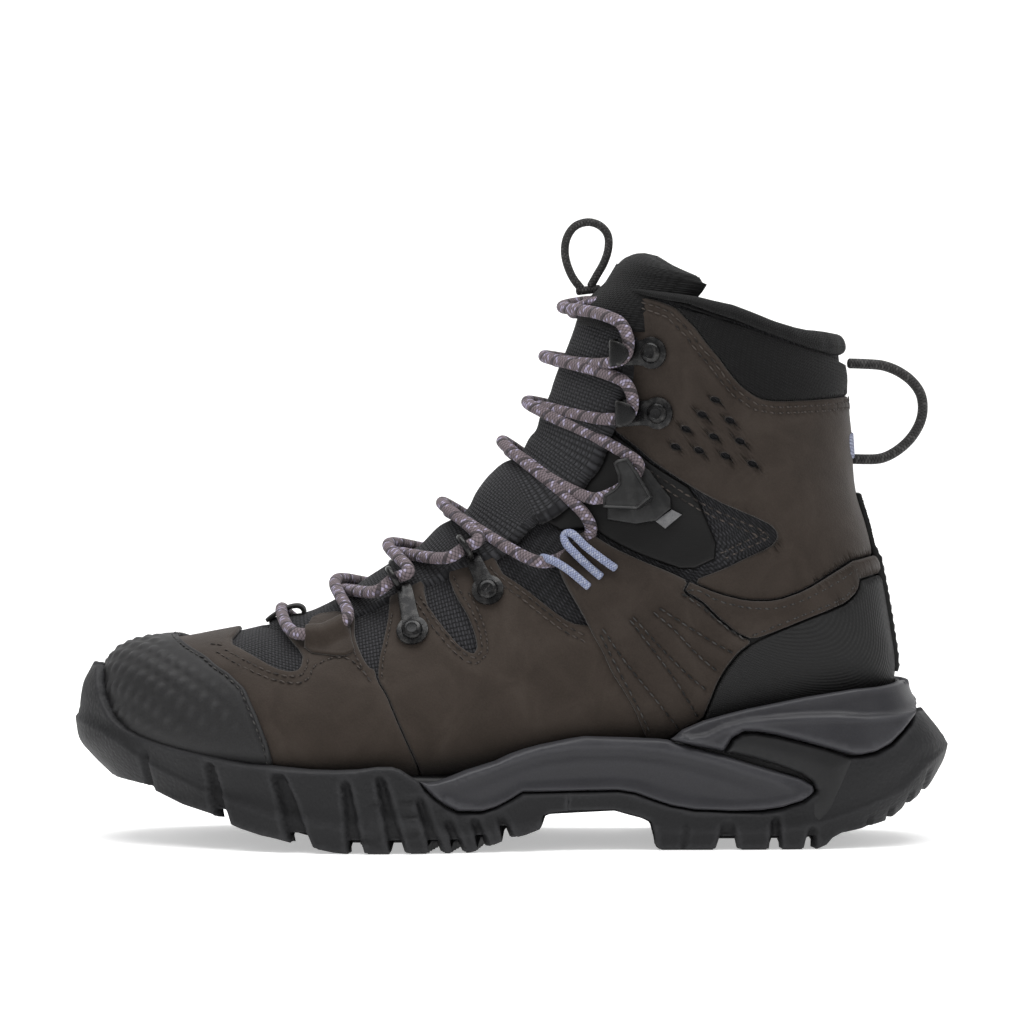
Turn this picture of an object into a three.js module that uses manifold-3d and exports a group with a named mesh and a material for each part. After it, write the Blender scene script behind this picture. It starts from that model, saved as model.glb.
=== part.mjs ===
// A mid-height lace-up hiking boot for the left foot.
// Millimetres. X runs from the toe (-) to the heel (+), Y from the outer side (-) to the inner side (+).
// Z is up.
import * as THREE from "three";
import { mergeVertices } from "three/addons/utils/BufferGeometryUtils.js";
import Module from "manifold-3d";

const wasm = await Module();
wasm.setup();

// Sizes of the boot. The patterns further down are drawn for the base sizes and graded to these.
const OUTSOLE_LENGTH = 298;
const BALL_WIDTH = 109;
const COLLAR_HEIGHT = 190;
const BASE_LENGTH = 298;
const BASE_WIDTH = 109;
const BASE_HEIGHT = 190;

// Thicknesses, counted outwards from the face of the leather, and the gap between neighbours.
const GAP = 0.3;
const LEATHER = 1.5;
const OVERLAY = 1.3;
const LINER = 2.5;
const FOOTBED_EASE = 1.6;
const FOOTBED_RISE = 2.8;
const SOLE_WALL = 4.0;
const LUG_DEPTH = 5.0;
const GROOVE_WIDTH = 5.0;
const THROAT_HALF = 19.0;
const THROAT_TOP_HALF = 14.0;
const COLLAR_PUFF = 0.8;
const TIP_RISE = 1.9;
const TONGUE_OUT = 1.2;
const WING_THICK = 3.4;

// Cords and hardware.
const LACE_DIAMETER = 4.2;
const BLUE_CORD_DIAMETER = 2.8;
const TONGUE_CORD_DIAMETER = 2.6;
const HEEL_STRAP_WIDTH = 5.0;
const HEEL_STRAP_THICK = 3.0;
const RING_PLATE_RADIUS = 5.5;
const RING_WIRE_RADIUS = 1.1;
const RIVET_RADIUS = 3.6;
const RIVET_HEIGHT = 1.4;
const PLATE = 1.2;
const HOOK_ROOF = 1.3;
const SHANK_WIDTH = 22;
const SHANK_THICK = 1.6;
const LACE_TIP_LENGTH = 14;
const LACE_TIP_RADIUS = 1.6;

const gx = OUTSOLE_LENGTH / BASE_LENGTH;
const gy = BALL_WIDTH / BASE_WIDTH;
const gz = COLLAR_HEIGHT / BASE_HEIGHT;

const LINER_OUT = -LEATHER - GAP;
const LINER_IN = LINER_OUT - LINER;
const INNER = LINER_IN - GAP;
const OVER_IN = GAP;
const OVER_OUT = GAP + OVERLAY;
const LACE_R = LACE_DIAMETER / 2;
const LACE_CLEAR = LACE_R + GAP;

// The shape of the upper: sections that fan round from the toe to the collar. Each row has the lower end, the
// upper end, the half width, the side shift of the middle, the roundness above and below the widest level,
// and that level.
const SECTIONS = [
  [-139.5, 44, -140.5, 57, 0, 8, 2.2, 2.4, 0.4],
  [-137, 38, -137.8, 62.6, 18, 8, 2.2, 2.4, 0.4],
  [-132, 34, -132.5, 66.4, 27, 7.5, 2.2, 2.5, 0.38],
  [-124, 30, -124, 68.6, 35, 7, 2.2, 2.6, 0.36],
  [-112, 26, -113, 70, 41.5, 5.5, 2.2, 2.6, 0.34],
  [-95, 22.5, -97, 73.2, 46.5, 3.5, 2.1, 2.6, 0.32],
  [-75, 20, -79, 77.5, 49, 1, 2.0, 2.6, 0.3],
  [-52, 19.5, -60, 81.5, 49, -1.5, 1.9, 2.6, 0.3],
  [-28, 21, -41.5, 93.5, 46, -2.5, 1.8, 2.6, 0.28],
  [-5, 23.5, -26, 105.5, 42, -2.5, 1.75, 2.6, 0.26],
  [20, 27.5, -13.5, 115.5, 38.5, -2, 1.75, 2.6, 0.26],
  [45, 30.5, -4.5, 127, 36.5, -1, 1.8, 2.6, 0.27],
  [70, 33, 3, 133, 35.5, 0, 1.9, 2.6, 0.3],
  [95, 35.5, 8.5, 141, 35, 0, 2.0, 2.5, 0.34],
  [115, 39.5, 13, 149.5, 34.5, 0, 2.0, 2.4, 0.38],
  [127.5, 48, 16, 157.5, 34, 0, 2.0, 2.3, 0.42],
  [131, 59, 18.5, 164.5, 34, 0, 2.0, 2.3, 0.45],
  [129.5, 73, 20.8, 171, 34.5, 0, 2.0, 2.2, 0.46],
  [126.5, 90, 22.6, 176, 35, 0, 2.0, 2.2, 0.47],
  [122.5, 108, 24.2, 180.2, 35.5, 0, 2.0, 2.1, 0.48],
  [118.6, 122, 26, 183.5, 36, 0, 2.0, 2.1, 0.49],
  [117.5, 138, 28, 186.3, 36.5, 0, 2.0, 2.0, 0.5],
  [116.3, 152, 30, 189, 37, 0, 2.0, 2.0, 0.5],
  [115.3, 162, 32, 191.8, 37.5, 0, 2.0, 2.0, 0.5],
  [114.5, 170, 34, 195, 38, 0, 2.0, 2.0, 0.5],
  [114, 184, 37, 205, 38.5, 0, 2.0, 2.0, 0.5],
];
const LAST = SECTIONS.length - 1;
const RING_STEPS = 18;

// One value of the sections at place u, along a smooth curve through them.
function blendSections(u, index) {
  const i = Math.min(Math.floor(u), LAST - 1);
  const t = u - i;
  const pick = (k) => {
    const row = SECTIONS[Math.max(0, Math.min(LAST, k))];
    return index === 4 ? row[4] * row[4] : row[index];
  };
  const a = pick(i - 1);
  const b = pick(i);
  const c = pick(i + 1);
  const d = pick(i + 2);
  const value = b + 0.5 * t * (c - a + t * (2 * a - 5 * b + 4 * c - d + t * (3 * (b - c) + d - a)));
  return index === 4 ? Math.sqrt(Math.max(0, value)) : value;
}

function sectionAt(u) {
  return {
    bx: blendSections(u, 0) * gx,
    bz: blendSections(u, 1) * gz,
    tx: blendSections(u, 2) * gx,
    tz: blendSections(u, 3) * gz,
    half: blendSections(u, 4) * gy,
    shift: blendSections(u, 5) * gy,
    above: blendSections(u, 6),
    below: blendSections(u, 7),
    level: blendSections(u, 8),
  };
}

// A point of the upper's face. turn is 0 at the top ridge, negative on the outer side, and pi at the bottom.
function facePoint(u, turn) {
  const q = sectionAt(u);
  const c = Math.cos(turn);
  const power = c >= 0 ? 2 / q.above : 2 / q.below;
  const part = Math.pow(Math.abs(c), power);
  const s = c >= 0 ? q.level + (1 - q.level) * part : q.level * (1 - part);
  const wide = q.half * Math.pow(Math.abs(Math.sin(turn)), power) * Math.sign(Math.sin(turn));
  return new THREE.Vector3(q.bx + s * (q.tx - q.bx), q.shift + wide, q.bz + s * (q.tz - q.bz));
}

function faceNormal(u, turn) {
  if (u < 0.02) {
    const q = sectionAt(0);
    return new THREE.Vector3(-(q.tz - q.bz), 0, q.tx - q.bx).normalize();
  }
  const du = 0.03;
  const dt = 0.03;
  const along = facePoint(Math.min(u + du, LAST), turn).sub(facePoint(Math.max(u - du, 0), turn));
  const round = facePoint(u, turn + dt).sub(facePoint(u, turn - dt));
  return along.cross(round).normalize();
}

// The face moved out by a distance, or in where it is negative.
function offsetPoint(u, turn, out) {
  return facePoint(u, turn).addScaledVector(faceNormal(u, turn), out);
}

// Where a point of the side view lies on the face.
function onFace(x, z) {
  const px = x * gx;
  const pz = z * gz;
  let low = 0;
  let high = LAST;
  for (let i = 0; i < 40; i++) {
    const middle = (low + high) / 2;
    const q = sectionAt(middle);
    const sideOf = (q.tx - q.bx) * (pz - q.bz) - (q.tz - q.bz) * (px - q.bx);
    if (sideOf > 0) {
      high = middle;
    } else {
      low = middle;
    }
  }
  const q = sectionAt(low);
  const dx = q.tx - q.bx;
  const dz = q.tz - q.bz;
  const s = Math.max(0, Math.min(1, ((px - q.bx) * dx + (pz - q.bz) * dz) / (dx * dx + dz * dz)));
  if (s >= q.level) {
    const c = Math.pow((s - q.level) / (1 - q.level), q.above / 2);
    return { u: low, turn: Math.acos(Math.min(1, c)) };
  }
  const c = Math.pow((q.level - s) / q.level, q.below / 2);
  return { u: low, turn: Math.acos(-Math.min(1, c)) };
}

function sidePoint(x, z, side, out) {
  const at = onFace(x, z);
  return offsetPoint(at.u, at.turn * side, out);
}

function toSolid(geometry) {
  const bare = geometry.clone();
  bare.deleteAttribute("normal");
  bare.deleteAttribute("uv");
  const merged = mergeVertices(bare, 1e-4);
  const vertProperties = new Float32Array(merged.attributes.position.array);
  const triVerts = new Uint32Array(merged.index.array);
  return new wasm.Manifold(new wasm.Mesh({ numProp: 3, vertProperties, triVerts }));
}

// The whole upper as one solid body, grown or shrunk by a distance. Rows follow the sections.
const rowPlaces = [0, 0.25, 0.7, 1.3, 2.1];
for (let u = 3; u <= 16; u++) {
  rowPlaces.push(u);
}
for (let u = 17.5; u <= LAST; u += 1.5) {
  rowPlaces.push(u);
}
const bodies = new Map();
function body(out) {
  const key = out.toFixed(3);
  if (bodies.has(key)) {
    return bodies.get(key);
  }
  const points = [];
  const faces = [];
  for (const u of rowPlaces) {
    for (let j = 0; j < RING_STEPS; j++) {
      const turn = (2 * Math.PI * j) / RING_STEPS;
      const at = offsetPoint(u, u === 0 ? Math.min(turn, 2 * Math.PI - turn) : turn, out);
      points.push(at.x, at.y, at.z);
    }
  }
  const rows = rowPlaces.length;
  for (let i = 0; i < rows - 1; i++) {
    for (let j = 0; j < RING_STEPS; j++) {
      const k = (j + 1) % RING_STEPS;
      const a = i * RING_STEPS + j;
      const b = i * RING_STEPS + k;
      const c = (i + 1) * RING_STEPS + k;
      const d = (i + 1) * RING_STEPS + j;
      faces.push(a, b, c, a, c, d);
    }
  }
  const top = (rows - 1) * RING_STEPS;
  for (let j = 1; j < RING_STEPS - 1; j++) {
    faces.push(top, top + j, top + j + 1);
  }
  const geometry = new THREE.BufferGeometry();
  geometry.setAttribute("position", new THREE.Float32BufferAttribute(points, 3));
  geometry.setIndex(faces);
  let solid = toSolid(geometry);
  if (solid.volume() < 0) {
    const flipped = [];
    for (let i = 0; i < faces.length; i += 3) {
      flipped.push(faces[i], faces[i + 2], faces[i + 1]);
    }
    geometry.setIndex(flipped);
    solid = toSolid(geometry);
  }
  bodies.set(key, solid);
  return solid;
}

function shell(outer, inner) {
  return body(outer).subtract(body(inner));
}

// A side-view outline moved outwards by a distance.
function grown(outline, distance) {
  let area = 0;
  for (let i = 0; i < outline.length; i++) {
    const [x1, z1] = outline[i];
    const [x2, z2] = outline[(i + 1) % outline.length];
    area += x1 * z2 - x2 * z1;
  }
  const turn = Math.sign(area);
  return outline.map((p, i) => {
    const before = outline[(i + outline.length - 1) % outline.length];
    const after = outline[(i + 1) % outline.length];
    const ax = p[0] - before[0];
    const az = p[1] - before[1];
    const bx = after[0] - p[0];
    const bz = after[1] - p[1];
    const la = Math.hypot(ax, az);
    const lb = Math.hypot(bx, bz);
    const nx = az / la + bz / lb;
    const nz = -ax / la - bx / lb;
    const ln = Math.hypot(nx, nz);
    const spread = Math.min(1.6, 2 / ln);
    return [p[0] + (turn * distance * spread * nx) / ln, p[1] + (turn * distance * spread * nz) / ln];
  });
}

const graded = (outline) => outline.map(([x, z]) => [x * gx, z * gz]);

// A side-view outline carried straight through the boot, or through one side of it.
function through(outline, yFrom = -90, yTo = 90) {
  const shape = new THREE.Shape(outline.map(([x, z]) => new THREE.Vector2(x, z)));
  const geometry = new THREE.ExtrudeGeometry(shape, { depth: yTo - yFrom, bevelEnabled: false, steps: 1 });
  geometry.rotateX(Math.PI / 2);
  geometry.translate(0, yTo, 0);
  return toSolid(geometry);
}

// A plan outline carried upwards.
function upright(outline, zFrom, zTo) {
  const shape = new THREE.Shape(outline.map(([x, y]) => new THREE.Vector2(x, y)));
  const geometry = new THREE.ExtrudeGeometry(shape, { depth: zTo - zFrom, bevelEnabled: false, steps: 1 });
  geometry.translate(0, 0, zFrom);
  return toSolid(geometry);
}

function union(list) {
  return list.reduce((a, b) => a.add(b));
}

const boot = new THREE.Group();
boot.name = "hiking_boot";
const parts = new Map();

// Cutting room for the lace can leave an offcut, which isn't kept.
function largest(solid) {
  const pieces = solid.decompose();
  return pieces.reduce((a, b) => (b.volume() > a.volume() ? b : a));
}

function addPart(name, solid, colour, roughness, metalness = 0) {
  parts.set(name, { solid: largest(solid), colour, roughness, metalness });
}

// ---------------------------------------------------------------- lace
const TUBE_SIDES = 8;

// A closed round tube with a ring at every station of a path, and flat ends.
function ringTube(stations, tangents, radius, sides = TUBE_SIDES) {
  const points = [];
  const faces = [];
  let across = new THREE.Vector3(0, 0, 1).cross(tangents[0]);
  if (across.length() < 0.1) {
    across = new THREE.Vector3(0, 1, 0);
  }
  stations.forEach((centre, i) => {
    const forward = tangents[i];
    across.addScaledVector(forward, -across.dot(forward)).normalize();
    const other = forward.clone().cross(across);
    for (let j = 0; j < sides; j++) {
      const angle = (2 * Math.PI * j) / sides;
      const at = centre.clone()
        .addScaledVector(across, radius * Math.cos(angle))
        .addScaledVector(other, radius * Math.sin(angle));
      points.push(at.x, at.y, at.z);
    }
  });
  const count = stations.length;
  for (let i = 0; i < count - 1; i++) {
    for (let j = 0; j < sides; j++) {
      const k = (j + 1) % sides;
      faces.push(i * sides + j, i * sides + k, (i + 1) * sides + k);
      faces.push(i * sides + j, (i + 1) * sides + k, (i + 1) * sides + j);
    }
  }
  const last = (count - 1) * sides;
  for (let j = 1; j < sides - 1; j++) {
    faces.push(0, j + 1, j);
    faces.push(last, last + j, last + j + 1);
  }
  const geometry = new THREE.BufferGeometry();
  geometry.setAttribute("position", new THREE.Float32BufferAttribute(points, 3));
  geometry.setIndex(faces);
  return toSolid(geometry);
}

// A tube through the given points. fine is the number of stations in each span between two of them.
function tube(points, radius, fine = 1, sides = TUBE_SIDES) {
  const curve = new THREE.CatmullRomCurve3(points, false, "centripetal");
  const steps = (points.length - 1) * fine;
  const stations = [];
  const tangents = [];
  for (let i = 0; i <= steps; i++) {
    stations.push(curve.getPoint(i / steps));
    tangents.push(curve.getTangent(i / steps));
  }
  return ringTube(stations, tangents, radius, sides);
}

const LACE_LOW = TONGUE_OUT + LACE_CLEAR;
const LACE_HIGH = LACE_LOW + LACE_DIAMETER + GAP;
const RING_LIFT = GAP + RING_WIRE_RADIUS * 2 + LACE_CLEAR + 0.5;
const HOOK_LIFT = GAP + PLATE + LACE_CLEAR;

// Where the lace meets each holder on a side: side-view place and distance above the face.
const HOLDERS = [
  [[-55, 75, 3.4], [-63.5, 71, 2.7], [-72.5, 70.5, 2.9]],
  [[-43, 83.5, 5.5], [-38, 87.5, RING_LIFT], [-33, 89.5, 5.7]],
  [[-19.5, 95.5, 5.5], [-14.5, 99, RING_LIFT], [-9.5, 101.5, 5.7]],
  [[9, 96.5, 3.4], [14.5, 97.5, 0.6], [21, 101.5, -0.4], [27.5, 107.5, 1.6], [26, 112.5, 3.2]],
  [[29, 118, 4], [36, 120.5, HOOK_LIFT], [42, 125, HOOK_LIFT], [44.5, 130, 4.6], [38, 135, 4]],
  [[34, 145.5, 4], [41.5, 147, HOOK_LIFT], [43, 152, HOOK_LIFT], [41, 158, HOOK_LIFT], [35, 161, 4]],
  [[34, 164.5, 4], [40.5, 167, HOOK_LIFT], [42, 171.5, HOOK_LIFT], [40, 177.5, HOOK_LIFT],
  [33.5, 180.5, 4]],
];
// Where the two runs cross on the top ridge.
const CROSSINGS = [[-57, 83.5], [-38, 97.5], [-19.5, 111], [1.5, 131.5], [11.2, 149], [17.3, 165.5],
  [23.4, 181.5]];

function ridgePoint(x, z, out) {
  const at = onFace(x, z);
  return offsetPoint(at.u, 0, out);
}

// One half of the lace, from the throat to the tucked-in end. It swaps sides at every crossing.
function laceHalf(firstSide, firstIsHigh) {
  const points = [];
  let side = firstSide;
  let high = firstIsHigh;
  const tunnel = HOLDERS[0];
  for (let i = tunnel.length - 1; i >= 0; i--) {
    points.push(sidePoint(tunnel[i][0], tunnel[i][1], side, tunnel[i][2]));
  }
  for (let k = 0; k < CROSSINGS.length; k++) {
    points.push(ridgePoint(CROSSINGS[k][0], CROSSINGS[k][1], high ? LACE_HIGH : LACE_LOW));
    side = -side;
    high = !high;
    if (k + 1 < HOLDERS.length) {
      for (const [x, z, out] of HOLDERS[k + 1]) {
        points.push(sidePoint(x, z, side, out));
      }
    }
  }
  return { points, side };
}

const TUCK_Y = THROAT_TOP_HALF - LACE_CLEAR;
const tuckEnd = (side) => [
  new THREE.Vector3(24.5 * gx, side * TUCK_Y, 184.5 * gz),
  new THREE.Vector3(31.5 * gx, side * (TUCK_Y + 0.2), 184 * gz),
  sidePoint(40, 178, side, LINER_IN - LACE_CLEAR),
  sidePoint(50, 168, side, LINER_IN - LACE_CLEAR - 0.2),
  sidePoint(60, 157, side, LINER_IN - LACE_CLEAR - 0.9),
];
const outerRun = laceHalf(-1, true);
const innerRun = laceHalf(1, false);
const lacePoints = [
  ...tuckEnd(outerRun.side).slice(0, 4).reverse(),
  ...outerRun.points.slice().reverse(),
  ridgePoint(-79, 78.5, LACE_CLEAR),
  ...innerRun.points,
  ...tuckEnd(innerRun.side).slice(0, 4),
];
const lace = tube(lacePoints, LACE_R);
const laceRoom = tube(lacePoints, LACE_CLEAR + 0.05);
addPart("lace", lace, 0x8d8490, 0.85);

// Plastic tips on both ends of the lace, hidden inside the collar.
for (const [name, run] of [["lace_tip_1", outerRun], ["lace_tip_2", innerRun]]) {
  const tip = tuckEnd(run.side);
  const away = tip[4].clone().sub(tip[3]).normalize();
  const from = tip[3].clone().addScaledVector(away, GAP * 2.5);
  const to = tip[3].clone().addScaledVector(away, GAP * 2.5 + LACE_TIP_LENGTH);
  addPart(name, tube([from, to], LACE_TIP_RADIUS), 0x1b1b1d, 0.4);
}

// ---------------------------------------------------------------- patterns of the upper
// Side-view outlines in millimetres at the base size.
const COLLAR_LINE = [
  [20, 240], [20, 190], [38, 189], [45, 188], [52, 186.5], [60, 185], [68, 182], [76, 179.5],
  [85, 176], [95, 172.5], [102, 170], [110, 168], [130, 165.5], [150, 165], [150, 240],
];
const COLLAR_TOP = [
  [20, 240], [20, 196], [40, 191], [62, 187.5], [68, 186], [75, 184.5], [82, 182], [90, 179], [97, 177],
  [103, 175.8], [108, 175.5], [112, 174], [116, 171], [150, 170], [150, 240],
];
const TOE_CAP = [
  [-160, 20], [-160, 90], [-117, 90], [-116.5, 70.5], [-110, 67], [-104, 64.5], [-100, 61.5], [-96, 59.5],
  [-93, 57], [-90, 54.5], [-88, 50], [-86, 46], [-84, 41], [-82, 36], [-80.5, 30], [-80, 26],
  [-110, 27], [-135, 30],
];
const TOE_PUFF = [
  [-160, 0], [-160, 90], [-123, 90], [-122, 67], [-112, 60], [-103, 52], [-97, 42], [-94, 30], [-94, 0],
];
const VAMP = [
  [-93.6, 0], [-93.6, 30], [-96.6, 42], [-102.6, 52], [-111.6, 60.3], [-121.7, 67.3], [-122.7, 90],
  [-54, 90],
  [-54, 75], [-53, 71], [-50, 65], [-48, 62.5], [-46.3, 62], [-45.5, 58.5], [-42, 53], [-40, 48],
  [-37, 41],
  [-34, 34], [-31, 25.5], [-31, 0],
];
const VAMP_WINDOW = [[-97, 70], [-90, 67], [-80, 62], [-75, 61], [-72.5, 61.5], [-71.5, 63],
  [-71, 67], [-80, 75]];
const QUARTER = [
  [-30.7, 0], [-30.7, 25.5], [-33.7, 34], [-36.7, 41], [-39.7, 48], [-41.7, 53], [-45.2, 58.5], [-45, 65],
  [-43.5, 72], [-42, 80], [-42, 100], [-30, 100], [-30, 85], [-24, 77], [-18, 70], [-14.5, 67.5],
  [-12.5, 67],
  [-11.5, 69.5], [-12.5, 74], [-15, 80], [-19, 86], [-22, 93], [-22, 108], [-8, 112], [-5, 95], [5, 88.5],
  [13, 82], [20, 77], [27, 76], [31, 80], [23, 97], [27, 104], [45, 94], [57, 88], [68, 78.7], [78, 71],
  [74, 66.7], [70.7, 61.6], [67.7, 56.7], [65.6, 51.6], [63.6, 45], [63.6, 0],
];
const SADDLE = [
  [15, 98], [20, 103], [24, 107.5], [27, 107], [35, 102], [45, 97.5], [55, 93.5], [60, 91], [58, 87],
  [64, 84],
  [70, 78], [76, 73], [82, 70.5], [77, 67], [73, 62], [70, 57], [68, 52], [66, 47], [65, 44.5], [60, 42.3],
  [56, 39.6], [50, 38.6], [46, 39], [42, 47], [38, 54], [34, 60], [31, 67], [28, 72], [24, 80], [18, 90],
];
const SADDLE_TIP = [[15.4, 97.6], [20, 102.6], [24, 107], [26.6, 106.6], [34, 101.5], [28, 92],
  [20, 88.5], [18.3, 90]];
const ANKLE_PANEL = [
  [20, 200], [33.5, 189.5], [38, 189], [45, 187.5], [50, 186], [55, 184], [58, 181], [62, 177],
  [66, 171.5],
  [70, 167], [74, 161.5], [78, 157], [84, 153], [90, 152], [105, 152.5], [118, 153.5], [140, 154],
  [140, 141],
  [118.5, 140], [116, 137], [116, 134], [118, 131], [140, 130], [140, 98.5], [118, 98.5], [110, 94],
  [100, 88], [90, 84.5], [80, 84.5], [70, 87], [61, 91], [73, 95.5], [80, 99], [88, 102.5], [90.5, 105.5],
  [90, 108], [88, 110], [84, 112], [78, 114.5], [72, 117], [66, 120], [60, 123.5], [53, 128], [47, 132],
  [42, 136.5], [36, 141], [31, 145], [28.5, 148], [27, 153], [20, 156],
];
const FACING = [
  [14, 108], [27.5, 108.5], [35, 103.8], [45, 99.3], [60, 94], [71.5, 99.5], [62, 121.7], [52.6, 127.4],
  [46.6, 131.4], [41.6, 135.9], [35.6, 140.4], [30.6, 144.4], [28, 147.6], [26.6, 152.5], [10, 155],
  [0, 125],
];
const HEEL_BAND = [
  [60.5, 90.7], [70, 86.7], [80, 84.2], [90, 84.2], [100, 87.7], [110, 93.7], [118, 98.2], [140, 99],
  [140, 92.5],
  [118.5, 92], [117.5, 87], [114, 83.5], [108, 81], [100, 78], [90, 74], [82, 71.2], [76.5, 73.4],
  [70, 79],
  [64.5, 84.6], [58.8, 87.6],
];
const HEEL_COVER = [
  [82.3, 70.2], [90, 73.6], [100, 77.6], [108, 80.6], [114.2, 83.1], [117.9, 87], [118.8, 91.6], [140, 92],
  [140, 40], [128, 34], [118, 31], [100, 35], [85, 40], [66, 41], [65.5, 44.4], [66.5, 47], [68.4, 51.8],
  [70.4, 56.8], [73.4, 61.7], [77.3, 66.6],
];
const STIFFENER = [
  [64, 0], [64, 45], [66, 51.5], [68, 56.6], [71, 61.4], [74.3, 66.4], [79, 70.6], [86, 75],
  [100, 82], [110, 86],
  [118, 95], [140, 97.9], [140, 0],
];
const COLLAR_MESH = [
  [38, 188.6], [45, 187.7], [50.3, 186.3], [55.2, 184.3], [58.3, 181.2], [62.3, 177.2], [66.3, 171.7],
  [70.3, 167.2], [74.3, 161.8], [78.2, 157.3], [84.1, 153.3], [90, 152.3], [105, 152.8], [118, 153.8],
  [140, 154.3],
  [140, 165.2], [110, 167.7], [102, 169.7], [95, 172.2], [85, 175.7], [76, 179.2], [68, 181.7],
  [60, 184.7],
  [52, 186.2], [45, 188.4],
];
const LACE_TUNNEL = [[-70.5, 66.5], [-70, 74], [-68, 78], [-57, 80], [-54.8, 76], [-54, 71],
  [-52.5, 67], [-57, 65]];

const BLUE_R = BLUE_CORD_DIAMETER / 2;
const blueLift = OVER_OUT + BLUE_R + GAP;
const BLUE_SINGLE = [
  [26, 88.5, blueLift], [20, 93, blueLift + TIP_RISE], [15.5, 95.8, blueLift + TIP_RISE],
  [12.6, 97.2, blueLift + 0.8], [10.8, 98.4, 1.2],
];
const BLUE_HAIRPIN = [
  [30.5, 92, blueLift], [26.5, 95.2, blueLift + 0.4], [22, 99, blueLift + TIP_RISE],
  [18.8, 102.6, blueLift + 1.6],
  [18.6, 105.4, blueLift + 0.6], [21, 105.8, blueLift + TIP_RISE], [26, 101.6, blueLift + TIP_RISE],
  [31, 98, blueLift + TIP_RISE],
  [35.5, 95, blueLift],
];
const blueRoute = (path, side) => path.map(([x, z, out]) => sidePoint(x, z, side, out));

function panel(outline, outer, inner, yFrom = -90, yTo = 90) {
  return shell(outer, inner).intersect(through(graded(outline), yFrom, yTo));
}

// The opening that the lacing closes: seen from above with a round front end, then narrowing up the shaft.
function throat(extra) {
  const wide = THROAT_HALF * gy + extra;
  const narrow = THROAT_TOP_HALF * gy + extra;
  const front = -72 * gx;
  const outline = [];
  const steps = 6;
  for (let i = 0; i <= steps; i++) {
    const angle = Math.PI / 2 + (Math.PI * i) / steps;
    outline.push([front + wide * 0.7 * Math.cos(angle), wide * Math.sin(angle)]);
  }
  outline.push([62 * gx, -wide]);
  outline.push([62 * gx, wide]);
  const lower = upright(outline, 52 * gz, 141 * gz);
  const front2 = [[-wide, 140], [wide, 140], [narrow, 178], [narrow, 300], [-narrow, 300], [-narrow, 178]];
  const shape = new THREE.Shape(front2.map(([y, z]) => new THREE.Vector2(y, z * gz)));
  const geometry = new THREE.ExtrudeGeometry(shape, { depth: 72 * gx, bevelEnabled: false, steps: 1 });
  geometry.rotateX(Math.PI / 2);
  geometry.rotateZ(Math.PI / 2);
  geometry.translate(-10 * gx, 0, 0);
  return lower.add(toSolid(geometry));
}
const throatOpen = throat(GAP);
const throatLeather = throat(1.5);
const aboveCollar = through(graded(COLLAR_LINE));
const aboveRoll = through(graded(COLLAR_TOP));

// ---------------------------------------------------------------- sole
// Length of the sole's plan at each height: the front end, the rear end and how much narrower it is.
const SOLE_LEVELS = [
  [0, -132, 128, 1.5], [10, -132, 130, 0], [20, -133, 142.5, 0], [29, -142.5, 147.5, 0],
  [35, -148, 149, 0.4],
  [42, -149, 143.5, 1], [48, -149, 139.2, 1.6], [54, -148, 136.6, 2.2], [62, -143.5, 134.5, 3.2],
];
// Half width of the sole and the side shift of its middle, from the toe to the heel.
const SOLE_PLAN = [
  [-1, 0, 8], [-0.985, 11, 8], [-0.95, 21, 8], [-0.9, 29.5, 7.6], [-0.83, 37.5, 7],
  [-0.74, 44.5, 5.4], [-0.62, 50.5, 3.2],
  [-0.5, 53.6, 1], [-0.37, 54.5, -1.2], [-0.24, 52.3, -2.4], [-0.1, 47.8, -2.6], [0.02, 44, -2.2],
  [0.16, 41.5, -1.6],
  [0.32, 40.6, -0.6], [0.5, 40.6, 0], [0.66, 40, 0], [0.8, 37.6, 0], [0.9, 32.2, 0], [0.96, 23.5, 0],
  [0.99, 12, 0],
  [1, 0, 0],
];

// The sole's outside, made narrower by inset.
function soleBody(inset) {
  const points = [];
  const faces = [];
  const count = (SOLE_PLAN.length - 1) * 2;
  for (const [z, front, rear, taper] of SOLE_LEVELS) {
    for (let j = 0; j < count; j++) {
      const k = j < SOLE_PLAN.length ? j : count - j;
      const side = j < SOLE_PLAN.length ? -1 : 1;
      const [place, half, shift] = SOLE_PLAN[k];
      const reach = place < 0 ? -place * (front * gx + inset) : place * (rear * gx - inset);
      const wide = Math.max(0, half * gy - (taper + inset) * Math.min(1, half / 20));
      points.push(reach, shift * gy + side * wide, z * gz);
    }
  }
  const rows = SOLE_LEVELS.length;
  for (let i = 0; i < rows - 1; i++) {
    for (let j = 0; j < count; j++) {
      const k = (j + 1) % count;
      faces.push(i * count + j, i * count + k, (i + 1) * count + k);
      faces.push(i * count + j, (i + 1) * count + k, (i + 1) * count + j);
    }
  }
  const middles = [];
  for (const row of [0, rows - 1]) {
    middles.push(points.length / 3);
    points.push(0, 0, SOLE_LEVELS[row][0] * gz);
  }
  for (let j = 0; j < count; j++) {
    const k = (j + 1) % count;
    faces.push(middles[0], k, j);
    faces.push(middles[1], (rows - 1) * count + j, (rows - 1) * count + k);
  }
  const geometry = new THREE.BufferGeometry();
  geometry.setAttribute("position", new THREE.Float32BufferAttribute(points, 3));
  geometry.setIndex(faces);
  return toSolid(geometry);
}

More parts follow.
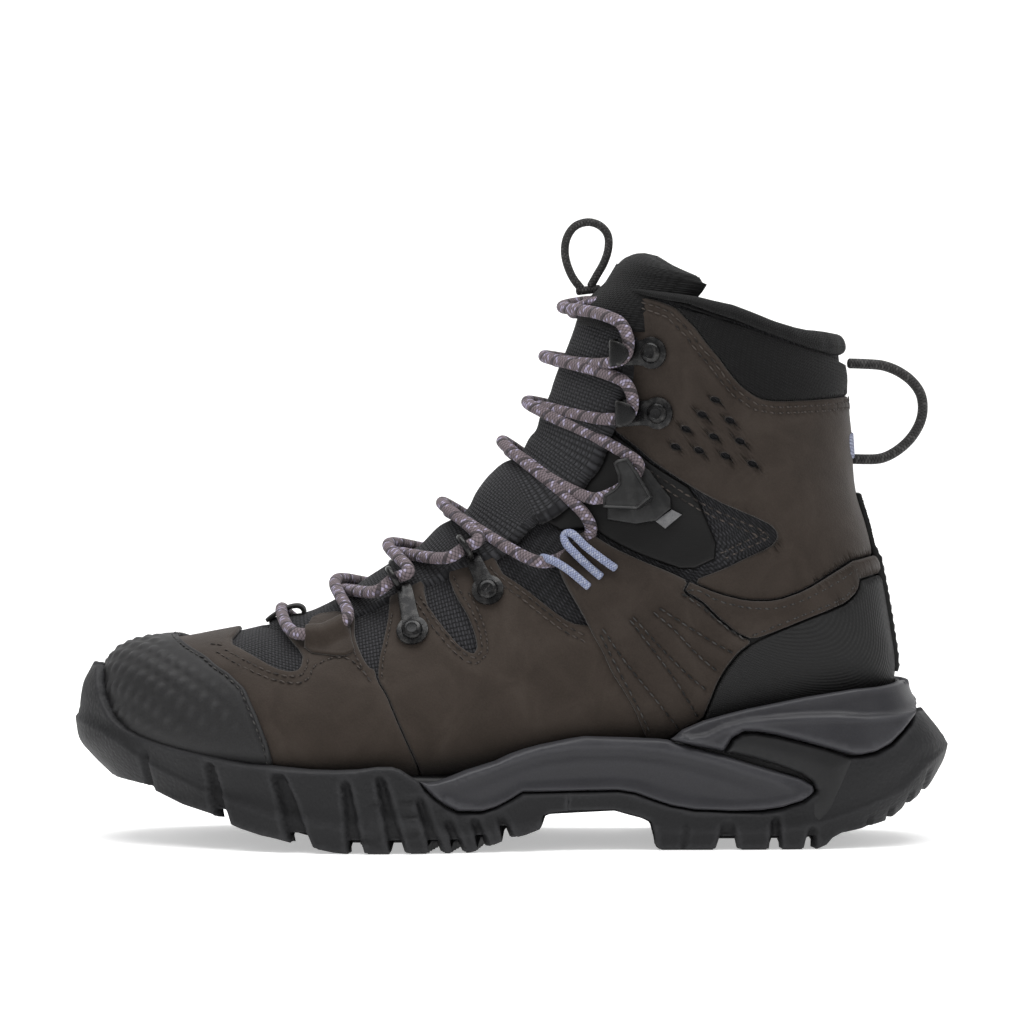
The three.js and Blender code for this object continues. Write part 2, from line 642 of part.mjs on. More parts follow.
const BRIDGE = [
  [-31, 24.5], [-28, 24], [-25, 24.3], [-20, 26], [-15, 28], [-10, 29.5], [-5, 31], [0, 33.3],
  [5, 35], [10, 36.3],
  [15, 37.3], [20, 38.3], [25, 39], [40, 38.5], [50, 38], [53.2, 37.6], [56, 36.5], [62, 35],
  [72, 32.4], [88, 27.5],
  [98, 24.5], [102.5, 22], [103, 19.5], [99, 16.5], [92, 14.3], [85, 13.2], [75, 13], [62, 13.5], [54, 15],
  [48, 17], [42, 19.3], [36, 20.3], [15, 20], [4, 20], [0, 17.5], [-5, 15], [-10, 13.7], [-18, 14],
  [-22, 16],
  [-26, 19], [-29, 22],
];
const INSERT = [
  [-122, 29], [-122, 27], [-110, 21], [-95, 15.5], [-75, 12], [-50, 10.5], [-31, 11], [-14, 14], [4, 20.2],
  [36, 20.5], [48, 17.2], [62, 13.7], [92, 14.5], [103, 19.7], [116, 22], [124, 25], [124, 34],
  [112, 32], [70, 31],
  [20, 30], [-31, 28], [-100, 30],
];
const CRADLE = [
  [53.3, 37.9], [55, 38.4], [58, 41], [65, 44], [72, 46], [80, 48], [90, 50], [100, 52], [110, 53.5],
  [117, 54.5],
  [125, 55], [130, 55.5], [140, 56.5], [150, 53], [150, 46.8], [138, 46.5], [136, 42], [133, 39],
  [129, 35.5],
  [124, 33], [119, 32], [116, 32], [112, 33], [105, 35], [98, 37], [90, 39], [84, 40], [79, 40.2],
  [75, 38],
  [72, 33.5], [62, 35.3], [56, 36.8],
];
const OUTSOLE = [
  [-143, 62], [-146, 58], [-148, 54], [-150, 48], [-150, 42], [-148, 36], [-146, 33], [-143, 29.5],
  [-140, 29],
  [-136, 26], [-130, 22.5], [-124, 21.5], [-122, 19], [-118, 17], [-112, 14.5], [-106, 13],
  [-102, 12], [-97, 9.5],
  [-92, 7.5], [-85, 5.5], [-80, 5], [-70, 2.5], [-56, 0], [-14, 0], [-8, 2.5], [-2, 5.5], [5, 6],
  [10.5, 8],
  [10.5, 11.5], [13, 12.3], [20, 13.3], [35, 13.5], [40, 12], [44, 11], [47, 9.5], [48, 6], [48.5, 0],
  [104, 0],
  [108, 2], [111, 4.5], [117, 6], [123, 8], [130, 11], [135, 14], [138, 15.5], [143, 21], [147, 28],
  [150, 31],
  [150, 35.5], [147, 37.5], [144, 40.5], [143, 42], [141, 46], [139.5, 46.2], [136.5, 41.6], [133.3, 38.6],
  [129.3, 35.1], [124, 32.6], [119, 31.6], [116, 31.6], [112, 32.6], [105, 34.6], [98, 36.6],
  [90, 38.6], [84, 39.6],
  [79.2, 39.8], [75.3, 37.7], [72.4, 33.6], [60, 30], [20, 28], [-28, 22], [-30, 21.6], [-31, 24.5],
  [-34, 26.5],
  [-37, 28.5], [-40, 29.5], [-45, 29.5], [-52, 28.5], [-60, 28], [-68, 28], [-82, 29], [-90, 29.5],
  [-98, 31],
  [-105, 32.5], [-112, 34], [-120, 36], [-127, 38], [-132, 40], [-136, 43], [-139, 47], [-141, 51],
  [-141.8, 55],
  [-141.8, 60],
];

const hollow = body(GAP);
const toeCapRoom = body(OVER_OUT + GAP).intersect(through(grown(graded(TOE_CAP), GAP)));
const heelRoom = body(OVER_OUT + GAP).intersect(through(grown(graded(HEEL_COVER), GAP)));
const footRoom = union([hollow, toeCapRoom, heelRoom]);

function midsoleBody(extra) {
  const bridge = through(grown(graded(BRIDGE), extra)).intersect(soleBody(-extra));
  const insert = through(grown(graded(INSERT), extra)).intersect(soleBody(SOLE_WALL + GAP - extra));
  return bridge.add(insert);
}

// The steel shank lies in a slot along the middle of the midsole.
const shankOutline = [[-48, 14.5], [-20, 16.6], [4, 21.4], [20, 22.6], [45, 23.6], [84, 26]];
function shankBody(extra) {
  const lower = shankOutline.map(([x, z]) => [x * gx, z * gz - extra]);
  const upper = shankOutline.map(([x, z]) => [x * gx, z * gz + SHANK_THICK + extra]).reverse();
  lower[0][0] -= extra;
  upper[upper.length - 1][0] -= extra;
  lower[lower.length - 1][0] += extra;
  upper[0][0] += extra;
  const half = SHANK_WIDTH / 2 + extra;
  return through([...lower, ...upper], -half, half);
}
const shankMouth = upright(
  [[60 * gx, -3], [66 * gx, -3], [66 * gx, 3], [60 * gx, 3]], 24 * gz, 60 * gz);
addPart("shank", shankBody(0), 0x8a8d90, 0.4, 0.9);
const midsole = midsoleBody(0).subtract(footRoom).subtract(shankBody(GAP)).subtract(shankMouth);
addPart("midsole", midsole, 0x4c4d50, 0.7);

const cradle = through(graded(CRADLE)).intersect(soleBody(0)).subtract(footRoom).subtract(midsoleBody(GAP));
addPart("heel_cradle", cradle, 0x55565a, 0.65);

// Grooves between the lugs, across the tread and along it.
const GROOVES_ACROSS = [
  [-123, 2, -8], [-100, 4, -8], [-75, 7, -8], [-53, 4, -6], [-41, 5, -4], [-24, 4, 4], [-12, 4, 6],
  [1, 4, 6],
  [70, 5, 0], [90, 4, 0], [103, 3.5, 0],
];
const treadFloor = [
  [-140, 25.5], [-124, 26.5], [-112, 19.5], [-97, 14.5], [-80, 10], [-56, LUG_DEPTH], [-8, 7],
  [10, 13], [40, 13.2],
  [47, 9.5], [56, LUG_DEPTH], [104, LUG_DEPTH], [117, 11], [138, 20.5],
];
const belowFloor = through([[-150 * gx, -5], ...graded(treadFloor), [150 * gx, 20 * gz], [150 * gx, -5]]);
function groove(x, wide, slant) {
  const back = slant;
  return upright([
    [(x - wide / 2 + back) * gx, -90], [(x + wide / 2 + back) * gx, -90], [(x + wide / 2) * gx, 0],
    [(x + wide / 2 + back) * gx, 90], [(x - wide / 2 + back) * gx, 90], [(x - wide / 2) * gx, 0],
  ], -10, 60);
}
const along = [-1, 1].map((side) => upright([
  [-112 * gx, side * 13], [-60 * gx, side * 19], [-4 * gx, side * 14], [-4 * gx, side * 14 + GROOVE_WIDTH],
  [-60 * gx, side * 19 + GROOVE_WIDTH], [-112 * gx, side * 13 + GROOVE_WIDTH],
].map(([x, y]) => [x, side < 0 ? y - GROOVE_WIDTH : y]), -10, 60));
const heelAlong = [-1, 1].map((side) => upright([
  [60 * gx, side * 16 - GROOVE_WIDTH / 2], [96 * gx, side * 14 - GROOVE_WIDTH / 2],
  [96 * gx, side * 14 + GROOVE_WIDTH / 2], [60 * gx, side * 16 + GROOVE_WIDTH / 2],
], -10, 60));
const grooves = union([
  ...GROOVES_ACROSS.map(([x, wide, slant]) => groove(x, wide, slant)),
  ...along,
  ...heelAlong,
]).intersect(belowFloor);
const outsole = through(graded(OUTSOLE)).intersect(soleBody(0))
  .subtract(footRoom)
  .subtract(midsoleBody(GAP))
  .subtract(through(grown(graded(CRADLE), GAP)).intersect(soleBody(-1)))
  .subtract(grooves);
addPart("outsole", outsole, 0x232325, 0.75);

// ---------------------------------------------------------------- upper
const bootie = shell(LINER_OUT, LINER_IN)
  .subtract(aboveCollar)
  .subtract(throatOpen)
  .subtract(laceRoom);
addPart("bootie", bootie, 0x26262a, 0.95);

// The board covers the middle of the bottom, and the leather's lasted margin lies round it.
function boardRoom(inset) {
  const rim = SOLE_LEVELS[0];
  const outline = [];
  const count = (SOLE_PLAN.length - 1) * 2;
  for (let j = 0; j < count; j++) {
    const k = j < SOLE_PLAN.length ? j : count - j;
    const side = j < SOLE_PLAN.length ? -1 : 1;
    const [place, half, shift] = SOLE_PLAN[k];
    const reach = place < 0 ? -place * (rim[1] * gx + inset) : place * (rim[2] * gx - inset);
    const wide = Math.max(0.5, half * gy - inset * Math.min(1, half / 26));
    outline.push([reach, shift * gy + side * wide]);
  }
  return upright(outline, -5, 44 * gz);
}
const MARGIN = 22;
addPart("insole_board", shell(0, -LEATHER).intersect(boardRoom(MARGIN)), 0x9b8b6d, 0.9);
const boardHole = boardRoom(MARGIN - GAP);
addPart("toe_puff", panel(TOE_PUFF, 0, -LEATHER).subtract(boardHole), 0xb8ad96, 0.8);
addPart("heel_stiffener", panel(STIFFENER, 0, -LEATHER).subtract(boardHole), 0xb8ad96, 0.8);

const vamp = panel(VAMP, 0, -LEATHER)
  .subtract(through(graded(VAMP_WINDOW)))
  .subtract(boardHole)
  .subtract(throatLeather)
  .subtract(laceRoom);
addPart("vamp", vamp, 0x4a4238, 0.9);
addPart("toe_cap", panel(TOE_CAP, OVER_OUT, OVER_IN), 0x232325, 0.7);
addPart("heel_counter_cover", panel(HEEL_COVER, OVER_OUT, OVER_IN), 0x29292c, 0.8);

const SPINE_HALF = 5.5;
const spine = shell(OVER_OUT + GAP + PLATE, OVER_OUT + GAP)
  .intersect(through(graded([[112, 119], [112, 60], [126, 57], [150, 57],
  [150, 119]]), -SPINE_HALF, SPINE_HALF));
addPart("heel_spine", spine, 0x2b2b2d, 0.6);
const HEEL_WINDOW = [[140, 141], [118.5, 140], [116, 137], [116, 134], [118, 131], [140, 130]];
addPart("heel_tab", panel(grown(HEEL_WINDOW, -GAP), 0, -LEATHER), 0x8f93b8, 0.8);

for (const [side, word] of [[-1, "outer"], [1, "inner"]]) {
  const from = side < 0 ? -90 : GAP / 2;
  const to = side < 0 ? -GAP / 2 : 90;
  const quarter = panel(QUARTER, 0, -LEATHER, from, to)
    .subtract(boardHole)
    .subtract(throatLeather)
    .subtract(laceRoom);
  addPart("quarter_" + word, quarter, 0x4a4238, 0.9);
  const saddle = panel(grown(SADDLE, -GAP / 2), OVER_OUT, OVER_IN, from, to)
    .add(panel(SADDLE_TIP, OVER_OUT + TIP_RISE, OVER_IN, from, to))
    .subtract(throatLeather)
    .subtract(laceRoom)
    .subtract(tube(blueRoute(BLUE_SINGLE, side), BLUE_R + GAP, 2))
    .subtract(tube(blueRoute(BLUE_HAIRPIN, side), BLUE_R + GAP, 2));
  addPart("saddle_" + word, saddle, 0x4a4238, 0.9);
  const ankle = panel(ANKLE_PANEL, 0, -LEATHER, from, to)
    .subtract(throatLeather)
    .subtract(laceRoom);
  addPart("ankle_panel_" + word, ankle, 0x4d453b, 0.9);
  const facing = panel(FACING, 0, -LEATHER, from, to)
    .subtract(throatLeather)
    .subtract(laceRoom);
  addPart("facing_" + word, facing, 0x2b2b2e, 0.6);
  addPart("heel_band_" + word, panel(HEEL_BAND, OVER_OUT, OVER_IN, from, to), 0x4a4238, 0.9);
  const tunnel = panel(LACE_TUNNEL, 6.4, OVER_IN, from, to)
    .subtract(throatLeather)
    .subtract(laceRoom);
  addPart("lace_tunnel_" + word, tunnel, 0x4a4238, 0.9);
}

const collarPadding = panel(COLLAR_MESH, COLLAR_PUFF, -LEATHER)
  .subtract(throatLeather)
  .subtract(aboveCollar)
  .subtract(through(grown(graded(ANKLE_PANEL), GAP)))
  .subtract(laceRoom);
addPart("collar_padding", collarPadding, 0x26262a, 0.95);
const roll = shell(COLLAR_PUFF, LINER_IN - 3)
  .intersect(through(grown(graded(COLLAR_LINE), -GAP)))
  .subtract(aboveRoll)
  .subtract(throat(3))
  .subtract(laceRoom);
addPart("collar_roll", roll, 0x26262a, 0.95);

// The tongue fills the throat and wraps round the leg inside the shaft.
const TONGUE_TOP = [
  [-90, 40], [-90, 70], [-60, 90], [0, 170], [20, 196], [33, 195], [36, 199.5], [40, 201.5],
  [45, 202.5], [50, 202],
  [55, 200], [58, 196], [60, 192], [62, 188], [60, 176], [52, 160], [40, 148], [10, 120], [-30, 60],
  [-60, 50],
];
const wingIn = LINER_IN - LACE_CLEAR * 2 - GAP;
const tongueArea = through(graded(TONGUE_TOP));
const tongueWings = shell(wingIn, wingIn - WING_THICK).intersect(tongueArea)
  .intersect(through([[-10 * gx, 140 * gz], [90 * gx, 140 * gz], [90 * gx, 230 * gz],
  [-10 * gx, 230 * gz]]));
const tongueMiddle = shell(TONGUE_OUT, wingIn - WING_THICK).intersect(tongueArea).intersect(throat(0));
const tuckNotch = [-1, 1].map((side) => {
  const near = side * (TUCK_Y - LACE_CLEAR - GAP);
  const far = side * (THROAT_HALF + 1);
  const outline = [[15 * gx, 175 * gz], [60 * gx, 175 * gz], [60 * gx, 205 * gz], [15 * gx, 205 * gz]];
  const whole = through(outline, Math.min(near, far), Math.max(near, far));
  return whole.subtract(body(wingIn));
});
const tongue = tongueMiddle.subtract(union(tuckNotch)).add(tongueWings).subtract(laceRoom);
addPart("tongue", tongue, 0x2a2a2e, 0.95);

// The footbed lies on the bootie's bottom.
const FOOTBED_TOP = [
  [-150, 0], [-150, 36], [-125, 34], [-112, 29.5], [-95, 27], [-75, 25], [-52, 24.6], [-28, 25.6],
  [-5, 27],
  [20, 30], [45, 33], [70, 36], [95, 39.5], [115, 44], [126, 50], [140, 52], [140, 0],
].map(([x, z]) => [x, z > 0 ? z + FOOTBED_RISE : z]);
const footbed = body(INNER - FOOTBED_EASE).translate([0, 0, -FOOTBED_EASE])
  .intersect(body(INNER))
  .intersect(through(graded(FOOTBED_TOP)));
addPart("footbed", footbed, 0x3a3a3f, 0.9);

// ---------------------------------------------------------------- webbing, loops and cords
const THROAT_LOOP = [[-92, 60], [-92, 95], [-76.5, 95], [-76.5, 60]];
const throatLoop = shell(5.8, TONGUE_OUT + GAP)
  .intersect(through(graded(THROAT_LOOP), -6, 6))
  .subtract(laceRoom);
addPart("throat_loop", throatLoop, 0x29292c, 0.8);

// A flat strap bent along a side-view path.
function strap(path, wide, thick) {
  const left = [];
  const right = [];
  for (let i = 0; i < path.length; i++) {
    const before = path[Math.max(0, i - 1)];
    const after = path[Math.min(path.length - 1, i + 1)];
    const dx = after[0] - before[0];
    const dz = after[1] - before[1];
    const length = Math.hypot(dx, dz);
    left.push([path[i][0] - (dz / length) * thick / 2, path[i][1] + (dx / length) * thick / 2]);
    right.push([path[i][0] + (dz / length) * thick / 2, path[i][1] - (dx / length) * thick / 2]);
  }
  return through([...left, ...right.reverse()], -wide / 2, wide / 2);
}

// Heel pull loop. Its ends turn on a steep line just behind the heel.
const HEEL_PATH = [
  [118.9, 164.4], [124, 164.2], [128, 163.8], [133, 162], [138, 158.5], [141.2, 154], [142, 149],
  [141.2, 144.5],
  [138.5, 139.5], [135, 135.8], [130.5, 132.8], [127, 131.6], [121.1, 131.4],
];
function heelEnd(x, z) {
  const radius = HEEL_STRAP_WIDTH / 2;
  const knuckle = new THREE.CylinderGeometry(radius, radius, HEEL_STRAP_THICK, 16);
  knuckle.rotateX(Math.PI / 2);
  knuckle.translate(x * gx, 0, z * gz);
  return toSolid(knuckle);
}
const heelLoop = strap(graded(HEEL_PATH), HEEL_STRAP_WIDTH, HEEL_STRAP_THICK)
  .add(heelEnd(118.9, 164.4))
  .add(heelEnd(121.1, 131.4));
addPart("heel_loop", heelLoop, 0x2a2a2d, 0.85);

const TONGUE_CORD = [
  [24, 190.5], [21.5, 193.5], [19.4, 198], [18.4, 203], [19.2, 208], [22, 211.8], [26.5, 213.2],
  [30.5, 212],
  [33.2, 208.8], [33.4, 204], [31.8, 199], [29.4, 194.8], [27.2, 191.6],
];
const tongueCordPath = TONGUE_CORD.map(([x, z]) => new THREE.Vector3(x * gx, 0, z * gz));
const tongueLoop = tube(tongueCordPath, TONGUE_CORD_DIAMETER / 2)
  .add(tube([
    new THREE.Vector3(22.6 * gx, 0, 191 * gz),
    new THREE.Vector3(28.6 * gx, 0, 191 * gz),
  ], TONGUE_CORD_DIAMETER / 2));
addPart("tongue_loop", tongueLoop, 0x37373b, 0.85);

for (const [side, word] of [[-1, "outer"], [1, "inner"]]) {
  for (const [kind, path] of [["single", BLUE_SINGLE], ["hairpin", BLUE_HAIRPIN]]) {
    const cord = tube(blueRoute(path, side), BLUE_R, 2).subtract(laceRoom);
    addPart("blue_cord_" + kind + "_" + word, cord, 0xb9bfdd, 0.8);
  }
}

// ---------------------------------------------------------------- hardware
// Puts a piece made flat at the origin (X towards the heel, Y up the boot, Z outwards) on the face.
function seat(geometry, x, z, side, out) {
  const origin = sidePoint(x, z, side, out);
  const at = onFace(x, z);
  const outward = faceNormal(at.u, at.turn * side);
  const up = new THREE.Vector3(0, 0, 1);
  up.addScaledVector(outward, -up.dot(outward)).normalize();
  const back = up.clone().cross(outward);
  const frame = new THREE.Matrix4();
  if (side < 0) {
    frame.makeBasis(back, up, outward);
  } else {
    frame.makeBasis(back.negate(), up, outward);
  }
  frame.setPosition(origin);
  const placed = geometry.clone().applyMatrix4(frame);
  if (side > 0) {
    const index = placed.index ? placed.index.array : null;
    if (index) {
      for (let i = 0; i < index.length; i += 3) {
        [index[i], index[i + 1]] = [index[i + 1], index[i]];
      }
    } else {
      const position = placed.attributes.position;
      for (let i = 0; i < position.count; i += 3) {
        const a = new THREE.Vector3().fromBufferAttribute(position, i);
        const b = new THREE.Vector3().fromBufferAttribute(position, i + 1);
        position.setXYZ(i, b.x, b.y, b.z);
        position.setXYZ(i + 1, a.x, a.y, a.z);
      }
    }
  }
  return toSolid(placed);
}

function plate(outline, thick, lift) {
  const shape = new THREE.Shape(outline.map(([x, y]) => new THREE.Vector2(x, y)));
  const geometry = new THREE.ExtrudeGeometry(shape, { depth: thick, bevelEnabled: false, steps: 1 });
  geometry.translate(0, 0, lift);
  return geometry;
}

function disc(radius, sides = 12) {
  const outline = [];
  for (let i = 0; i < sides; i++) {
    const angle = (2 * Math.PI * i) / sides;
    outline.push([radius * Math.cos(angle), radius * Math.sin(angle)]);
  }
  return outline;
}

// A rivet cap: a low dome turned about its axis.
function rivetCap(lift) {
  const profile = [
    [0, 0], [RIVET_RADIUS, 0], [RIVET_RADIUS, RIVET_HEIGHT * 0.5], [RIVET_RADIUS * 0.7, RIVET_HEIGHT],
    [0, RIVET_HEIGHT],
  ].map(([r, h]) => new THREE.Vector2(r, h));
  const cap = new THREE.LatheGeometry(profile, 12);
  cap.rotateX(Math.PI / 2);
  cap.translate(0, 0, lift);
  return cap;
}

const HARD = 0x1c1c1e;
const RINGS = [[-33.5, 74, -38, 87.5], [-8, 87.5, -14.5, 99]];
for (const [side, word] of [[-1, "outer"], [1, "inner"]]) {
  RINGS.forEach(([x, z, loopX, loopZ], i) => {
    const base = sidePoint(x, z, side, 0);
    const tip = sidePoint(loopX, loopZ, side, 0);
    const name = "lace_ring_" + (i + 1) + "_" + word;
    const dx = (loopX - x) * gx;
    const reach = base.distanceTo(tip) * 0.985;
    const angle = Math.asin(Math.max(-1, Math.min(1, dx / reach)));
    const neckX = Math.sin(angle) * (reach - 0.5);
    const neckY = Math.cos(angle) * (reach - 0.5);
    const nx = Math.cos(angle) * 3;
    const ny = -Math.sin(angle) * 3;
    const foot = seat(plate(disc(RING_PLATE_RADIUS), PLATE, 0), x, z, side, GAP);
    const neck = seat(plate([[-nx, -ny], [nx, ny], [neckX + nx, neckY + ny],
    [neckX - nx, neckY - ny]], PLATE, 0),
      x, z, side, GAP);
    const inAt = sidePoint(HOLDERS[i + 1][0][0], HOLDERS[i + 1][0][1], side, 5);
    const outAt = sidePoint(HOLDERS[i + 1][2][0], HOLDERS[i + 1][2][1], side, 5);
    const run = outAt.clone().sub(inAt).normalize();
    const wire = new THREE.TorusGeometry(LACE_CLEAR + RING_WIRE_RADIUS + 0.25, RING_WIRE_RADIUS, 6, 12);
    const turn = new THREE.Quaternion().setFromUnitVectors(new THREE.Vector3(0, 0, 1), run);
    wire.applyQuaternion(turn);
    const centre = sidePoint(loopX, loopZ, side, RING_LIFT);
    wire.translate(centre.x, centre.y, centre.z);
    const ring = foot.add(neck).add(toSolid(wire)).subtract(laceRoom);
    addPart(name, ring, HARD, 0.35, 0.8);
    const rivet = seat(rivetCap(0), x, z, side, GAP + PLATE + GAP);
    addPart("ring_rivet_" + (i + 1) + "_" + word, rivet, HARD, 0.3, 0.85);
  });

  // Lock hook: a base plate, a wall behind the lace and a slanted roof plate.
  const hookX = 40;
  const hookZ = 120.5;
  const local = (points) => points.map(([x, z]) => [(x - hookX), (z - hookZ)]);
  const lockBase = local([[33, 111.5], [43, 110], [50, 111.2], [55, 115.5], [54.6, 119], [47, 128.5],
  [40, 132.4],
    [36.5, 130.5], [38, 122], [33, 118.5]]);
  const lockRoof = local([[33, 114.5], [44.5, 114.2], [49.6, 118.5], [44, 127], [40.4, 132],
  [36.4, 130.5], [38.2, 123.5],
    [32.6, 118.8]]);
  const lockWall = local([[42.4, 114.6], [44.3, 114.7], [49, 118.6], [47.2, 121.6], [45.3, 119.8],
  [43.2, 117]]);
  const wallTall = PLATE + LACE_CLEAR * 2 + 0.6;
  const lock = seat(plate(lockBase, PLATE, 0), hookX, hookZ, side, GAP * 2)
    .add(seat(plate(lockWall, wallTall, HOOK_ROOF / 2), hookX, hookZ, side, GAP * 2))
    .add(seat(plate(lockRoof, HOOK_ROOF, wallTall), hookX, hookZ, side, GAP * 2))
    .subtract(laceRoom);
  addPart("lock_hook_" + word, lock, HARD, 0.4, 0.2);

  // Speed hooks: a round plate under the rivet and a bent tongue that the lace goes behind.
  [[50, 148], [48, 168.5]].forEach(([x, z], i) => {
    const speedPlate = [...disc(RING_PLATE_RADIUS).filter(([px]) => px > -3), [-13.8, 4.7], [-13.8, -4.7]];
    speedPlate.sort((a, b) => Math.atan2(a[1], a[0] + 4) - Math.atan2(b[1], b[0] + 4));
    const wall = [[-13.5, -4.4], [-11.8, -4.4], [-11.8, 4.4], [-13.5, 4.4]];
    const roof = [[-13.7, -4.6], [-8, -3.5], [-5.4, 0], [-8, 3.5], [-13.7, 4.6]];
    const hook = seat(plate(speedPlate, PLATE, 0), x, z, side, GAP)
      .add(seat(plate(wall, wallTall, HOOK_ROOF / 2), x, z, side, GAP))
      .add(seat(plate(roof, HOOK_ROOF, wallTall), x, z, side, GAP))
      .subtract(laceRoom);
    addPart("speed_hook_" + (i + 1) + "_" + word, hook, HARD, 0.35, 0.8);
    const rivet = seat(rivetCap(0), x, z, side, GAP + PLATE + GAP);
    addPart("speed_rivet_" + (i + 1) + "_" + word, rivet, HARD, 0.3, 0.85);
  });
}

// ---------------------------------------------------------------- the finished group
const low = new THREE.Vector3(Infinity, Infinity, Infinity);
const high = new THREE.Vector3(-Infinity, -Infinity, -Infinity);
for (const part of parts.values()) {
  const box = part.solid.boundingBox();
  low.min(new THREE.Vector3(...box.min));
  high.max(new THREE.Vector3(...box.max));
}
const origin = [-(low.x + high.x) / 2, -(low.y + high.y) / 2, -low.z];

for (const [name, part] of parts) {
  const mesh = part.solid.translate(origin).getMesh();
  const geometry = new THREE.BufferGeometry();
  geometry.setAttribute("position", new THREE.Float32BufferAttribute(mesh.vertProperties, 3));
  geometry.setIndex(new THREE.Uint32BufferAttribute(mesh.triVerts, 1));
  const material = new THREE.MeshStandardMaterial({
    color: part.colour,
    roughness: part.roughness,
    metalness: part.metalness,
  });
  const item = new THREE.Mesh(geometry, material);
  item.name = name;
  boot.add(item);
}
export default boot;
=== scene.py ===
# %% [markdown]
# # A hiking boot
# The boot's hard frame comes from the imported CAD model. This script dresses it: it lays leather, mesh, rubber
# and cord over the same shape, in the same place, and gives every piece a finish of its own.
# Everything is worked out in millimetres and turned to metres when a mesh is made.

# %% Load the frame
import math
import bmesh
import bpy
import numpy as np
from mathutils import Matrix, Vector, geometry, kdtree


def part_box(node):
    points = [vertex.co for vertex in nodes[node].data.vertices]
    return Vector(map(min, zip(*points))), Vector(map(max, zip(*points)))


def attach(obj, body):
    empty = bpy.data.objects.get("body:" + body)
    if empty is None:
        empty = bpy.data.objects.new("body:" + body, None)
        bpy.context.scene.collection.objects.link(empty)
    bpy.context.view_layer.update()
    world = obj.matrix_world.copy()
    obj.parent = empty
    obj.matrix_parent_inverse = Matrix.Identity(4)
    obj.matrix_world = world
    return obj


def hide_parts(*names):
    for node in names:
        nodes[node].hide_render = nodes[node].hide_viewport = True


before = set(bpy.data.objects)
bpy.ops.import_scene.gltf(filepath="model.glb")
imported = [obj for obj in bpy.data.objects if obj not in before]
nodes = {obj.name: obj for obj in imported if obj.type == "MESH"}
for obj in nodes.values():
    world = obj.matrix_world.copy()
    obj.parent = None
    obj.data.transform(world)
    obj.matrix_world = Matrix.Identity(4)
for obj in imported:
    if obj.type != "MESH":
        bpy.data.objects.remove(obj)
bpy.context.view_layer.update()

loop_low, loop_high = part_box("tongue_loop")
MOVE = np.array([0.0, (loop_low[1] + loop_high[1]) / 2 * 1000, 0.0])
rng = np.random.default_rng(7)

# %% [markdown]
# ## The shape of the foot
# A shoemaker pulls leather over a last. Here the last is a smooth surface through a fan of sections that turns
# round from upright at the toe to almost level at the collar. A place on it is a pair: how far along the fan,
# and how far round the section from the top ridge. It could be sculpted instead, but then every panel, stitch
# and hook would need its own fitting. With one formula they all share the same face.

# %% The sections of the last
SECTIONS = np.array([
    [-139.5, 44, -140.5, 57, 0, 8, 2.2, 2.4, 0.4],
    [-137, 38, -137.8, 62.6, 18, 8, 2.2, 2.4, 0.4],
    [-132, 34, -132.5, 66.4, 27, 7.5, 2.2, 2.5, 0.38],
    [-124, 30, -124, 68.6, 35, 7, 2.2, 2.6, 0.36],
    [-112, 26, -113, 70, 41.5, 5.5, 2.2, 2.6, 0.34],
    [-95, 22.5, -97, 73.2, 46.5, 3.5, 2.1, 2.6, 0.32],
    [-75, 20, -79, 77.5, 49, 1, 2.0, 2.6, 0.3],
    [-52, 19.5, -60, 81.5, 49, -1.5, 1.9, 2.6, 0.3],
    [-28, 21, -41.5, 93.5, 46, -2.5, 1.8, 2.6, 0.28],
    [-5, 23.5, -26, 105.5, 42, -2.5, 1.75, 2.6, 0.26],
    [20, 27.5, -13.5, 115.5, 38.5, -2, 1.75, 2.6, 0.26],
    [45, 30.5, -4.5, 127, 36.5, -1, 1.8, 2.6, 0.27],
    [70, 33, 3, 133, 35.5, 0, 1.9, 2.6, 0.3],
    [95, 35.5, 8.5, 141, 35, 0, 2.0, 2.5, 0.34],
    [115, 39.5, 13, 149.5, 34.5, 0, 2.0, 2.4, 0.38],
    [127.5, 48, 16, 157.5, 34, 0, 2.0, 2.3, 0.42],
    [131, 59, 18.5, 164.5, 34, 0, 2.0, 2.3, 0.45],
    [129.5, 73, 20.8, 171, 34.5, 0, 2.0, 2.2, 0.46],
    [126.5, 90, 22.6, 176, 35, 0, 2.0, 2.2, 0.47],
    [122.5, 108, 24.2, 180.2, 35.5, 0, 2.0, 2.1, 0.48],
    [118.6, 122, 26, 183.5, 36, 0, 2.0, 2.1, 0.49],
    [117.5, 138, 28, 186.3, 36.5, 0, 2.0, 2.0, 0.5],
    [116.3, 152, 30, 189, 37, 0, 2.0, 2.0, 0.5],
    [115.3, 162, 32, 191.8, 37.5, 0, 2.0, 2.0, 0.5],
    [114.5, 170, 34, 195, 38, 0, 2.0, 2.0, 0.5],
    [114, 184, 37, 205, 38.5, 0, 2.0, 2.0, 0.5]])
LAST = len(SECTIONS) - 1
SMOOTH = SECTIONS.copy()
SMOOTH[:, 4] **= 2


def section(u):
    """The nine values of the section at place u, on a smooth curve through the rows."""
    u = np.clip(np.asarray(u, float), 0, LAST)
    i = np.minimum(u.astype(int), LAST - 1)
    t = (u - i)[..., None]
    a, b, c, d = (SMOOTH[np.clip(i + k, 0, LAST)] for k in (-1, 0, 1, 2))
    q = b + 0.5 * t * (c - a + t * (2 * a - 5 * b + 4 * c - d + t * (3 * (b - c) + d - a)))
    q[..., 4] = np.sqrt(np.maximum(q[..., 4], 0))
    return q


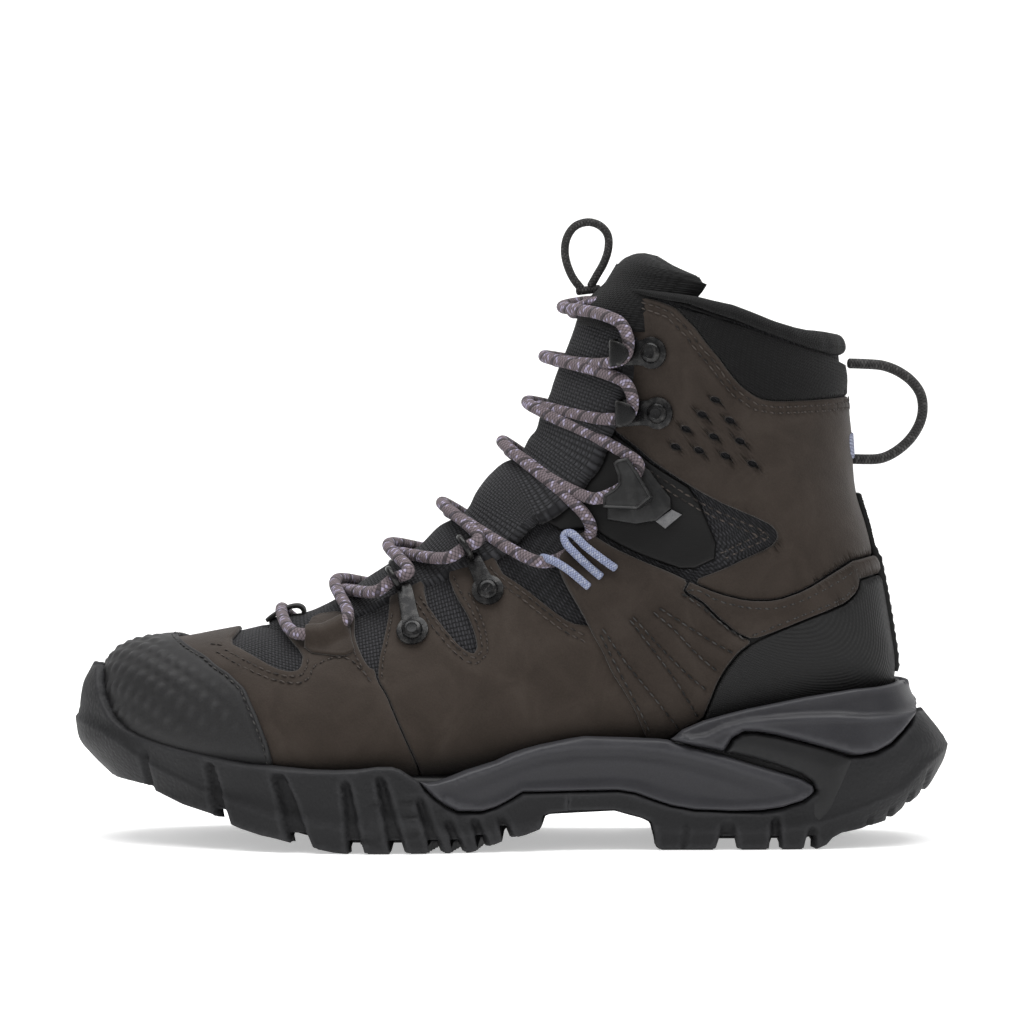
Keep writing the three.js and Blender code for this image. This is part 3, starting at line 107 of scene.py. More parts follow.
def face(u, turn):
    """Points of the boot's face, in millimetres."""
    q = section(u)
    c, s = np.cos(turn), np.sin(turn)
    power = np.where(c >= 0, 2 / q[..., 6], 2 / q[..., 7])
    part = np.abs(c) ** power
    level = q[..., 8]
    up = np.where(c >= 0, level + (1 - level) * part, level * (1 - part))
    wide = q[..., 4] * np.abs(s) ** power * np.sign(s)
    return np.stack([q[..., 0] + up * (q[..., 2] - q[..., 0]), q[..., 5] + wide,
                     q[..., 1] + up * (q[..., 3] - q[..., 1])], -1)


def slopes(u, turn):
    """How the face moves with u and with turn."""
    u = np.asarray(u, float)
    turn = np.asarray(turn, float)
    low, high = np.clip(u - 0.02, 0, LAST), np.clip(u + 0.02, 0, LAST)
    along = (face(high, turn) - face(low, turn)) / (high - low)[..., None]
    round_ = (face(u, turn + 0.02) - face(u, turn - 0.02)) / 0.04
    return along, round_


def unit(v):
    return v / np.maximum(np.linalg.norm(v, axis=-1, keepdims=True), 1e-12)


def outward(u, turn):
    """The direction straight out of the face."""
    u = np.asarray(u, float)
    along, round_ = slopes(np.maximum(u, 0.03), turn)
    n = unit(np.cross(along, round_))
    q = section(0.0)
    nose = unit(np.array([-(q[3] - q[1]), 0, q[2] - q[0]]))
    mix = np.clip(u / 0.25, 0, 1)[..., None]
    return unit(mix * n + (1 - mix) * nose)


def on_face(x, z):
    """Where side-view points lie on the face: u, and turn as a positive number."""
    x, z = np.asarray(x, float), np.asarray(z, float)
    low, high = np.zeros(x.shape), np.full(x.shape, float(LAST))
    for _ in range(30):
        mid = (low + high) / 2
        q = section(mid)
        side = (q[..., 2] - q[..., 0]) * (z - q[..., 1]) - (q[..., 3] - q[..., 1]) * (x - q[..., 0])
        high = np.where(side > 0, mid, high)
        low = np.where(side > 0, low, mid)
    q = section(low)
    dx, dz = q[..., 2] - q[..., 0], q[..., 3] - q[..., 1]
    s = np.clip(((x - q[..., 0]) * dx + (z - q[..., 1]) * dz) / (dx * dx + dz * dz), 0, 1)
    m = q[..., 8]
    upper = np.clip((s - m) / (1 - m), 0, 1) ** (q[..., 6] / 2)
    lower = -np.clip((m - s) / m, 0, 1) ** (q[..., 7] / 2)
    return low, np.arccos(np.where(s >= m, upper, lower))


def at(x, z, side, out):
    """A point above a side-view place: side is -1 on the outer side and 1 on the inner side."""
    u, turn = on_face(x, z)
    return face(u, turn * side) + outward(u, turn * side) * np.asarray(out, float)[..., None]


table_u = np.linspace(0, LAST, 400)
ring = np.linspace(-math.pi, math.pi, 65)
rows = np.array([face(np.full(65, u), ring) for u in table_u])
girth = np.linalg.norm(np.diff(rows, axis=1), axis=2).sum(1)
steps = np.linalg.norm(np.diff(rows, axis=0), axis=2).mean(1)
length_at = np.concatenate([[0], np.cumsum(steps)])
print("girth at the ball", round(float(girth[110])), "mm, at the collar", round(float(girth[360])), "mm")


class Last:
    """The upper's face, with what a panel asks of the surface that it lies on."""
    point = staticmethod(face)
    normal = staticmethod(outward)
    slopes = staticmethod(slopes)

    @staticmethod
    def flat(u, turn):
        return np.stack([np.interp(u, table_u, length_at), turn * np.interp(u, table_u, girth) / 6.283], -1)

# %% [markdown]
# ## Making a panel
# A boot's panel is cut from a flat hide along an outline, and its edges roll down a little where they are cut.
# The script takes the outline as drawn in the side view, lays it on the last, fills it with triangles and lifts
# it by the leather's thickness. Close to the edge the lift follows a quarter round, so that light catches the
# edge as on real leather. A boolean cut would give sharp, stepped edges, so this is done with triangles instead.

# %% Lines on the last
def densify(points, step=0.8):
    """A line with points about step apart."""
    p = np.asarray(points, float)
    out = []
    for a, b in zip(p[:-1], p[1:]):
        n = max(1, int(np.ceil(np.linalg.norm(b - a) / step)))
        out.append(a + (b - a) * (np.arange(n) / n)[:, None])
    out.append(p[-1:])
    return np.concatenate(out)


def rounded(points, closed=True, times=2):
    """Cuts the corners of a line, so that it runs smoothly."""
    p = np.asarray(points, float)
    for _ in range(times):
        q = np.roll(p, -1, 0) if closed else p[1:]
        r = p if closed else p[:-1]
        cut = np.stack([0.8 * r + 0.2 * q, 0.2 * r + 0.8 * q], 1).reshape(-1, 2)
        p = cut if closed else np.concatenate([p[:1], cut, p[-1:]])
    return p


def beside(points, distance):
    """A side-view line moved to its left by a distance."""
    p = densify(points, 1.5)
    d = np.gradient(p, axis=0)
    d = d / np.maximum(np.linalg.norm(d, axis=1, keepdims=True), 1e-9)
    return p + np.stack([-d[:, 1], d[:, 0]], -1) * distance


def side_line(points, side=-1, step=0.8):
    """A side-view line laid on one side of the last: pairs of u and turn."""
    p = densify(points, step)
    u, turn = on_face(p[:, 0], p[:, 1])
    return np.stack([u, turn * side], -1)


def side_loop(points, side=-1, step=0.8, smooth=1):
    """A closed side-view outline on one side of the last."""
    p = rounded(points, True, smooth) if smooth else np.asarray(points, float)
    return side_line(np.concatenate([p, p[:1]]), side, step)[:-1]


def inside(points, loops):
    """Which points lie inside the loops, with holes left out."""
    hit = np.zeros(len(points), bool)
    for loop in loops:
        a, b = loop, np.roll(loop, -1, 0)
        gap = b[:, 1] - a[:, 1]
        gap = np.where(np.abs(gap) < 1e-12, 1e-12, gap)
        for start in range(0, len(points), 3000):
            p = points[start:start + 3000]
            y = p[:, 1:2]
            over = (a[None, :, 1] > y) != (b[None, :, 1] > y)
            cross = a[None, :, 0] + (y - a[None, :, 1]) / gap * (b - a)[None, :, 0]
            hit[start:start + 3000] ^= (np.sum(over & (p[:, 0:1] < cross), 1) % 2).astype(bool)
    return hit


def tree_of(points):
    tree = kdtree.KDTree(len(points))
    for i, p in enumerate(points):
        tree.insert(p, i)
    tree.balance()
    return tree


def nearest(tree, points):
    """Distance from each point to the nearest one in the tree, and which one that is."""
    found = [tree.find(p) for p in points]
    return np.array([f[2] for f in found]), np.array([f[1] for f in found])

# %% Panels
root = bpy.context.scene.collection
pieces = {}


def make_object(name, points, faces, material, sheet=None):
    """A mesh object from points in millimetres. sheet holds flat places for a weave, in millimetres."""
    mesh = bpy.data.meshes.new(name)
    mesh.from_pydata(((np.asarray(points) + MOVE) / 1000).tolist(), [], [list(map(int, f)) for f in faces])
    mesh.polygons.foreach_set("use_smooth", [True] * len(mesh.polygons))
    mesh.materials.append(material)
    if sheet is not None:
        layer = mesh.uv_layers.new(name="UVMap")
        index = np.empty(len(mesh.loops), int)
        mesh.loops.foreach_get("vertex_index", index)
        layer.data.foreach_set("uv", (np.asarray(sheet)[index] / 1000).ravel())
    mesh.update()
    obj = bpy.data.objects.new(name, mesh)
    root.objects.link(obj)
    return obj


def merged(obj, distance=2e-6):
    """Joins points that lie on each other, such as where the two sides of the toe meet."""
    bm = bmesh.new()
    bm.from_mesh(obj.data)
    bmesh.ops.remove_doubles(bm, verts=bm.verts, dist=distance)
    bmesh.ops.dissolve_degenerate(bm, edges=bm.edges, dist=1e-7)
    bm.to_mesh(obj.data)
    bm.free()
    return obj


def face_out(obj):
    """Turns the faces of a closed form outwards."""
    bm = bmesh.new()
    bm.from_mesh(obj.data)
    bmesh.ops.recalc_face_normals(bm, faces=bm.faces)
    bm.to_mesh(obj.data)
    bm.free()


def spread(surface, loops, spacing):
    """Points over the inside of the loops, about spacing apart, in a brick pattern."""
    every = np.concatenate(loops)
    (lo_a, lo_b), (hi_a, hi_b) = every.min(0), every.max(0)
    fine = np.linspace(lo_a, hi_a, 500)
    run = np.zeros(499)
    for b in (lo_b, (lo_b + hi_b) / 2, hi_b):
        run = np.maximum(run, np.linalg.norm(np.diff(surface.point(fine, np.full(500, b)), axis=0), axis=1))
    run = np.concatenate([[0], np.cumsum(run)])
    count = max(3, int(run[-1] / spacing))
    dense = np.linspace(lo_b, hi_b, 400)
    found = []
    for i, a in enumerate(np.interp(np.linspace(0, run[-1], count), run, fine)):
        arc = np.linalg.norm(np.diff(surface.point(np.full(400, a), dense), axis=0), axis=1)
        arc = np.concatenate([[0], np.cumsum(arc)])
        n = max(3, int(arc[-1] / spacing))
        found.append(np.stack([np.full(n, a), np.interp((np.arange(n) + 0.5 * (i % 2)) / n * arc[-1], arc, dense)], -1))
    return np.concatenate(found)


def inset(surface, loop, distance):
    """A loop moved over its surface by a distance in millimetres."""
    p = surface.point(loop[:, 0], loop[:, 1])
    tangent = unit(np.roll(p, -1, 0) - np.roll(p, 1, 0))
    along, round_ = surface.slopes(loop[:, 0], loop[:, 1])
    side = np.cross(unit(np.cross(along, round_)), tangent) * distance
    g11, g12, g22 = (along * along).sum(1), (along * round_).sum(1), (round_ * round_).sum(1)
    r1, r2 = (along * side).sum(1), (round_ * side).sum(1)
    det = np.maximum(g11 * g22 - g12 * g12, 1e-9)
    return loop + np.stack([(g22 * r1 - g12 * r2) / det, (g11 * r2 - g12 * r1) / det], -1)


def panel(name, cover, material, low, high, cuts=(), roll=1.0, spacing=1.7, seam=None, relief=None,
          surface=Last, mirror=True):
    """A panel between two heights over its surface. cover is its outline and holes, cuts are taken away from
    it, and seam says which places are not a real edge. Its edges roll over and its back is closed. With
    mirror it is made for the inner side as well."""
    cover, cuts = [np.asarray(c, float) for c in cover], [np.asarray(c, float) for c in cuts]
    loops = cover + cuts
    planes = [surface.flat(l[:, 0], l[:, 1]) for l in loops]

    def kept(plane):
        good = inside(plane, planes[:len(cover)])
        for cut in planes[len(cover):]:
            good &= ~inside(plane, [cut])
        return good

    edge_a, edge_b = [], []
    for k, loop in enumerate(loops):
        p = surface.point(loop[:, 0], loop[:, 1])
        q = np.roll(p, -1, 0)
        mid = (planes[k] + np.roll(planes[k], -1, 0)) / 2
        if k < len(cover):
            good = np.ones(len(loop), bool)
            for cut in planes[len(cover):]:
                good &= ~inside(mid, [cut])
        else:
            good = inside(mid, planes[:len(cover)])
        if seam is not None:
            middle = (loop + np.roll(loop, -1, 0)) / 2
            good &= ~seam(middle[:, 0], middle[:, 1])
        edge_a.append(p[good])
        edge_b.append(q[good])
    edge_a, edge_b = np.concatenate(edge_a), np.concatenate(edge_b)
    rim = tree_of((edge_a + edge_b) / 2)

    def far_from_rim(points):
        far = np.empty(len(points))
        for k, point in enumerate(points):
            near = [i for _, i, _ in rim.find_n(point, 4)]
            a, d = edge_a[near], edge_b[near] - edge_a[near]
            t = np.clip(((point - a) * d).sum(1) / np.maximum((d * d).sum(1), 1e-12), 0, 1)
            far[k] = math.sqrt((((point - a) - t[:, None] * d) ** 2).sum(1).min())
        return far

    close = []
    for loop in loops:
        for part in (0.12, 0.36, 0.7, 1.15):
            for way in (-1, 1):
                moved = inset(surface, loop, roll * part * way)
                moved = moved[kept(surface.flat(moved[:, 0], moved[:, 1]))]
                if len(moved):
                    far = far_from_rim(surface.point(moved[:, 0], moved[:, 1]))
                    close.append(moved[far > roll * part * 0.85])
    body = spread(surface, cover, spacing)
    body = body[kept(surface.flat(body[:, 0], body[:, 1]))]
    body = body[far_from_rim(surface.point(body[:, 0], body[:, 1])) > roll * 1.15 + 0.35 * spacing]
    every, edges, start = [], [], 0
    for loop in loops:
        every.append(loop)
        edges += [(start + i, start + (i + 1) % len(loop)) for i in range(len(loop))]
        start += len(loop)
    every = np.concatenate(every + close + [body])
    plane = surface.flat(every[:, 0], every[:, 1])
    out = geometry.delaunay_2d_cdt([Vector(p) for p in plane], edges, [], 0, 1e-5, True)
    made = np.array([tuple(v) for v in out[0]])
    pts = np.array([every[o[0]] if o else (np.nan, np.nan) for o in out[3]])
    lost = np.flatnonzero(np.isnan(pts[:, 0]))
    for i in lost:
        near = np.argsort(((plane - made[i]) ** 2).sum(1))[:3]
        pts[i] = every[near[0]]
        local = plane[near]
        grid = np.column_stack([local, np.ones(3)])
        if abs(np.linalg.det(grid)) > 1e-6:
            pts[i] = np.linalg.solve(grid, every[near]).T @ [made[i][0], made[i][1], 1]
    tri = np.array([f for f in out[2] if len(f) == 3])
    tri = tri[kept(made[tri].mean(1))]
    used, tri = np.unique(tri, return_inverse=True)
    pts, tri = pts[used], tri.reshape(-1, 3)
    made = made[used]
    objects = []
    for side in ((1, -1) if mirror else (1,)):
        a, b = pts[:, 0], pts[:, 1] * side
        base = surface.point(a, b)
        out_way = surface.normal(a, b)
        if side == 1:
            far = far_from_rim(base)
            edges = np.sort(np.concatenate([tri[:, [0, 1]], tri[:, [1, 2]], tri[:, [2, 0]]]), 1)
            pairs, count = np.unique(edges, axis=0, return_counts=True)
            border = np.unique(pairs[count == 1])
            snug = np.zeros(len(far), bool)
            snug[border] = True
            far[snug & (far < 0.25)] = 0
            t = np.clip(far / roll, 0, 1)
            lift = low + (high - low) * np.sqrt(1 - (1 - t) ** 2)
            if relief is not None:
                lift = lift + relief(base, far, pts) * t
        top = base + out_way * np.asarray(lift)[:, None]
        back = base + out_way * low
        corner = top[tri]
        up = np.cross(corner[:, 1] - corner[:, 0], corner[:, 2] - corner[:, 0])
        flip = np.sum(up * out_way[tri].sum(1), 1) < 0
        faces = np.where(flip[:, None], tri[:, ::-1], tri)
        word = name + ("_outer" if side == 1 else "_inner") if mirror else name
        sheet = made * [1, side]
        obj = make_object(word, np.concatenate([top, back]), np.concatenate([faces, faces[:, ::-1] + len(top)]),
                          material, np.concatenate([sheet, sheet]))
        merged(obj)
        objects.append(obj)
        pieces[word] = obj
    print(name, len(objects), "piece(s) of", len(objects[0].data.polygons), "faces")
    return objects

# %% [markdown]
# ## Finishes
# Every finish is a small tree of nodes with real sizes in it: a knit has yarns about a millimetre across, nubuck
# a nap of a fraction of a millimetre with cloudy patches where it was brushed. An image texture could carry the
# same marks, but it would be tied to one size and one light. Here each tree reads places in metres, so a
# millimetre of weave stays a millimetre on every piece.

# %% A kit for node trees
MM = 1000.0


class Tree:
    """Adds nodes to a material in short lines."""

    def __init__(self, name, roughness=0.6, **sockets):
        self.mat = bpy.data.materials.new(name)
        self.mat.use_nodes = True
        self.nt = self.mat.node_tree
        self.shader = self.nt.nodes["Principled BSDF"]
        self.shader.inputs["Roughness"].default_value = roughness
        for key, value in sockets.items():
            self.shader.inputs[key.replace("_", " ")].default_value = value

    def add(self, kind, settings=None, **inputs):
        node = self.nt.nodes.new(kind)
        for key, value in (settings or {}).items():
            setattr(node, key, value)
        for key, value in inputs.items():
            self.feed(node.inputs[key.replace("_", " ")], value)
        return node

    def feed(self, socket, value):
        if isinstance(value, bpy.types.NodeSocket):
            self.nt.links.new(value, socket)
        else:
            socket.default_value = value

    def math(self, operation, a, b=0.0, c=0.0):
        node = self.nt.nodes.new("ShaderNodeMath")
        node.operation = operation
        for socket, value in zip(node.inputs, (a, b, c)):
            self.feed(socket, value)
        return node.outputs[0]

    def place(self, source="Object", turn=(0, 0, 0), scale=(1, 1, 1)):
        at = self.nt.nodes.new("ShaderNodeTexCoord").outputs[source]
        node = self.nt.nodes.new("ShaderNodeMapping")
        self.nt.links.new(at, node.inputs["Vector"])
        node.inputs["Rotation"].default_value = turn
        node.inputs["Scale"].default_value = scale
        return node.outputs[0]

    def noise(self, at, size, detail=3.0, rough=0.55, dist=0.0):
        return self.add("ShaderNodeTexNoise", Vector=at, Scale=MM / size, Detail=detail, Roughness=rough,
                        Distortion=dist).outputs["Fac"]

    def cells(self, at, size, feature="F1", out="Distance"):
        return self.add("ShaderNodeTexVoronoi", {"feature": feature}, Vector=at, Scale=MM / size).outputs[out]

    def span(self, value, low, high, to_low=0.0, to_high=1.0):
        node = self.nt.nodes.new("ShaderNodeMapRange")
        for key, v in (("Value", value), ("From Min", low), ("From Max", high), ("To Min", to_low),
                       ("To Max", to_high)):
            self.feed(node.inputs[key], v)
        return node.outputs[0]

    def ramp(self, value, stops):
        node = self.nt.nodes.new("ShaderNodeValToRGB")
        band = node.color_ramp
        while len(band.elements) < len(stops):
            band.elements.new(0.5)
        for element, (place, colour) in zip(band.elements, stops):
            element.position = place
            element.color = (*colour, 1)
        self.feed(node.inputs["Fac"], value)
        return node.outputs["Color"]

    def mix(self, fac, a, b, way="MIX"):
        node = self.nt.nodes.new("ShaderNodeMix")
        node.data_type = "RGBA"
        node.blend_type = way
        self.feed(node.inputs[0], fac)
        for socket, value in ((node.inputs[6], a), (node.inputs[7], b)):
            self.feed(socket, (*value, 1) if isinstance(value, tuple) and len(value) == 3 else value)
        return node.outputs[2]

    def bump(self, height, depth, before=None):
        """depth is the height of the relief in millimetres."""
        node = self.add("ShaderNodeBump", Height=height, Distance=depth / MM, Strength=1.0)
        if before is not None:
            self.nt.links.new(before, node.inputs["Normal"])
        return node.outputs["Normal"]

    def done(self, colour, rough=None, normal=None):
        self.feed(self.shader.inputs["Base Color"], colour)
        if rough is not None:
            self.feed(self.shader.inputs["Roughness"], rough)
        if normal is not None:
            self.feed(self.shader.inputs["Normal"], normal)
        return self.mat

# %% Leather
def nubuck(name, base, worn):
    t = Tree(name, 0.8, Sheen_Weight=0.12, Sheen_Roughness=0.5, Specular_IOR_Level=0.1)
    at = t.place()
    cloud = t.noise(at, 17, 4, 0.6, 0.6)
    nap = t.noise(at, 0.55, 5, 0.7)
    grain = t.cells(at, 0.9)
    dark = tuple(c * 0.72 for c in base)
    colour = t.ramp(cloud, [(0.25, dark), (0.5, base), (0.78, worn)])
    colour = t.mix(0.3, colour, t.ramp(nap, [(0.3, tuple(c * 0.55 for c in base)), (0.7, worn)]))
    normal = t.bump(grain, 0.05)
    normal = t.bump(nap, 0.09, normal)
    return t.done(colour, t.span(cloud, 0.3, 0.7, 0.92, 0.74), normal)


LEATHER_BROWN = nubuck("Nubuck_Brown", (0.0327, 0.0249, 0.0201), (0.0468, 0.0366, 0.03))
LEATHER_DARK = nubuck("Nubuck_Shadow", (0.03, 0.0228, 0.0186), (0.042, 0.033, 0.027))

# %% Knit, film, webbing and cords
def knit(name, base, pale, pitch, depth, gloss=0.75):
    """Plain weave of thick yarn. Two runs of yarn pass over and under each other by turns."""
    t = Tree(name, gloss, Sheen_Weight=0.05, Specular_IOR_Level=0.12)
    at = t.place("UV")
    wobble = t.noise(t.place(), 3.5, 2)
    parts = t.nt.nodes.new("ShaderNodeSeparateXYZ")
    t.nt.links.new(at, parts.inputs[0])
    turn = math.pi * MM / pitch
    a = t.math("ADD", t.math("MULTIPLY", parts.outputs[0], turn), t.math("MULTIPLY", wobble, 0.9))
    b = t.math("ADD", t.math("MULTIPLY", parts.outputs[1], turn), t.math("MULTIPLY", wobble, 0.7))
    wave_a, wave_b = t.math("SINE", a), t.math("SINE", b)
    over = t.math("GREATER_THAN", t.math("MULTIPLY", wave_a, wave_b), 0.0)
    bulge_a = t.math("POWER", t.math("ABSOLUTE", wave_a), 0.6)
    bulge_b = t.math("POWER", t.math("ABSOLUTE", wave_b), 0.6)
    low = t.math("MULTIPLY", bulge_a, t.math("POWER", bulge_b, 0.35))
    high = t.math("MULTIPLY", bulge_b, t.math("POWER", bulge_a, 0.35))
    height = t.math("ADD", t.math("MULTIPLY", over, low),
                    t.math("MULTIPLY", t.math("SUBTRACT", 1.0, over), t.math("MULTIPLY", high, 0.8)))
    fibre = t.noise(t.place(), 0.3, 3)
    # The colour follows the weave's height: the low places between the yarns are painted shade, a quarter of the base,
    # and the yarn crowns carry a painted highlight in the pale colour.
    colour = t.ramp(height, [(0.15, tuple(c * 0.25 for c in base)), (0.6, base), (0.95, pale)])
    colour = t.mix(0.25, colour, t.ramp(fibre, [(0.3, base), (0.8, pale)]))
    normal = t.bump(height, depth)
    return t.done(colour, t.span(fibre, 0.3, 0.7, gloss - 0.1, gloss + 0.15), t.bump(fibre, 0.05, normal))


MESH_COARSE = knit("Knit_Coarse", (0.0144, 0.0144, 0.01584), (0.0432, 0.0432, 0.04752), 1.25, 0.55)
MESH_FINE = knit("Knit_Fine", (0.0042, 0.004116, 0.004284), (0.01092, 0.01092, 0.01134), 0.85, 0.3)
WEBBING = knit("Black_Webbing", (0.0132, 0.0126, 0.0126), (0.033, 0.0318, 0.0312), 0.8, 0.3)


def braid(name, dark, base, fleck, across, pitch, depth, tracer=None):
    """Braid on a round cord: strands cross in two slants. The cord's own places give along and round."""
    t = Tree(name, 0.7, Specular_IOR_Level=0.15, Sheen_Weight=0.06)
    at = t.place("UV")
    parts = t.nt.nodes.new("ShaderNodeSeparateXYZ")
    t.nt.links.new(at, parts.inputs[0])
    run = t.math("MULTIPLY", parts.outputs[0], MM / pitch)
    around = t.math("MULTIPLY", parts.outputs[1], across)
    left, right = t.math("ADD", run, around), t.math("SUBTRACT", run, around)
    wave_l = t.math("SINE", t.math("MULTIPLY", left, math.pi))
    wave_r = t.math("SINE", t.math("MULTIPLY", right, math.pi))
    height = t.math("POWER", t.math("ABSOLUTE", t.math("MULTIPLY", wave_l, wave_r)), 0.45)
    strand = t.add("ShaderNodeTexWhiteNoise", {"noise_dimensions": "2D"},
                   Vector=t.add("ShaderNodeCombineXYZ", X=t.math("FLOOR", left), Y=t.math("FLOOR", right)).outputs[0])
    fibre = t.noise(t.place(), 0.25, 3)
    # The colour follows the braid's height: the valleys between the strands are painted shade in the dark colour, and
    # the strand crowns a painted highlight at 1.35 times the base. The flecks and the tracer are the cord's own
    # colours.
    colour = t.ramp(height, [(0.12, dark), (0.5, base), (0.95, tuple(c * 1.35 for c in base))])
    pick = t.math("GREATER_THAN", strand.outputs["Value"], 0.80)
    colour = t.mix(t.math("MULTIPLY", pick, height), colour, fleck)
    if tracer is not None:
        line = t.math("GREATER_THAN", t.math("SINE", t.math("MULTIPLY", left, math.pi / 3)), 0.80)
        colour = t.mix(t.math("MULTIPLY", line, 0.85), colour, tracer)
    colour = t.mix(0.15, colour, t.ramp(fibre, [(0.3, dark), (0.8, base)]))
    normal = t.bump(fibre, 0.04, t.bump(height, depth))
    return t.done(colour, t.span(fibre, 0.3, 0.7, 0.6, 0.85), normal)


LACE_BRAID = braid("Lace_Braid", (0.030, 0.025, 0.028), (0.135, 0.108, 0.118), (0.40, 0.36, 0.50), 6.0, 1.15, 0.3,
                   (0.03, 0.026, 0.028))
BLUE_BRAID = braid("Blue_Braid", (0.062, 0.0713, 0.1178), (0.2046, 0.2294, 0.3348),
                   (0.3844, 0.4092, 0.496), 5.0, 0.9, 0.22)
BLACK_BRAID = braid("Black_Braid", (0.006, 0.006, 0.006), (0.030, 0.029, 0.029), (0.075, 0.073, 0.072), 5.0, 1.1, 0.3)


def thread(name, dark, pale):
    t = Tree(name, 0.6, Specular_IOR_Level=0.2)
    at = t.place()
    twist_and_highlight = t.add("ShaderNodeTexWave", {"wave_type": "BANDS", "bands_direction": "DIAGONAL"}, Vector=at, Scale=MM / 3.0,
                  Distortion=2.0, Detail=2.0).outputs["Fac"]
    # The diagonal bands follow the twist of the ply, and their pale parts are painted highlights on the turns of the
    # thread.
    return t.done(t.ramp(twist_and_highlight, [(0.2, dark), (0.8, pale)]), t.span(twist_and_highlight, 0, 1, 0.5, 0.75), t.bump(twist_and_highlight, 0.08))


THREAD_BROWN = thread("Thread_Brown", (0.010, 0.008, 0.007), (0.060, 0.050, 0.044))
THREAD_BLACK = thread("Thread_Black", (0.008, 0.008, 0.008), (0.050, 0.048, 0.046))

# %% Rubber, foam and hardware
def rubber(name, base, pale, rough, grain_size, grain_depth, dust=0.12):
    t = Tree(name, rough, Specular_IOR_Level=0.2)
    at = t.place()
    cloud = t.noise(at, 21, 4, 0.6)
    fine = t.noise(at, 0.6, 4, 0.6)
    grain = t.cells(at, grain_size, "SMOOTH_F1")
    edge = t.add("ShaderNodeNewGeometry").outputs["Pointiness"]
    worn = t.span(edge, 0.505, 0.56, 0.0, 0.6)
    colour = t.ramp(cloud, [(0.25, tuple(c * 0.75 for c in base)), (0.75, base)])
    colour = t.mix(worn, colour, pale)
    colour = t.mix(dust, colour, t.ramp(fine, [(0.35, tuple(c * 0.4 for c in base)), (0.75, pale)]))
    normal = t.bump(fine, 0.05, t.bump(grain, grain_depth))
    return t.done(colour, t.span(cloud, 0.3, 0.7, rough - 0.07, rough + 0.09), normal)


SOLE_RUBBER = rubber("Sole_Rubber", (0.0129, 0.0129, 0.01392), (0.036, 0.036, 0.0384), 0.62, 1.3, 0.22)
CAP_RUBBER = rubber("Cap_Rubber", (0.01767, 0.01736, 0.01798), (0.03844, 0.03844, 0.03968), 0.58, 0.7, 0.03, 0.2)
MIDSOLE_FOAM = rubber("Midsole_Foam", (0.029, 0.02871, 0.03248), (0.05684, 0.05684, 0.06264), 0.42, 0.5, 0.008, 0.10)
WING_RUBBER = rubber("Wing_Rubber", (0.01183, 0.01183, 0.01238), (0.0275, 0.0275, 0.0286), 0.5, 0.6, 0.012, 0.1)


def film(name, base, pale, pitch, depth, rough):
    """Coated fabric: fine diagonal ribs pressed into a thin skin."""
    t = Tree(name, rough, Specular_IOR_Level=0.2)
    at = t.place("UV")
    ribs = t.add("ShaderNodeTexWave", {"wave_type": "BANDS", "bands_direction": "DIAGONAL"}, Vector=at,
                 Scale=MM / pitch / 3.2, Distortion=0.5, Detail=1.0).outputs["Fac"]
    cross = t.add("ShaderNodeTexWave", {"wave_type": "BANDS", "bands_direction": "X"}, Vector=at,
                  Scale=MM / pitch / 4.2, Distortion=0.6, Detail=1.0).outputs["Fac"]
    weave = t.math("MULTIPLY", ribs, t.math("ADD", 0.5, t.math("MULTIPLY", cross, 0.5)))
    cloud = t.noise(t.place(), 14, 3)
    colour = t.mix(0.6, t.ramp(weave, [(0.2, base), (0.9, pale)]), t.ramp(cloud, [(0.3, base), (0.8, pale)]))
    return t.done(colour, t.span(cloud, 0.3, 0.7, rough - 0.06, rough + 0.1), t.bump(weave, depth))


COUNTER_FILM = film("Counter_Film", (0.00825, 0.00815, 0.00825), (0.015, 0.015, 0.01525), 0.95, 0.16, 0.55)
SMOOTH_FILM = film("Smooth_Film", (0.0036, 0.00351, 0.00354), (0.0057, 0.00555, 0.00555), 0.4, 0.02, 0.5)


def coated(name, base, pale, rough, metal):
    t = Tree(name, rough, Metallic=metal, Specular_IOR_Level=0.35)
    at = t.place()
    speck = t.noise(at, 0.35, 4, 0.65)
    rubbed = t.noise(at, 3.0, 4, 0.7)
    edge = t.add("ShaderNodeNewGeometry").outputs["Pointiness"]
    worn = t.math("MULTIPLY", t.span(edge, 0.51, 0.58), t.span(rubbed, 0.45, 0.65))
    colour = t.mix(worn, t.ramp(speck, [(0.3, tuple(c * 0.6 for c in base)), (0.7, base)]), pale)
    return t.done(colour, t.span(speck, 0.3, 0.7, rough - 0.06, rough + 0.1), t.bump(speck, 0.02))


HOOK_PLASTIC = coated("Hook_Plastic", (0.0084, 0.0084, 0.0087), (0.03, 0.03, 0.03), 0.34, 0.0)
BLACK_METAL = coated("Black_Metal", (0.01, 0.01, 0.0105), (0.08, 0.0775, 0.075), 0.26, 0.6)
GREY_TAB = coated("Grey_Tab", (0.13, 0.13, 0.135), (0.2, 0.2, 0.2), 0.5, 0.0)
BOARD = nubuck("Fibre_Board", (0.30, 0.24, 0.16), (0.40, 0.33, 0.24))
STEEL = coated("Spring_Steel", (0.35, 0.36, 0.37), (0.6, 0.6, 0.6), 0.35, 1.0)
BED_FOAM = knit("Footbed_Cloth", (0.024, 0.024, 0.0272), (0.048, 0.048, 0.0528), 1.1, 0.2)
BLUE_TAB = knit("Blue_Tab", (0.216, 0.232, 0.32), (0.368, 0.392, 0.496), 0.7, 0.25)
print(len(bpy.data.materials), "finishes")

# %% [markdown]
# ## Camera, floor and light
# The boot stands level, seen straight from its outer side through a long lens, so the camera is far off and
# narrow. The floor is a pale sweep that turns up behind. Two large soft lights do what a studio tent does.

# %% Camera and studio
def look_at(obj, place, target):
    obj.location = place
    obj.rotation_euler = (Vector(target) - Vector(place)).to_track_quat("-Z", "Y").to_euler()


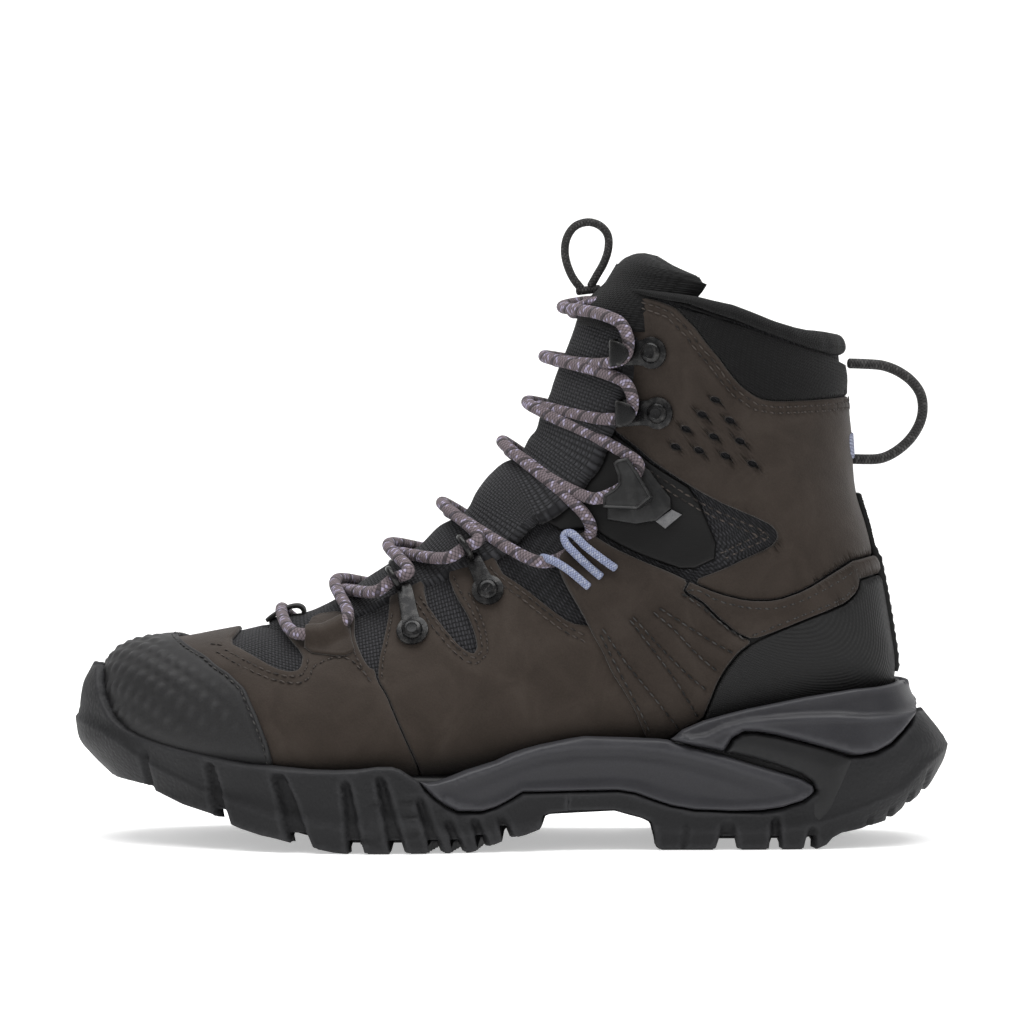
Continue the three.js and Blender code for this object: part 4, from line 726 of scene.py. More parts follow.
lens = bpy.data.cameras.new("Camera")
lens.lens, lens.sensor_width = 200, 36
lens.clip_end = 50
camera = bpy.data.objects.new("Camera", lens)
root.objects.link(camera)
tilt = math.radians(2.2)
target = (0.0002, 0.0, 0.1132)
away = 0.3482 / 36 * 200 + 0.03
look_at(camera, (target[0], -away * math.cos(tilt), target[2] + away * math.sin(tilt)), target)
bpy.context.scene.camera = camera

floor_mat = Tree("Studio_Floor", 0.9)
soft = floor_mat.noise(floor_mat.place(), 300, 2)
floor_mat.done(floor_mat.ramp(soft, [(0.3, (0.86, 0.86, 0.86)), (0.7, (0.88, 0.88, 0.88))]))
floor_glow = floor_mat.shader
floor_glow.inputs["Emission Color"].default_value = (1, 1, 1, 1)
floor_glow.inputs["Emission Strength"].default_value = 0.42
gate = floor_mat.mat.node_tree
seen_behind = gate.nodes.new("ShaderNodeNewGeometry").outputs["Backfacing"]
clear, both = gate.nodes.new("ShaderNodeBsdfTransparent"), gate.nodes.new("ShaderNodeMixShader")
gate.links.new(seen_behind, both.inputs["Fac"])
gate.links.new(floor_glow.outputs[0], both.inputs[1])
gate.links.new(clear.outputs[0], both.inputs[2])
gate.links.new(both.outputs[0], gate.nodes["Material Output"].inputs["Surface"])
sweep = [(-3.0, 0.0), (1.0, 0.0), (1.4, 0.02), (1.75, 0.12), (2.0, 0.35), (2.1, 0.8), (2.1, 3.2)]
floor_mesh = bpy.data.meshes.new("Floor")
floor_mesh.from_pydata([(x, y, z) for y, z in sweep for x in (-4, 4)], [],
                       [(2 * i, 2 * i + 1, 2 * i + 3, 2 * i + 2) for i in range(len(sweep) - 1)])
floor_mesh.polygons.foreach_set("use_smooth", [True] * len(floor_mesh.polygons))
floor_mesh.materials.append(floor_mat.mat)
floor = bpy.data.objects.new("Floor", floor_mesh)
root.objects.link(floor)


def soft_light(name, place, target, size, power):
    data = bpy.data.lights.new(name, "AREA")
    data.shape, data.size, data.size_y, data.energy = "RECTANGLE", size[0], size[1], power
    obj = bpy.data.objects.new(name, data)
    root.objects.link(obj)
    look_at(obj, place, target)
    return obj


bpy.context.scene.view_settings.view_transform = "Standard"
soft_light("Top_Light", (0.0, -0.15, 1.5), (0, 0, 0.1), (1.8, 1.2), 34)
soft_light("Front_Light", (-0.9, -1.6, 0.9), (0, 0, 0.08), (1.2, 1.0), 3.5)
soft_light("Side_Light", (1.5, -1.1, 0.8), (0, 0, 0.1), (0.9, 1.0), 3)
world = bpy.data.worlds.new("Studio")
world.use_nodes = True
world.node_tree.nodes["Background"].inputs[0].default_value = (1, 1, 1, 1)
world.node_tree.nodes["Background"].inputs[1].default_value = 0.36
bpy.context.scene.world = world
print("camera", round(away, 3), "m away")

# %% [markdown]
# ## The leather upper
# The upper is sewn from a vamp round the toes, a quarter on each side and a high ankle panel that wraps the heel.
# Their outlines are the ones the frame was drawn with. Where a needle ran, the leather sinks a little, so the
# stitch lines are kept in a list first: the panels read it for their channels, and the thread comes later.

# %% Outlines and the opening for the tongue
TOE_CAP = [[-80.5, 20], [-80.5, 30], [-82, 36], [-84, 41], [-86, 46], [-88, 50], [-90, 54.5], [-93, 57], [-96, 59.5],
           [-100, 61.5], [-104, 64.5], [-110, 67], [-116.5, 70.5], [-117, 90]]
VAMP_FRONT = [[-93.6, 18], [-93.6, 30], [-96.6, 42], [-102.6, 52], [-111.6, 60.3], [-121.7, 67.3], [-122.7, 90]]
VAMP_BACK = [[-54, 90], [-54, 75], [-53, 71], [-50, 65], [-48, 62.5], [-46.3, 62], [-45.5, 58.5], [-42, 53],
             [-40, 48], [-37, 41], [-34, 34], [-31, 25.5], [-31, 18]]
VAMP_WINDOW = [[-97, 70], [-90, 67], [-80, 62], [-75, 61], [-72.5, 61.5], [-71.5, 63], [-71, 67], [-80, 76],
               [-84, 78], [-92, 76]]
QUARTER = [[-30.7, 18], [-30.7, 25.5], [-33.7, 34], [-36.7, 41], [-39.7, 48], [-41.7, 53], [-45.2, 58.5],
           [-45, 65], [-43.5, 72], [-42, 80], [-42, 100], [-30, 100], [-30, 85], [-24, 77], [-18, 70],
           [-14.5, 67.5], [-12.5, 67], [-11.5, 69.5], [-12.5, 74], [-15, 80], [-19, 86], [-22, 93], [-22, 108],
           [-8, 112], [-5, 95], [5, 88.5], [13, 82], [20, 77], [27, 76], [31, 80], [23, 97], [27, 104], [45, 94],
           [57, 88], [68, 78.7], [78, 71], [74, 66.7], [70.7, 61.6], [67.7, 56.7], [65.6, 51.6], [63.6, 45],
           [63.6, 18]]
SADDLE = [[15, 98], [20, 103], [24, 107.5], [27, 107], [35, 102], [45, 97.5], [55, 93.5], [60, 91], [58, 87],
          [64, 84], [70, 78], [76, 73], [82, 70.5], [77, 67], [73, 62], [70, 57], [68, 52], [66, 47], [65, 44.5],
          [60, 42.3], [56, 39.6], [50, 36], [46, 37], [42, 47], [38, 54], [34, 60], [31, 67], [28, 72],
          [24, 80], [18, 90]]
ANKLE_UPPER = [[20, 200], [33.5, 189.5], [38, 189], [45, 187.5], [50, 186], [55, 184], [58, 181], [62, 177],
               [66, 171.5], [70, 167], [74, 161.5], [78, 157], [84, 153], [90, 152], [105, 152.5], [118, 153.5],
               [140, 154]]
ANKLE_LOWER = [[140, 98.5], [118, 98.5], [110, 94], [100, 88], [90, 84.5], [80, 84.5], [70, 87], [61, 91],
               [73, 95.5], [80, 99], [88, 102.5], [90.5, 105.5], [90, 108], [88, 110], [84, 112], [78, 114.5],
               [72, 117], [66, 120], [60, 123.5], [53, 128], [47, 132], [42, 136.5], [36, 141], [31, 145],
               [28.5, 148], [27, 153], [20, 156]]
FACING = [[14, 108], [27.5, 108.5], [35, 103.8], [45, 99.3], [60, 94], [71.5, 99.5], [62, 121.7], [52.6, 127.4],
          [46.6, 131.4], [41.6, 135.9], [35.6, 140.4], [30.6, 144.4], [28, 147.6], [26.6, 152.5], [10, 155],
          [0, 125]]
HEEL_BAND = [[140, 99], [118, 98.2], [110, 93.7], [100, 87.7], [90, 84.2], [80, 84.2], [70, 86.7], [60.5, 90.7],
             [58.8, 87.6], [64.5, 84.6], [70, 79], [76.5, 73.4], [82, 71.2], [90, 74], [100, 78], [108, 81],
             [114, 83.5], [117.5, 87], [118.5, 92], [140, 92.5]]
HEEL_COVER = [[140, 92], [118.8, 91.6], [117.9, 87], [114.2, 83.1], [108, 80.6], [100, 77.6], [90, 73.6],
              [82.3, 70.2], [77.3, 66.6], [73.4, 61.7], [70.4, 56.8], [68.4, 51.8], [66.5, 47], [65.5, 44.4],
              [66, 39], [85, 36], [100, 34], [118, 31], [128, 34], [140, 40]]
COLLAR_LOW = [[38, 188.6], [45, 187.3], [50.3, 185.8], [55.2, 183.8], [58.3, 180.8], [62.3, 176.8], [66.3, 171.3],
              [70.3, 166.8], [74.3, 161.4], [78.2, 156.9], [84.1, 152.9], [90, 151.9], [105, 152.4],
              [118, 153.4], [140, 153.9]]
COLLAR_HIGH = [[140, 165.6], [110, 168.1], [102, 170.1], [95, 172.6], [85, 176.1], [76, 179.6], [68, 182.1],
               [60, 185.1], [52, 186.6], [45, 188.6]]


def turn_at_width(u, wide):
    """How far round the section the face is wide millimetres off the middle plane."""
    q = section(u)
    reach = np.clip(wide / np.maximum(q[..., 4], 1e-6), 0, 1)
    return np.arcsin(reach ** (q[..., 6] / 2))


def throat(extra):
    """The opening that the lacing closes, as a loop of u and turn: round in front, narrowing up the leg."""
    us = np.linspace(5.2, LAST, 260)
    ridge = face(us, np.zeros(260))
    wide = np.full(260, 19.0 + extra)
    front = -72 - 0.7 * (19 + extra)
    lap = np.clip((ridge[:, 0] - front) / (0.7 * (19 + extra)), 0, 1)
    wide *= np.sqrt(1 - (1 - lap) ** 2)
    up = np.clip((ridge[:, 2] - 140) / 38, 0, 1)
    wide -= 5 * up * (ridge[:, 2] > 139)
    good = ridge[:, 0] > front
    us, wide = us[good], wide[good]
    turn = turn_at_width(us, wide)
    start = np.interp(front, ridge[:, 0], np.linspace(5.2, LAST, 260))
    one = np.concatenate([[[start, 0]], np.stack([us, turn], -1)])
    one = one[np.r_[True, np.diff(one[:, 0]) > 1e-4]]
    return np.concatenate([one, (one * [1, -1])[::-1][:-1]])


OPENING = throat(1.5)
print("throat", len(OPENING), "points")

# %% Stitch lines and their channels
STITCHES = []


def sew(points, height, smooth=1, sides=(-1, 1), step=0.6):
    """Keeps a side-view stitch line, on both sides of the boot, for the thread that comes later."""
    p = rounded(points, False, smooth) if smooth else points
    for side in sides:
        STITCHES.append((side_line(p, side, step), height))


VAMP_ROW = [(-101, 66.5), (-93, 62.5), (-83, 58.5), (-76, 57), (-71, 57), (-68, 59), (-67.5, 62), (-62, 65),
            (-57, 65.5), (-54, 64.5), (-51, 61.5), (-48, 59)]
VAMP_ROW_IN = [(-98, 67.2), (-90, 63.6), (-82, 60.3), (-76, 59), (-71.5, 59.2), (-69.6, 61.5), (-69, 64.4)]
sew(VAMP_ROW, 0)
sew(VAMP_ROW_IN, 0)
sew([(-103.5, 68.6), (-98, 68.4)], 0, 0)
QUARTER_FRONT = [(-31, 27), (-34, 34), (-37, 41), (-40, 48), (-42, 53), (-45.5, 58.5), (-45, 65), (-43.5, 72),
                 (-42, 81)]
sew(beside([(-46.8, 57.5), (-48.9, 60), (-51.5, 64.5), (-54.6, 70.5), (-55.8, 75)], 0.4), 0)
sew(beside(QUARTER_FRONT[5:], -1.6), 0)
NOTCH = [(-31.5, 86), (-25.2, 76.6), (-18.8, 69.2), (-15, 66), (-12, 65.2), (-9.8, 68), (-10.6, 74), (-13.3, 81),
         (-17.3, 87), (-20, 93)]
sew(NOTCH, 0)
sew([(-33, 84.6), (-26.4, 75), (-19.8, 67.6), (-15.4, 64.2), (-11.4, 63.2), (-7.8, 67.2), (-8.6, 74), (-11.4, 81.5),
     (-15.2, 88)], 0)
QUARTER_TOP = [(-6, 97), (-5, 95), (5, 88.5), (13, 82), (20, 77), (26, 74)]
sew(beside(QUARTER_TOP, -1.7), 0)
sew(beside(QUARTER_TOP, -3.6), 0)
sew(beside(ANKLE_LOWER[8:-2], 3.0), 0)
sew(beside(ANKLE_LOWER[8:-2], 5.2), 0)
sew(beside(ANKLE_UPPER[2:-1], -2.0), 0)
sew(beside(ANKLE_UPPER[2:-1], -4.0), 0)
sew(beside([(28.5, 148), (27.3, 155), (27, 164), (26.4, 172), (26, 180), (29, 187)], -2.0), 0)
SADDLE_ROWS = [
    [(30, 73), (35, 63), (42, 50), (47, 40)],
    [(30.6, 75), (38, 64), (48, 52), (57, 41)],
    [(40, 78), (47, 69), (56, 57), (63, 45.5)],
    [(41, 79), (50, 69), (60, 59), (66.5, 54)],
    [(48, 80.5), (55, 75), (63, 66), (70.5, 60)],
    [(50, 82), (60, 75.5), (68, 70.5), (74.5, 67)],
    [(57.5, 87), (65, 82), (72, 76), (79, 71.3)],
]
for row in SADDLE_ROWS:
    sew(row, 1.6)
sew(beside([(21, 91), (26, 81.5), (30, 73.5), (33, 68), (36, 61.5), (40, 55.5), (44, 48), (47, 40)], 0.0)[:9], 1.6)
HEEL_ROW = [(59.5, 87.6), (63, 88.2), (70, 84.3), (80, 81.8), (90, 81.6), (98, 84), (108, 89), (118, 95.2)]
sew(HEEL_ROW, 1.6)
sew(beside([(82, 70.7), (90, 74), (100, 78), (108, 81), (114, 83.5), (117.6, 88)], 1.8), 1.6)
CAP_ROW = beside(TOE_CAP[1:-1], 1.4)
sew(CAP_ROW, 1.6)
stitch_points = np.concatenate([at_line for at_line, _ in STITCHES])
stitch_places = face(stitch_points[:, 0], stitch_points[:, 1])
stitch_tree = tree_of(stitch_places)
print(len(STITCHES), "stitch lines")


def channel(base, depth=0.35, wide=0.75):
    """How far the leather sinks near a stitch line."""
    far, _ = nearest(stitch_tree, base)
    return -depth * np.exp(-(far / wide) ** 2) + 0.12 * np.exp(-((far - 1.6) / 0.8) ** 2)


def soft_hide(base, far, pts):
    """The slow waves of worked leather, with the stitch channels in it."""
    x, y, z = base.T
    wave = 0.16 * np.sin(x * 0.23 + 1.3 * np.sin(z * 0.11)) * np.sin(z * 0.19 + 0.9 * np.sin(x * 0.07))
    return wave + channel(base)


def front_seam(u, turn):
    return u < 1e-6


# %% Vamp, quarters and ankle panel
def toe_loop(line, smooth=1):
    """A line from the sole up to the ridge, carried over to the other side and closed round the nose."""
    one = side_line(rounded(line, False, smooth), -1)
    one[-1, 1] = 0
    low = one[0]
    under = np.stack([np.linspace(0.0, low[0], 60)[1:-1] ** 1.0, np.linspace(-2.3, low[1], 60)[1:-1]], -1)
    nose = np.stack([np.zeros(41), np.linspace(2.3, -2.3, 41)], -1)
    return np.concatenate([nose, under, one, (one * [1, -1])[::-1][1:], (under * [1, -1])[::-1]])


def vamp_loop():
    front = side_line(rounded(VAMP_FRONT, False), -1)
    back = side_line(rounded(VAMP_BACK, False), -1)
    front[-1, 1] = back[0, 1] = 0
    one = np.concatenate([back, front])
    return np.concatenate([one, (one * [1, -1])[::-1][1:-1]])


window = side_loop(VAMP_WINDOW, -1)
vamp, = panel("Vamp", [vamp_loop()], LEATHER_BROWN, -1.5, 0.0, cuts=[OPENING, window, window * [1, -1]],
              relief=soft_hide, mirror=False)
panel("Quarter", [side_loop(QUARTER)], LEATHER_BROWN, -1.5, 0.05, cuts=[OPENING], relief=soft_hide)

PERFORATIONS = [(69, 152.5), (64.5, 147.5), (74, 145.5), (59, 142.5), (68.5, 140), (77.5, 138.5), (55.5, 136.5),
                (63.5, 135.3), (72.5, 133.5), (81.8, 130.8)]


def ellipse(x, z, long, short, lean):
    a = np.linspace(0, 2 * math.pi, 17)[:-1]
    lx, lz = long / 2 * np.cos(a), short / 2 * np.sin(a)
    return [(x + c * math.cos(lean) - d * math.sin(lean), z + c * math.sin(lean) + d * math.cos(lean))
            for c, d in zip(lx, lz)]


def heel_wrap(upper, lower, smooth=1):
    """A loop round the back of the boot, from an upper and a lower side-view line that both reach the heel."""
    top = side_line(rounded(upper, False, smooth), 1)
    bottom = side_line(rounded(lower, False, smooth), 1)
    if abs(bottom[0, 1]) <= abs(bottom[-1, 1]):
        bottom = bottom[::-1]
    one = np.concatenate([bottom, top])
    other = np.stack([one[:, 0], 2 * math.pi - one[:, 1]], -1)[::-1]
    return np.concatenate([one, other[1:-1]])


ankle = heel_wrap(ANKLE_UPPER, ANKLE_LOWER)
holes = [side_line(ellipse(x, z, 3.3, 1.9, -0.3), 1, 0.4)[:-1] for x, z in PERFORATIONS]
around = [np.stack([h[:, 0], 2 * math.pi - h[:, 1]], -1) for h in holes]
front_cut = OPENING.copy()
front_cut_far = np.stack([OPENING[:, 0], OPENING[:, 1] + 2 * math.pi], -1)


def ankle_relief(base, far, pts):
    """Soft hide, with the rolled edge along the front and lower border."""
    lip = 0.5 * np.exp(-((far - 1.3) / 0.9) ** 2) * (base[:, 2] < 150) * (base[:, 2] > 104)
    return soft_hide(base, far, pts) + lip


panel("Ankle_Panel", [ankle], LEATHER_DARK, -1.5, 0.0, cuts=[front_cut, front_cut_far] + holes + around,
      relief=ankle_relief, mirror=False)
panel("Facing", [side_loop(FACING)], SMOOTH_FILM, -1.6, -0.1, cuts=[OPENING])

# %% Overlays: saddle, heel band, heel counter, toe cap
saddle_rows = [side_line(rounded(row, False), -1, 0.5) for row in SADDLE_ROWS]
row_tree = tree_of(np.concatenate([face(r[:, 0], r[:, 1]) for r in saddle_rows]))


def saddle_relief(base, far, pts):
    """Padded ridges that fan out from the lace loop, sinking at each stitched row."""
    gap, _ = nearest(row_tree, base)
    x, z = base[:, 0], base[:, 2]
    fan = np.clip((z - 40) / 8, 0, 1) * np.clip((97 - z) / 6, 0, 1)
    ridge = 0.95 * (1 - np.exp(-(gap / 2.0) ** 2)) * fan
    tip = 1.7 * np.clip(1 - np.hypot(x - 23, z - 98) / 15, 0, 1) ** 0.7
    return ridge - 0.2 + tip + channel(base, 0.3)


def heel_relief(base, far, pts):
    return channel(base, 0.3) + 0.35 * np.exp(-((far - 2.5) / 1.6) ** 2)


panel("Saddle", [side_loop(SADDLE)], LEATHER_DARK, 0.2, 1.6, cuts=[OPENING], relief=saddle_relief, spacing=1.3)
panel("Heel_Band", [heel_wrap(HEEL_BAND[:8][::-1], HEEL_BAND[7:])], LEATHER_DARK, 0.2, 1.6, relief=heel_relief,
      mirror=False)
panel("Heel_Counter", [heel_wrap(HEEL_COVER[:10][::-1], HEEL_COVER[9:])], COUNTER_FILM, 0.2, 1.55, mirror=False)


def cap_relief(base, far, pts):
    """Low bumps in a diamond grid, fading towards the seam and the sole."""
    x, y, z = base.T
    plane = Last.flat(pts[:, 0], pts[:, 1])
    a, b = plane[:, 0], plane[:, 1]
    p, q = (a + b) / 2.9 * math.pi / 1.0, (a - b) / 2.9 * math.pi / 1.0
    bumps = (0.5 + 0.5 * np.sin(p * 0.72)) * (0.5 + 0.5 * np.sin(q * 0.72))
    fade = np.clip((far - 4.0) / 5.0, 0, 1) * np.clip((z - 38) / 6, 0, 1)
    groove = -0.55 * np.exp(-((far - 1.5) / 0.6) ** 2)
    return 0.75 * (bumps - 0.3) * fade + groove * (z > 34)


panel("Toe_Cap", [toe_loop(TOE_CAP)], CAP_RUBBER, 0.2, 1.7, seam=front_seam, relief=cap_relief, spacing=0.85,
      mirror=False)

# %% [markdown]
# ## The bootie, collar and tongue
# Inside the leather sits a knitted sock, which shows in the windows, at the collar and in the throat. It is a
# shell with two faces, laid on the last a little deeper than the leather. The padded collar above it is swollen
# by a cushion of foam. The bootie could be a solid, but then nobody could look into the boot.

# %% Bootie
def shell(name, material, outer, inner, top, edge, columns=150, rows=150, first=0.02):
    """A sock of two faces from the nose to the line top(turn), open in front where edge(u) says so."""
    b = np.linspace(0, 1, columns + 1)
    a = np.linspace(0, 1, rows + 1)
    a = a ** 1.15
    grid_u = np.empty((rows + 1, columns + 1))
    grid_t = np.empty((rows + 1, columns + 1))
    guess = np.linspace(0, 2 * math.pi, columns + 1)
    for _ in range(4):
        tops = top(np.minimum(guess, 2 * math.pi - guess))
        grid_u = first + a[:, None] * (tops - first)[None]
        start = edge(grid_u)
        grid_t = start + b[None] * (2 * math.pi - 2 * start)
        guess = grid_t[-1]
    lift_out = outer(grid_u, grid_t) if callable(outer) else outer
    lift_in = inner(grid_u, grid_t) if callable(inner) else inner
    p, n = face(grid_u, grid_t), outward(grid_u, grid_t)
    sheets = [p + n * np.asarray(lift)[..., None] if np.ndim(lift) else p + n * lift for lift in (lift_out, lift_in)]
    points = np.concatenate([s.reshape(-1, 3) for s in sheets])
    w, count = columns + 1, (rows + 1) * (columns + 1)
    i, j = np.meshgrid(np.arange(rows), np.arange(columns), indexing="ij")
    q = (i * w + j).ravel()
    quads = np.stack([q, q + 1, q + w + 1, q + w], -1)
    faces = [quads[:, ::-1], quads + count]
    last = rows * w
    k = np.arange(columns)
    faces.append(np.stack([last + k, last + k + 1, last + k + 1 + count, last + k + count], -1)[:, ::-1])
    faces.append(np.stack([k, k + 1, k + 1 + count, k + count], -1))
    r = np.arange(rows) * w
    faces.append(np.stack([r, r + w, r + w + count, r + count], -1)[:, ::-1])
    faces.append(np.stack([r + columns, r + w + columns, r + w + columns + count, r + columns + count], -1))
    smooth_sheet = Last.flat(grid_u.ravel(), grid_t.ravel())
    obj = make_object(name, points, np.concatenate(faces), material, np.concatenate([smooth_sheet, smooth_sheet]))
    merged(obj, 3e-6)
    face_out(obj)
    pieces[name] = obj
    print(name, len(obj.data.polygons), "faces")
    return obj


def line_over(points):
    """The place u of a side-view line as a function of the turn away from the ridge."""
    line = side_line(points, 1, 1.0)
    order = np.argsort(line[:, 1])
    turn, u = line[order, 1], line[order, 0]
    return lambda t: np.interp(t, turn, u)


collar_at = line_over([(20, 191), (38, 189), (45, 188), (52, 186.5), (60, 185), (68, 182), (76, 179.5), (85, 176),
                       (95, 172.5), (102, 170), (110, 168), (114.4, 167.6)])
collar_top = line_over([(30, 193.5), (40, 191), (50, 189.3), (62, 187.5), (68, 186), (75, 184.5), (82, 182), (90, 179),
                        (97, 177), (103, 175.8), (108, 175.5), (114, 174.5)])
opening_u, opening_t = OPENING[:len(OPENING) // 2 + 1, 0], OPENING[:len(OPENING) // 2 + 1, 1]
order = np.argsort(opening_u)
throat_at = lambda u: np.interp(u, opening_u[order], opening_t[order], left=0.0)

shell("Bootie", MESH_COARSE, -1.9, -4.3, collar_at, lambda u: np.maximum(throat_at(u) * 0.985, 0), 180, 170)


collar_panel = heel_wrap(COLLAR_HIGH, COLLAR_LOW)


def collar_relief(base, far, pts):
    return 1.3 * (1 - np.exp(-(far / 5.0) ** 2)) - 0.25


panel("Collar_Padding", [collar_panel], MESH_FINE, -1.6, -0.1, cuts=[OPENING, front_cut_far], roll=1.6, spacing=1.8,
      relief=collar_relief, mirror=False)


def roll_piece(name, material, columns=170, around=28):
    """The rolled top of the collar: a padded tube along the top line, flattened against the leg."""
    t = np.linspace(0, 1, columns + 1)
    turn = 0.47 + t * (2 * math.pi - 0.94)
    fold = np.minimum(turn, 2 * math.pi - turn)
    low, high = collar_at(fold), collar_top(fold)
    angle = np.linspace(0, 2 * math.pi, around + 1)[:-1]
    wave = 0.12 * np.sin(turn * 23) + 0.08 * np.sin(turn * 41 + 1)
    points = []
    mid_u = (low + high) / 2
    for k, a in enumerate(angle):
        u = mid_u + (high - low) / 2 * np.sin(a) * 1.05
        lift = -3.0 + (3.9 + wave) * np.cos(a) * np.abs(np.cos(a)) ** -0.25
        points.append(face(u, turn) + outward(u, turn) * np.asarray(lift)[..., None])
    points = np.stack(points, 1)
    ends = [points[0].mean(0), points[-1].mean(0)]
    flat_points = np.concatenate([points.reshape(-1, 3), ends])
    faces = []
    for i in range(columns):
        for j in range(around):
            k = (j + 1) % around
            faces.append((i * around + j, i * around + k, (i + 1) * around + k, (i + 1) * around + j))
    n = len(flat_points)
    for j in range(around):
        k = (j + 1) % around
        faces.append((n - 2, k, j))
        faces.append((n - 1, columns * around + j, columns * around + k))
    run = np.concatenate([[0], np.cumsum(np.linalg.norm(np.diff(points[:, 0], axis=0), axis=1))])
    sheet = np.stack([np.repeat(run, around), np.tile(np.arange(around) * 0.9, columns + 1)], -1)
    sheet = np.concatenate([sheet, sheet[[0, -1]]])
    obj = make_object(name, flat_points, faces, material, sheet)
    face_out(obj)
    pieces[name] = obj
    print(name, len(obj.data.polygons), "faces")
    return obj


roll_piece("Collar_Roll", MESH_FINE)

# %% [markdown]
# ## The tongue
# The tongue is a long pad of foam in coarse knit. It bulges between the laces, because foam swells where nothing
# presses on it, and ends in a rounded flap that stands above the collar. Its front line is drawn from the side.

# %% Tongue
TONGUE_FRONT = [(-84, 76.0), (-78, 77.2), (-70, 78.2), (-60, 83.0), (-50, 90.2), (-44, 94), (-39, 97.2), (-33.5, 100.2),
                (-31, 101.8), (-25, 108.2), (-21, 110.2), (-16.5, 112.4), (-14.2, 115), (-12, 120), (-8, 125.4),
                (-3, 130), (1.5, 131.6), (4.2, 134.2), (6.4, 138.8), (9.0, 141.4), (10.3, 147), (13.5, 153.5),
                (14.8, 158), (16.6, 163), (19.2, 169), (21.8, 176), (23.6, 182), (26.5, 186.6), (31.5, 190.6),
                (34, 194.6), (36.6, 199)]


def tongue_piece():
    front = densify(rounded(TONGUE_FRONT, False, 2), 1.3)
    q = section(np.linspace(4.6, LAST, 900))
    ridge = np.stack([q[:, 2], q[:, 3]], -1)
    rows = len(front)
    arc = np.concatenate([[0], np.cumsum(np.linalg.norm(np.diff(front, axis=0), axis=1))])
    across = 44
    points, sheets = [], []
    inner = []
    tangent = np.gradient(front, axis=0)
    tangent /= np.linalg.norm(tangent, axis=1, keepdims=True)
    kernel = np.exp(-((np.arange(-9, 10)) / 4.0) ** 2)
    kernel /= kernel.sum()
    padded = np.pad(tangent, ((9, 9), (0, 0)), mode="edge")
    calm = np.stack([np.convolve(padded[:, k], kernel, "valid") for k in range(2)], -1)
    calm /= np.linalg.norm(calm, axis=1, keepdims=True)
    normal = np.stack([-calm[:, 1], calm[:, 0]], -1)
    end = arc[-1]
    for i in range(rows):
        z = front[i, 1]
        wide = float(np.interp(z, [76, 90, 108, 125, 150, 200], [20.5, 21.5, 23.2, 23.8, 24.0, 26.5]))
        head = np.clip((arc[i] - (end - 9)) / 9, 0, 1)
        toe = np.clip((9 - arc[i]) / 9, 0, 1)
        wide = wide * math.sqrt(max(1 - 0.35 * head ** 2, 0.05)) * math.sqrt(max(1 - 0.5 * toe ** 2, 0.05))
        drop = float(np.interp(z, [76, 90, 104, 120, 140, 160, 190], [7, 8, 12, 19, 21, 20, 21]))
        back = 3.4 + 1.6 * np.clip((z - 120) / 60, 0, 1)
        row, under, gone = [], [], 0.0
        for j in range(across + 1):
            v = -1 + 2 * j / across
            y = wide * math.sin(v * math.pi / 2)
            bulge = 1 - abs(math.sin(v * math.pi / 2)) ** 2.1
            depth = drop * (1 - bulge)
            puff = 0.9 * math.cos(v * math.pi * 0.5) * (0.5 + 0.5 * math.cos(v * math.pi * 2.0)) * 0.35
            (x, z_here), (nx, nz), lean = front[i], normal[i], MIDDLE(front[i, 0])
            row.append((x - nx * (depth - puff), y + lean, z_here - nz * (depth - puff)))
            under.append((x - nx * (depth + back), y * 0.97 + lean, z_here - nz * (depth + back)))
            if j:
                gone += math.dist(row[-1], row[-2])
            sheets.append((arc[i], gone))
        middle = sheets[-1 - across // 2][1]
        sheets[-across - 1:] = [(a, b - middle) for a, b in sheets[-across - 1:]]
        points.append(row)
        inner.append(under)
    outer_face, inner_face = np.array(points), np.array(inner)
    for edge in (0, -1):
        mid = (outer_face[:, edge] + inner_face[:, edge]) / 2
        outer_face[:, edge] = mid
        inner_face[:, edge] = mid
    for edge in (0, -1):
        mid = (outer_face[edge] + inner_face[edge]) / 2
        outer_face[edge] = mid
        inner_face[edge] = mid
    w = across + 1
    count = rows * w
    faces = []
    for i in range(rows - 1):
        for j in range(across):
            a = i * w + j
            faces.append((a, a + 1, a + w + 1, a + w))
            faces.append((a + count, a + count + w, a + count + w + 1, a + count + 1))
    obj = make_object("Tongue", np.concatenate([outer_face.reshape(-1, 3), inner_face.reshape(-1, 3)]), faces,
                      MESH_COARSE, np.array(sheets + sheets))
    merged(obj, 3e-6)
    face_out(obj)
    pieces["Tongue"] = obj
    print("tongue", round(end), "mm long,", len(obj.data.polygons), "faces")
    return obj


def MIDDLE(x):
    """The middle line of the foot, which bends towards the big toe."""
    return float(np.interp(x, [-112, -95, -75, -52, -28, 20, 45, 70], [5.5, 3.5, 1, -1.5, -2.5, -2, -1, 0]))


tongue_piece()


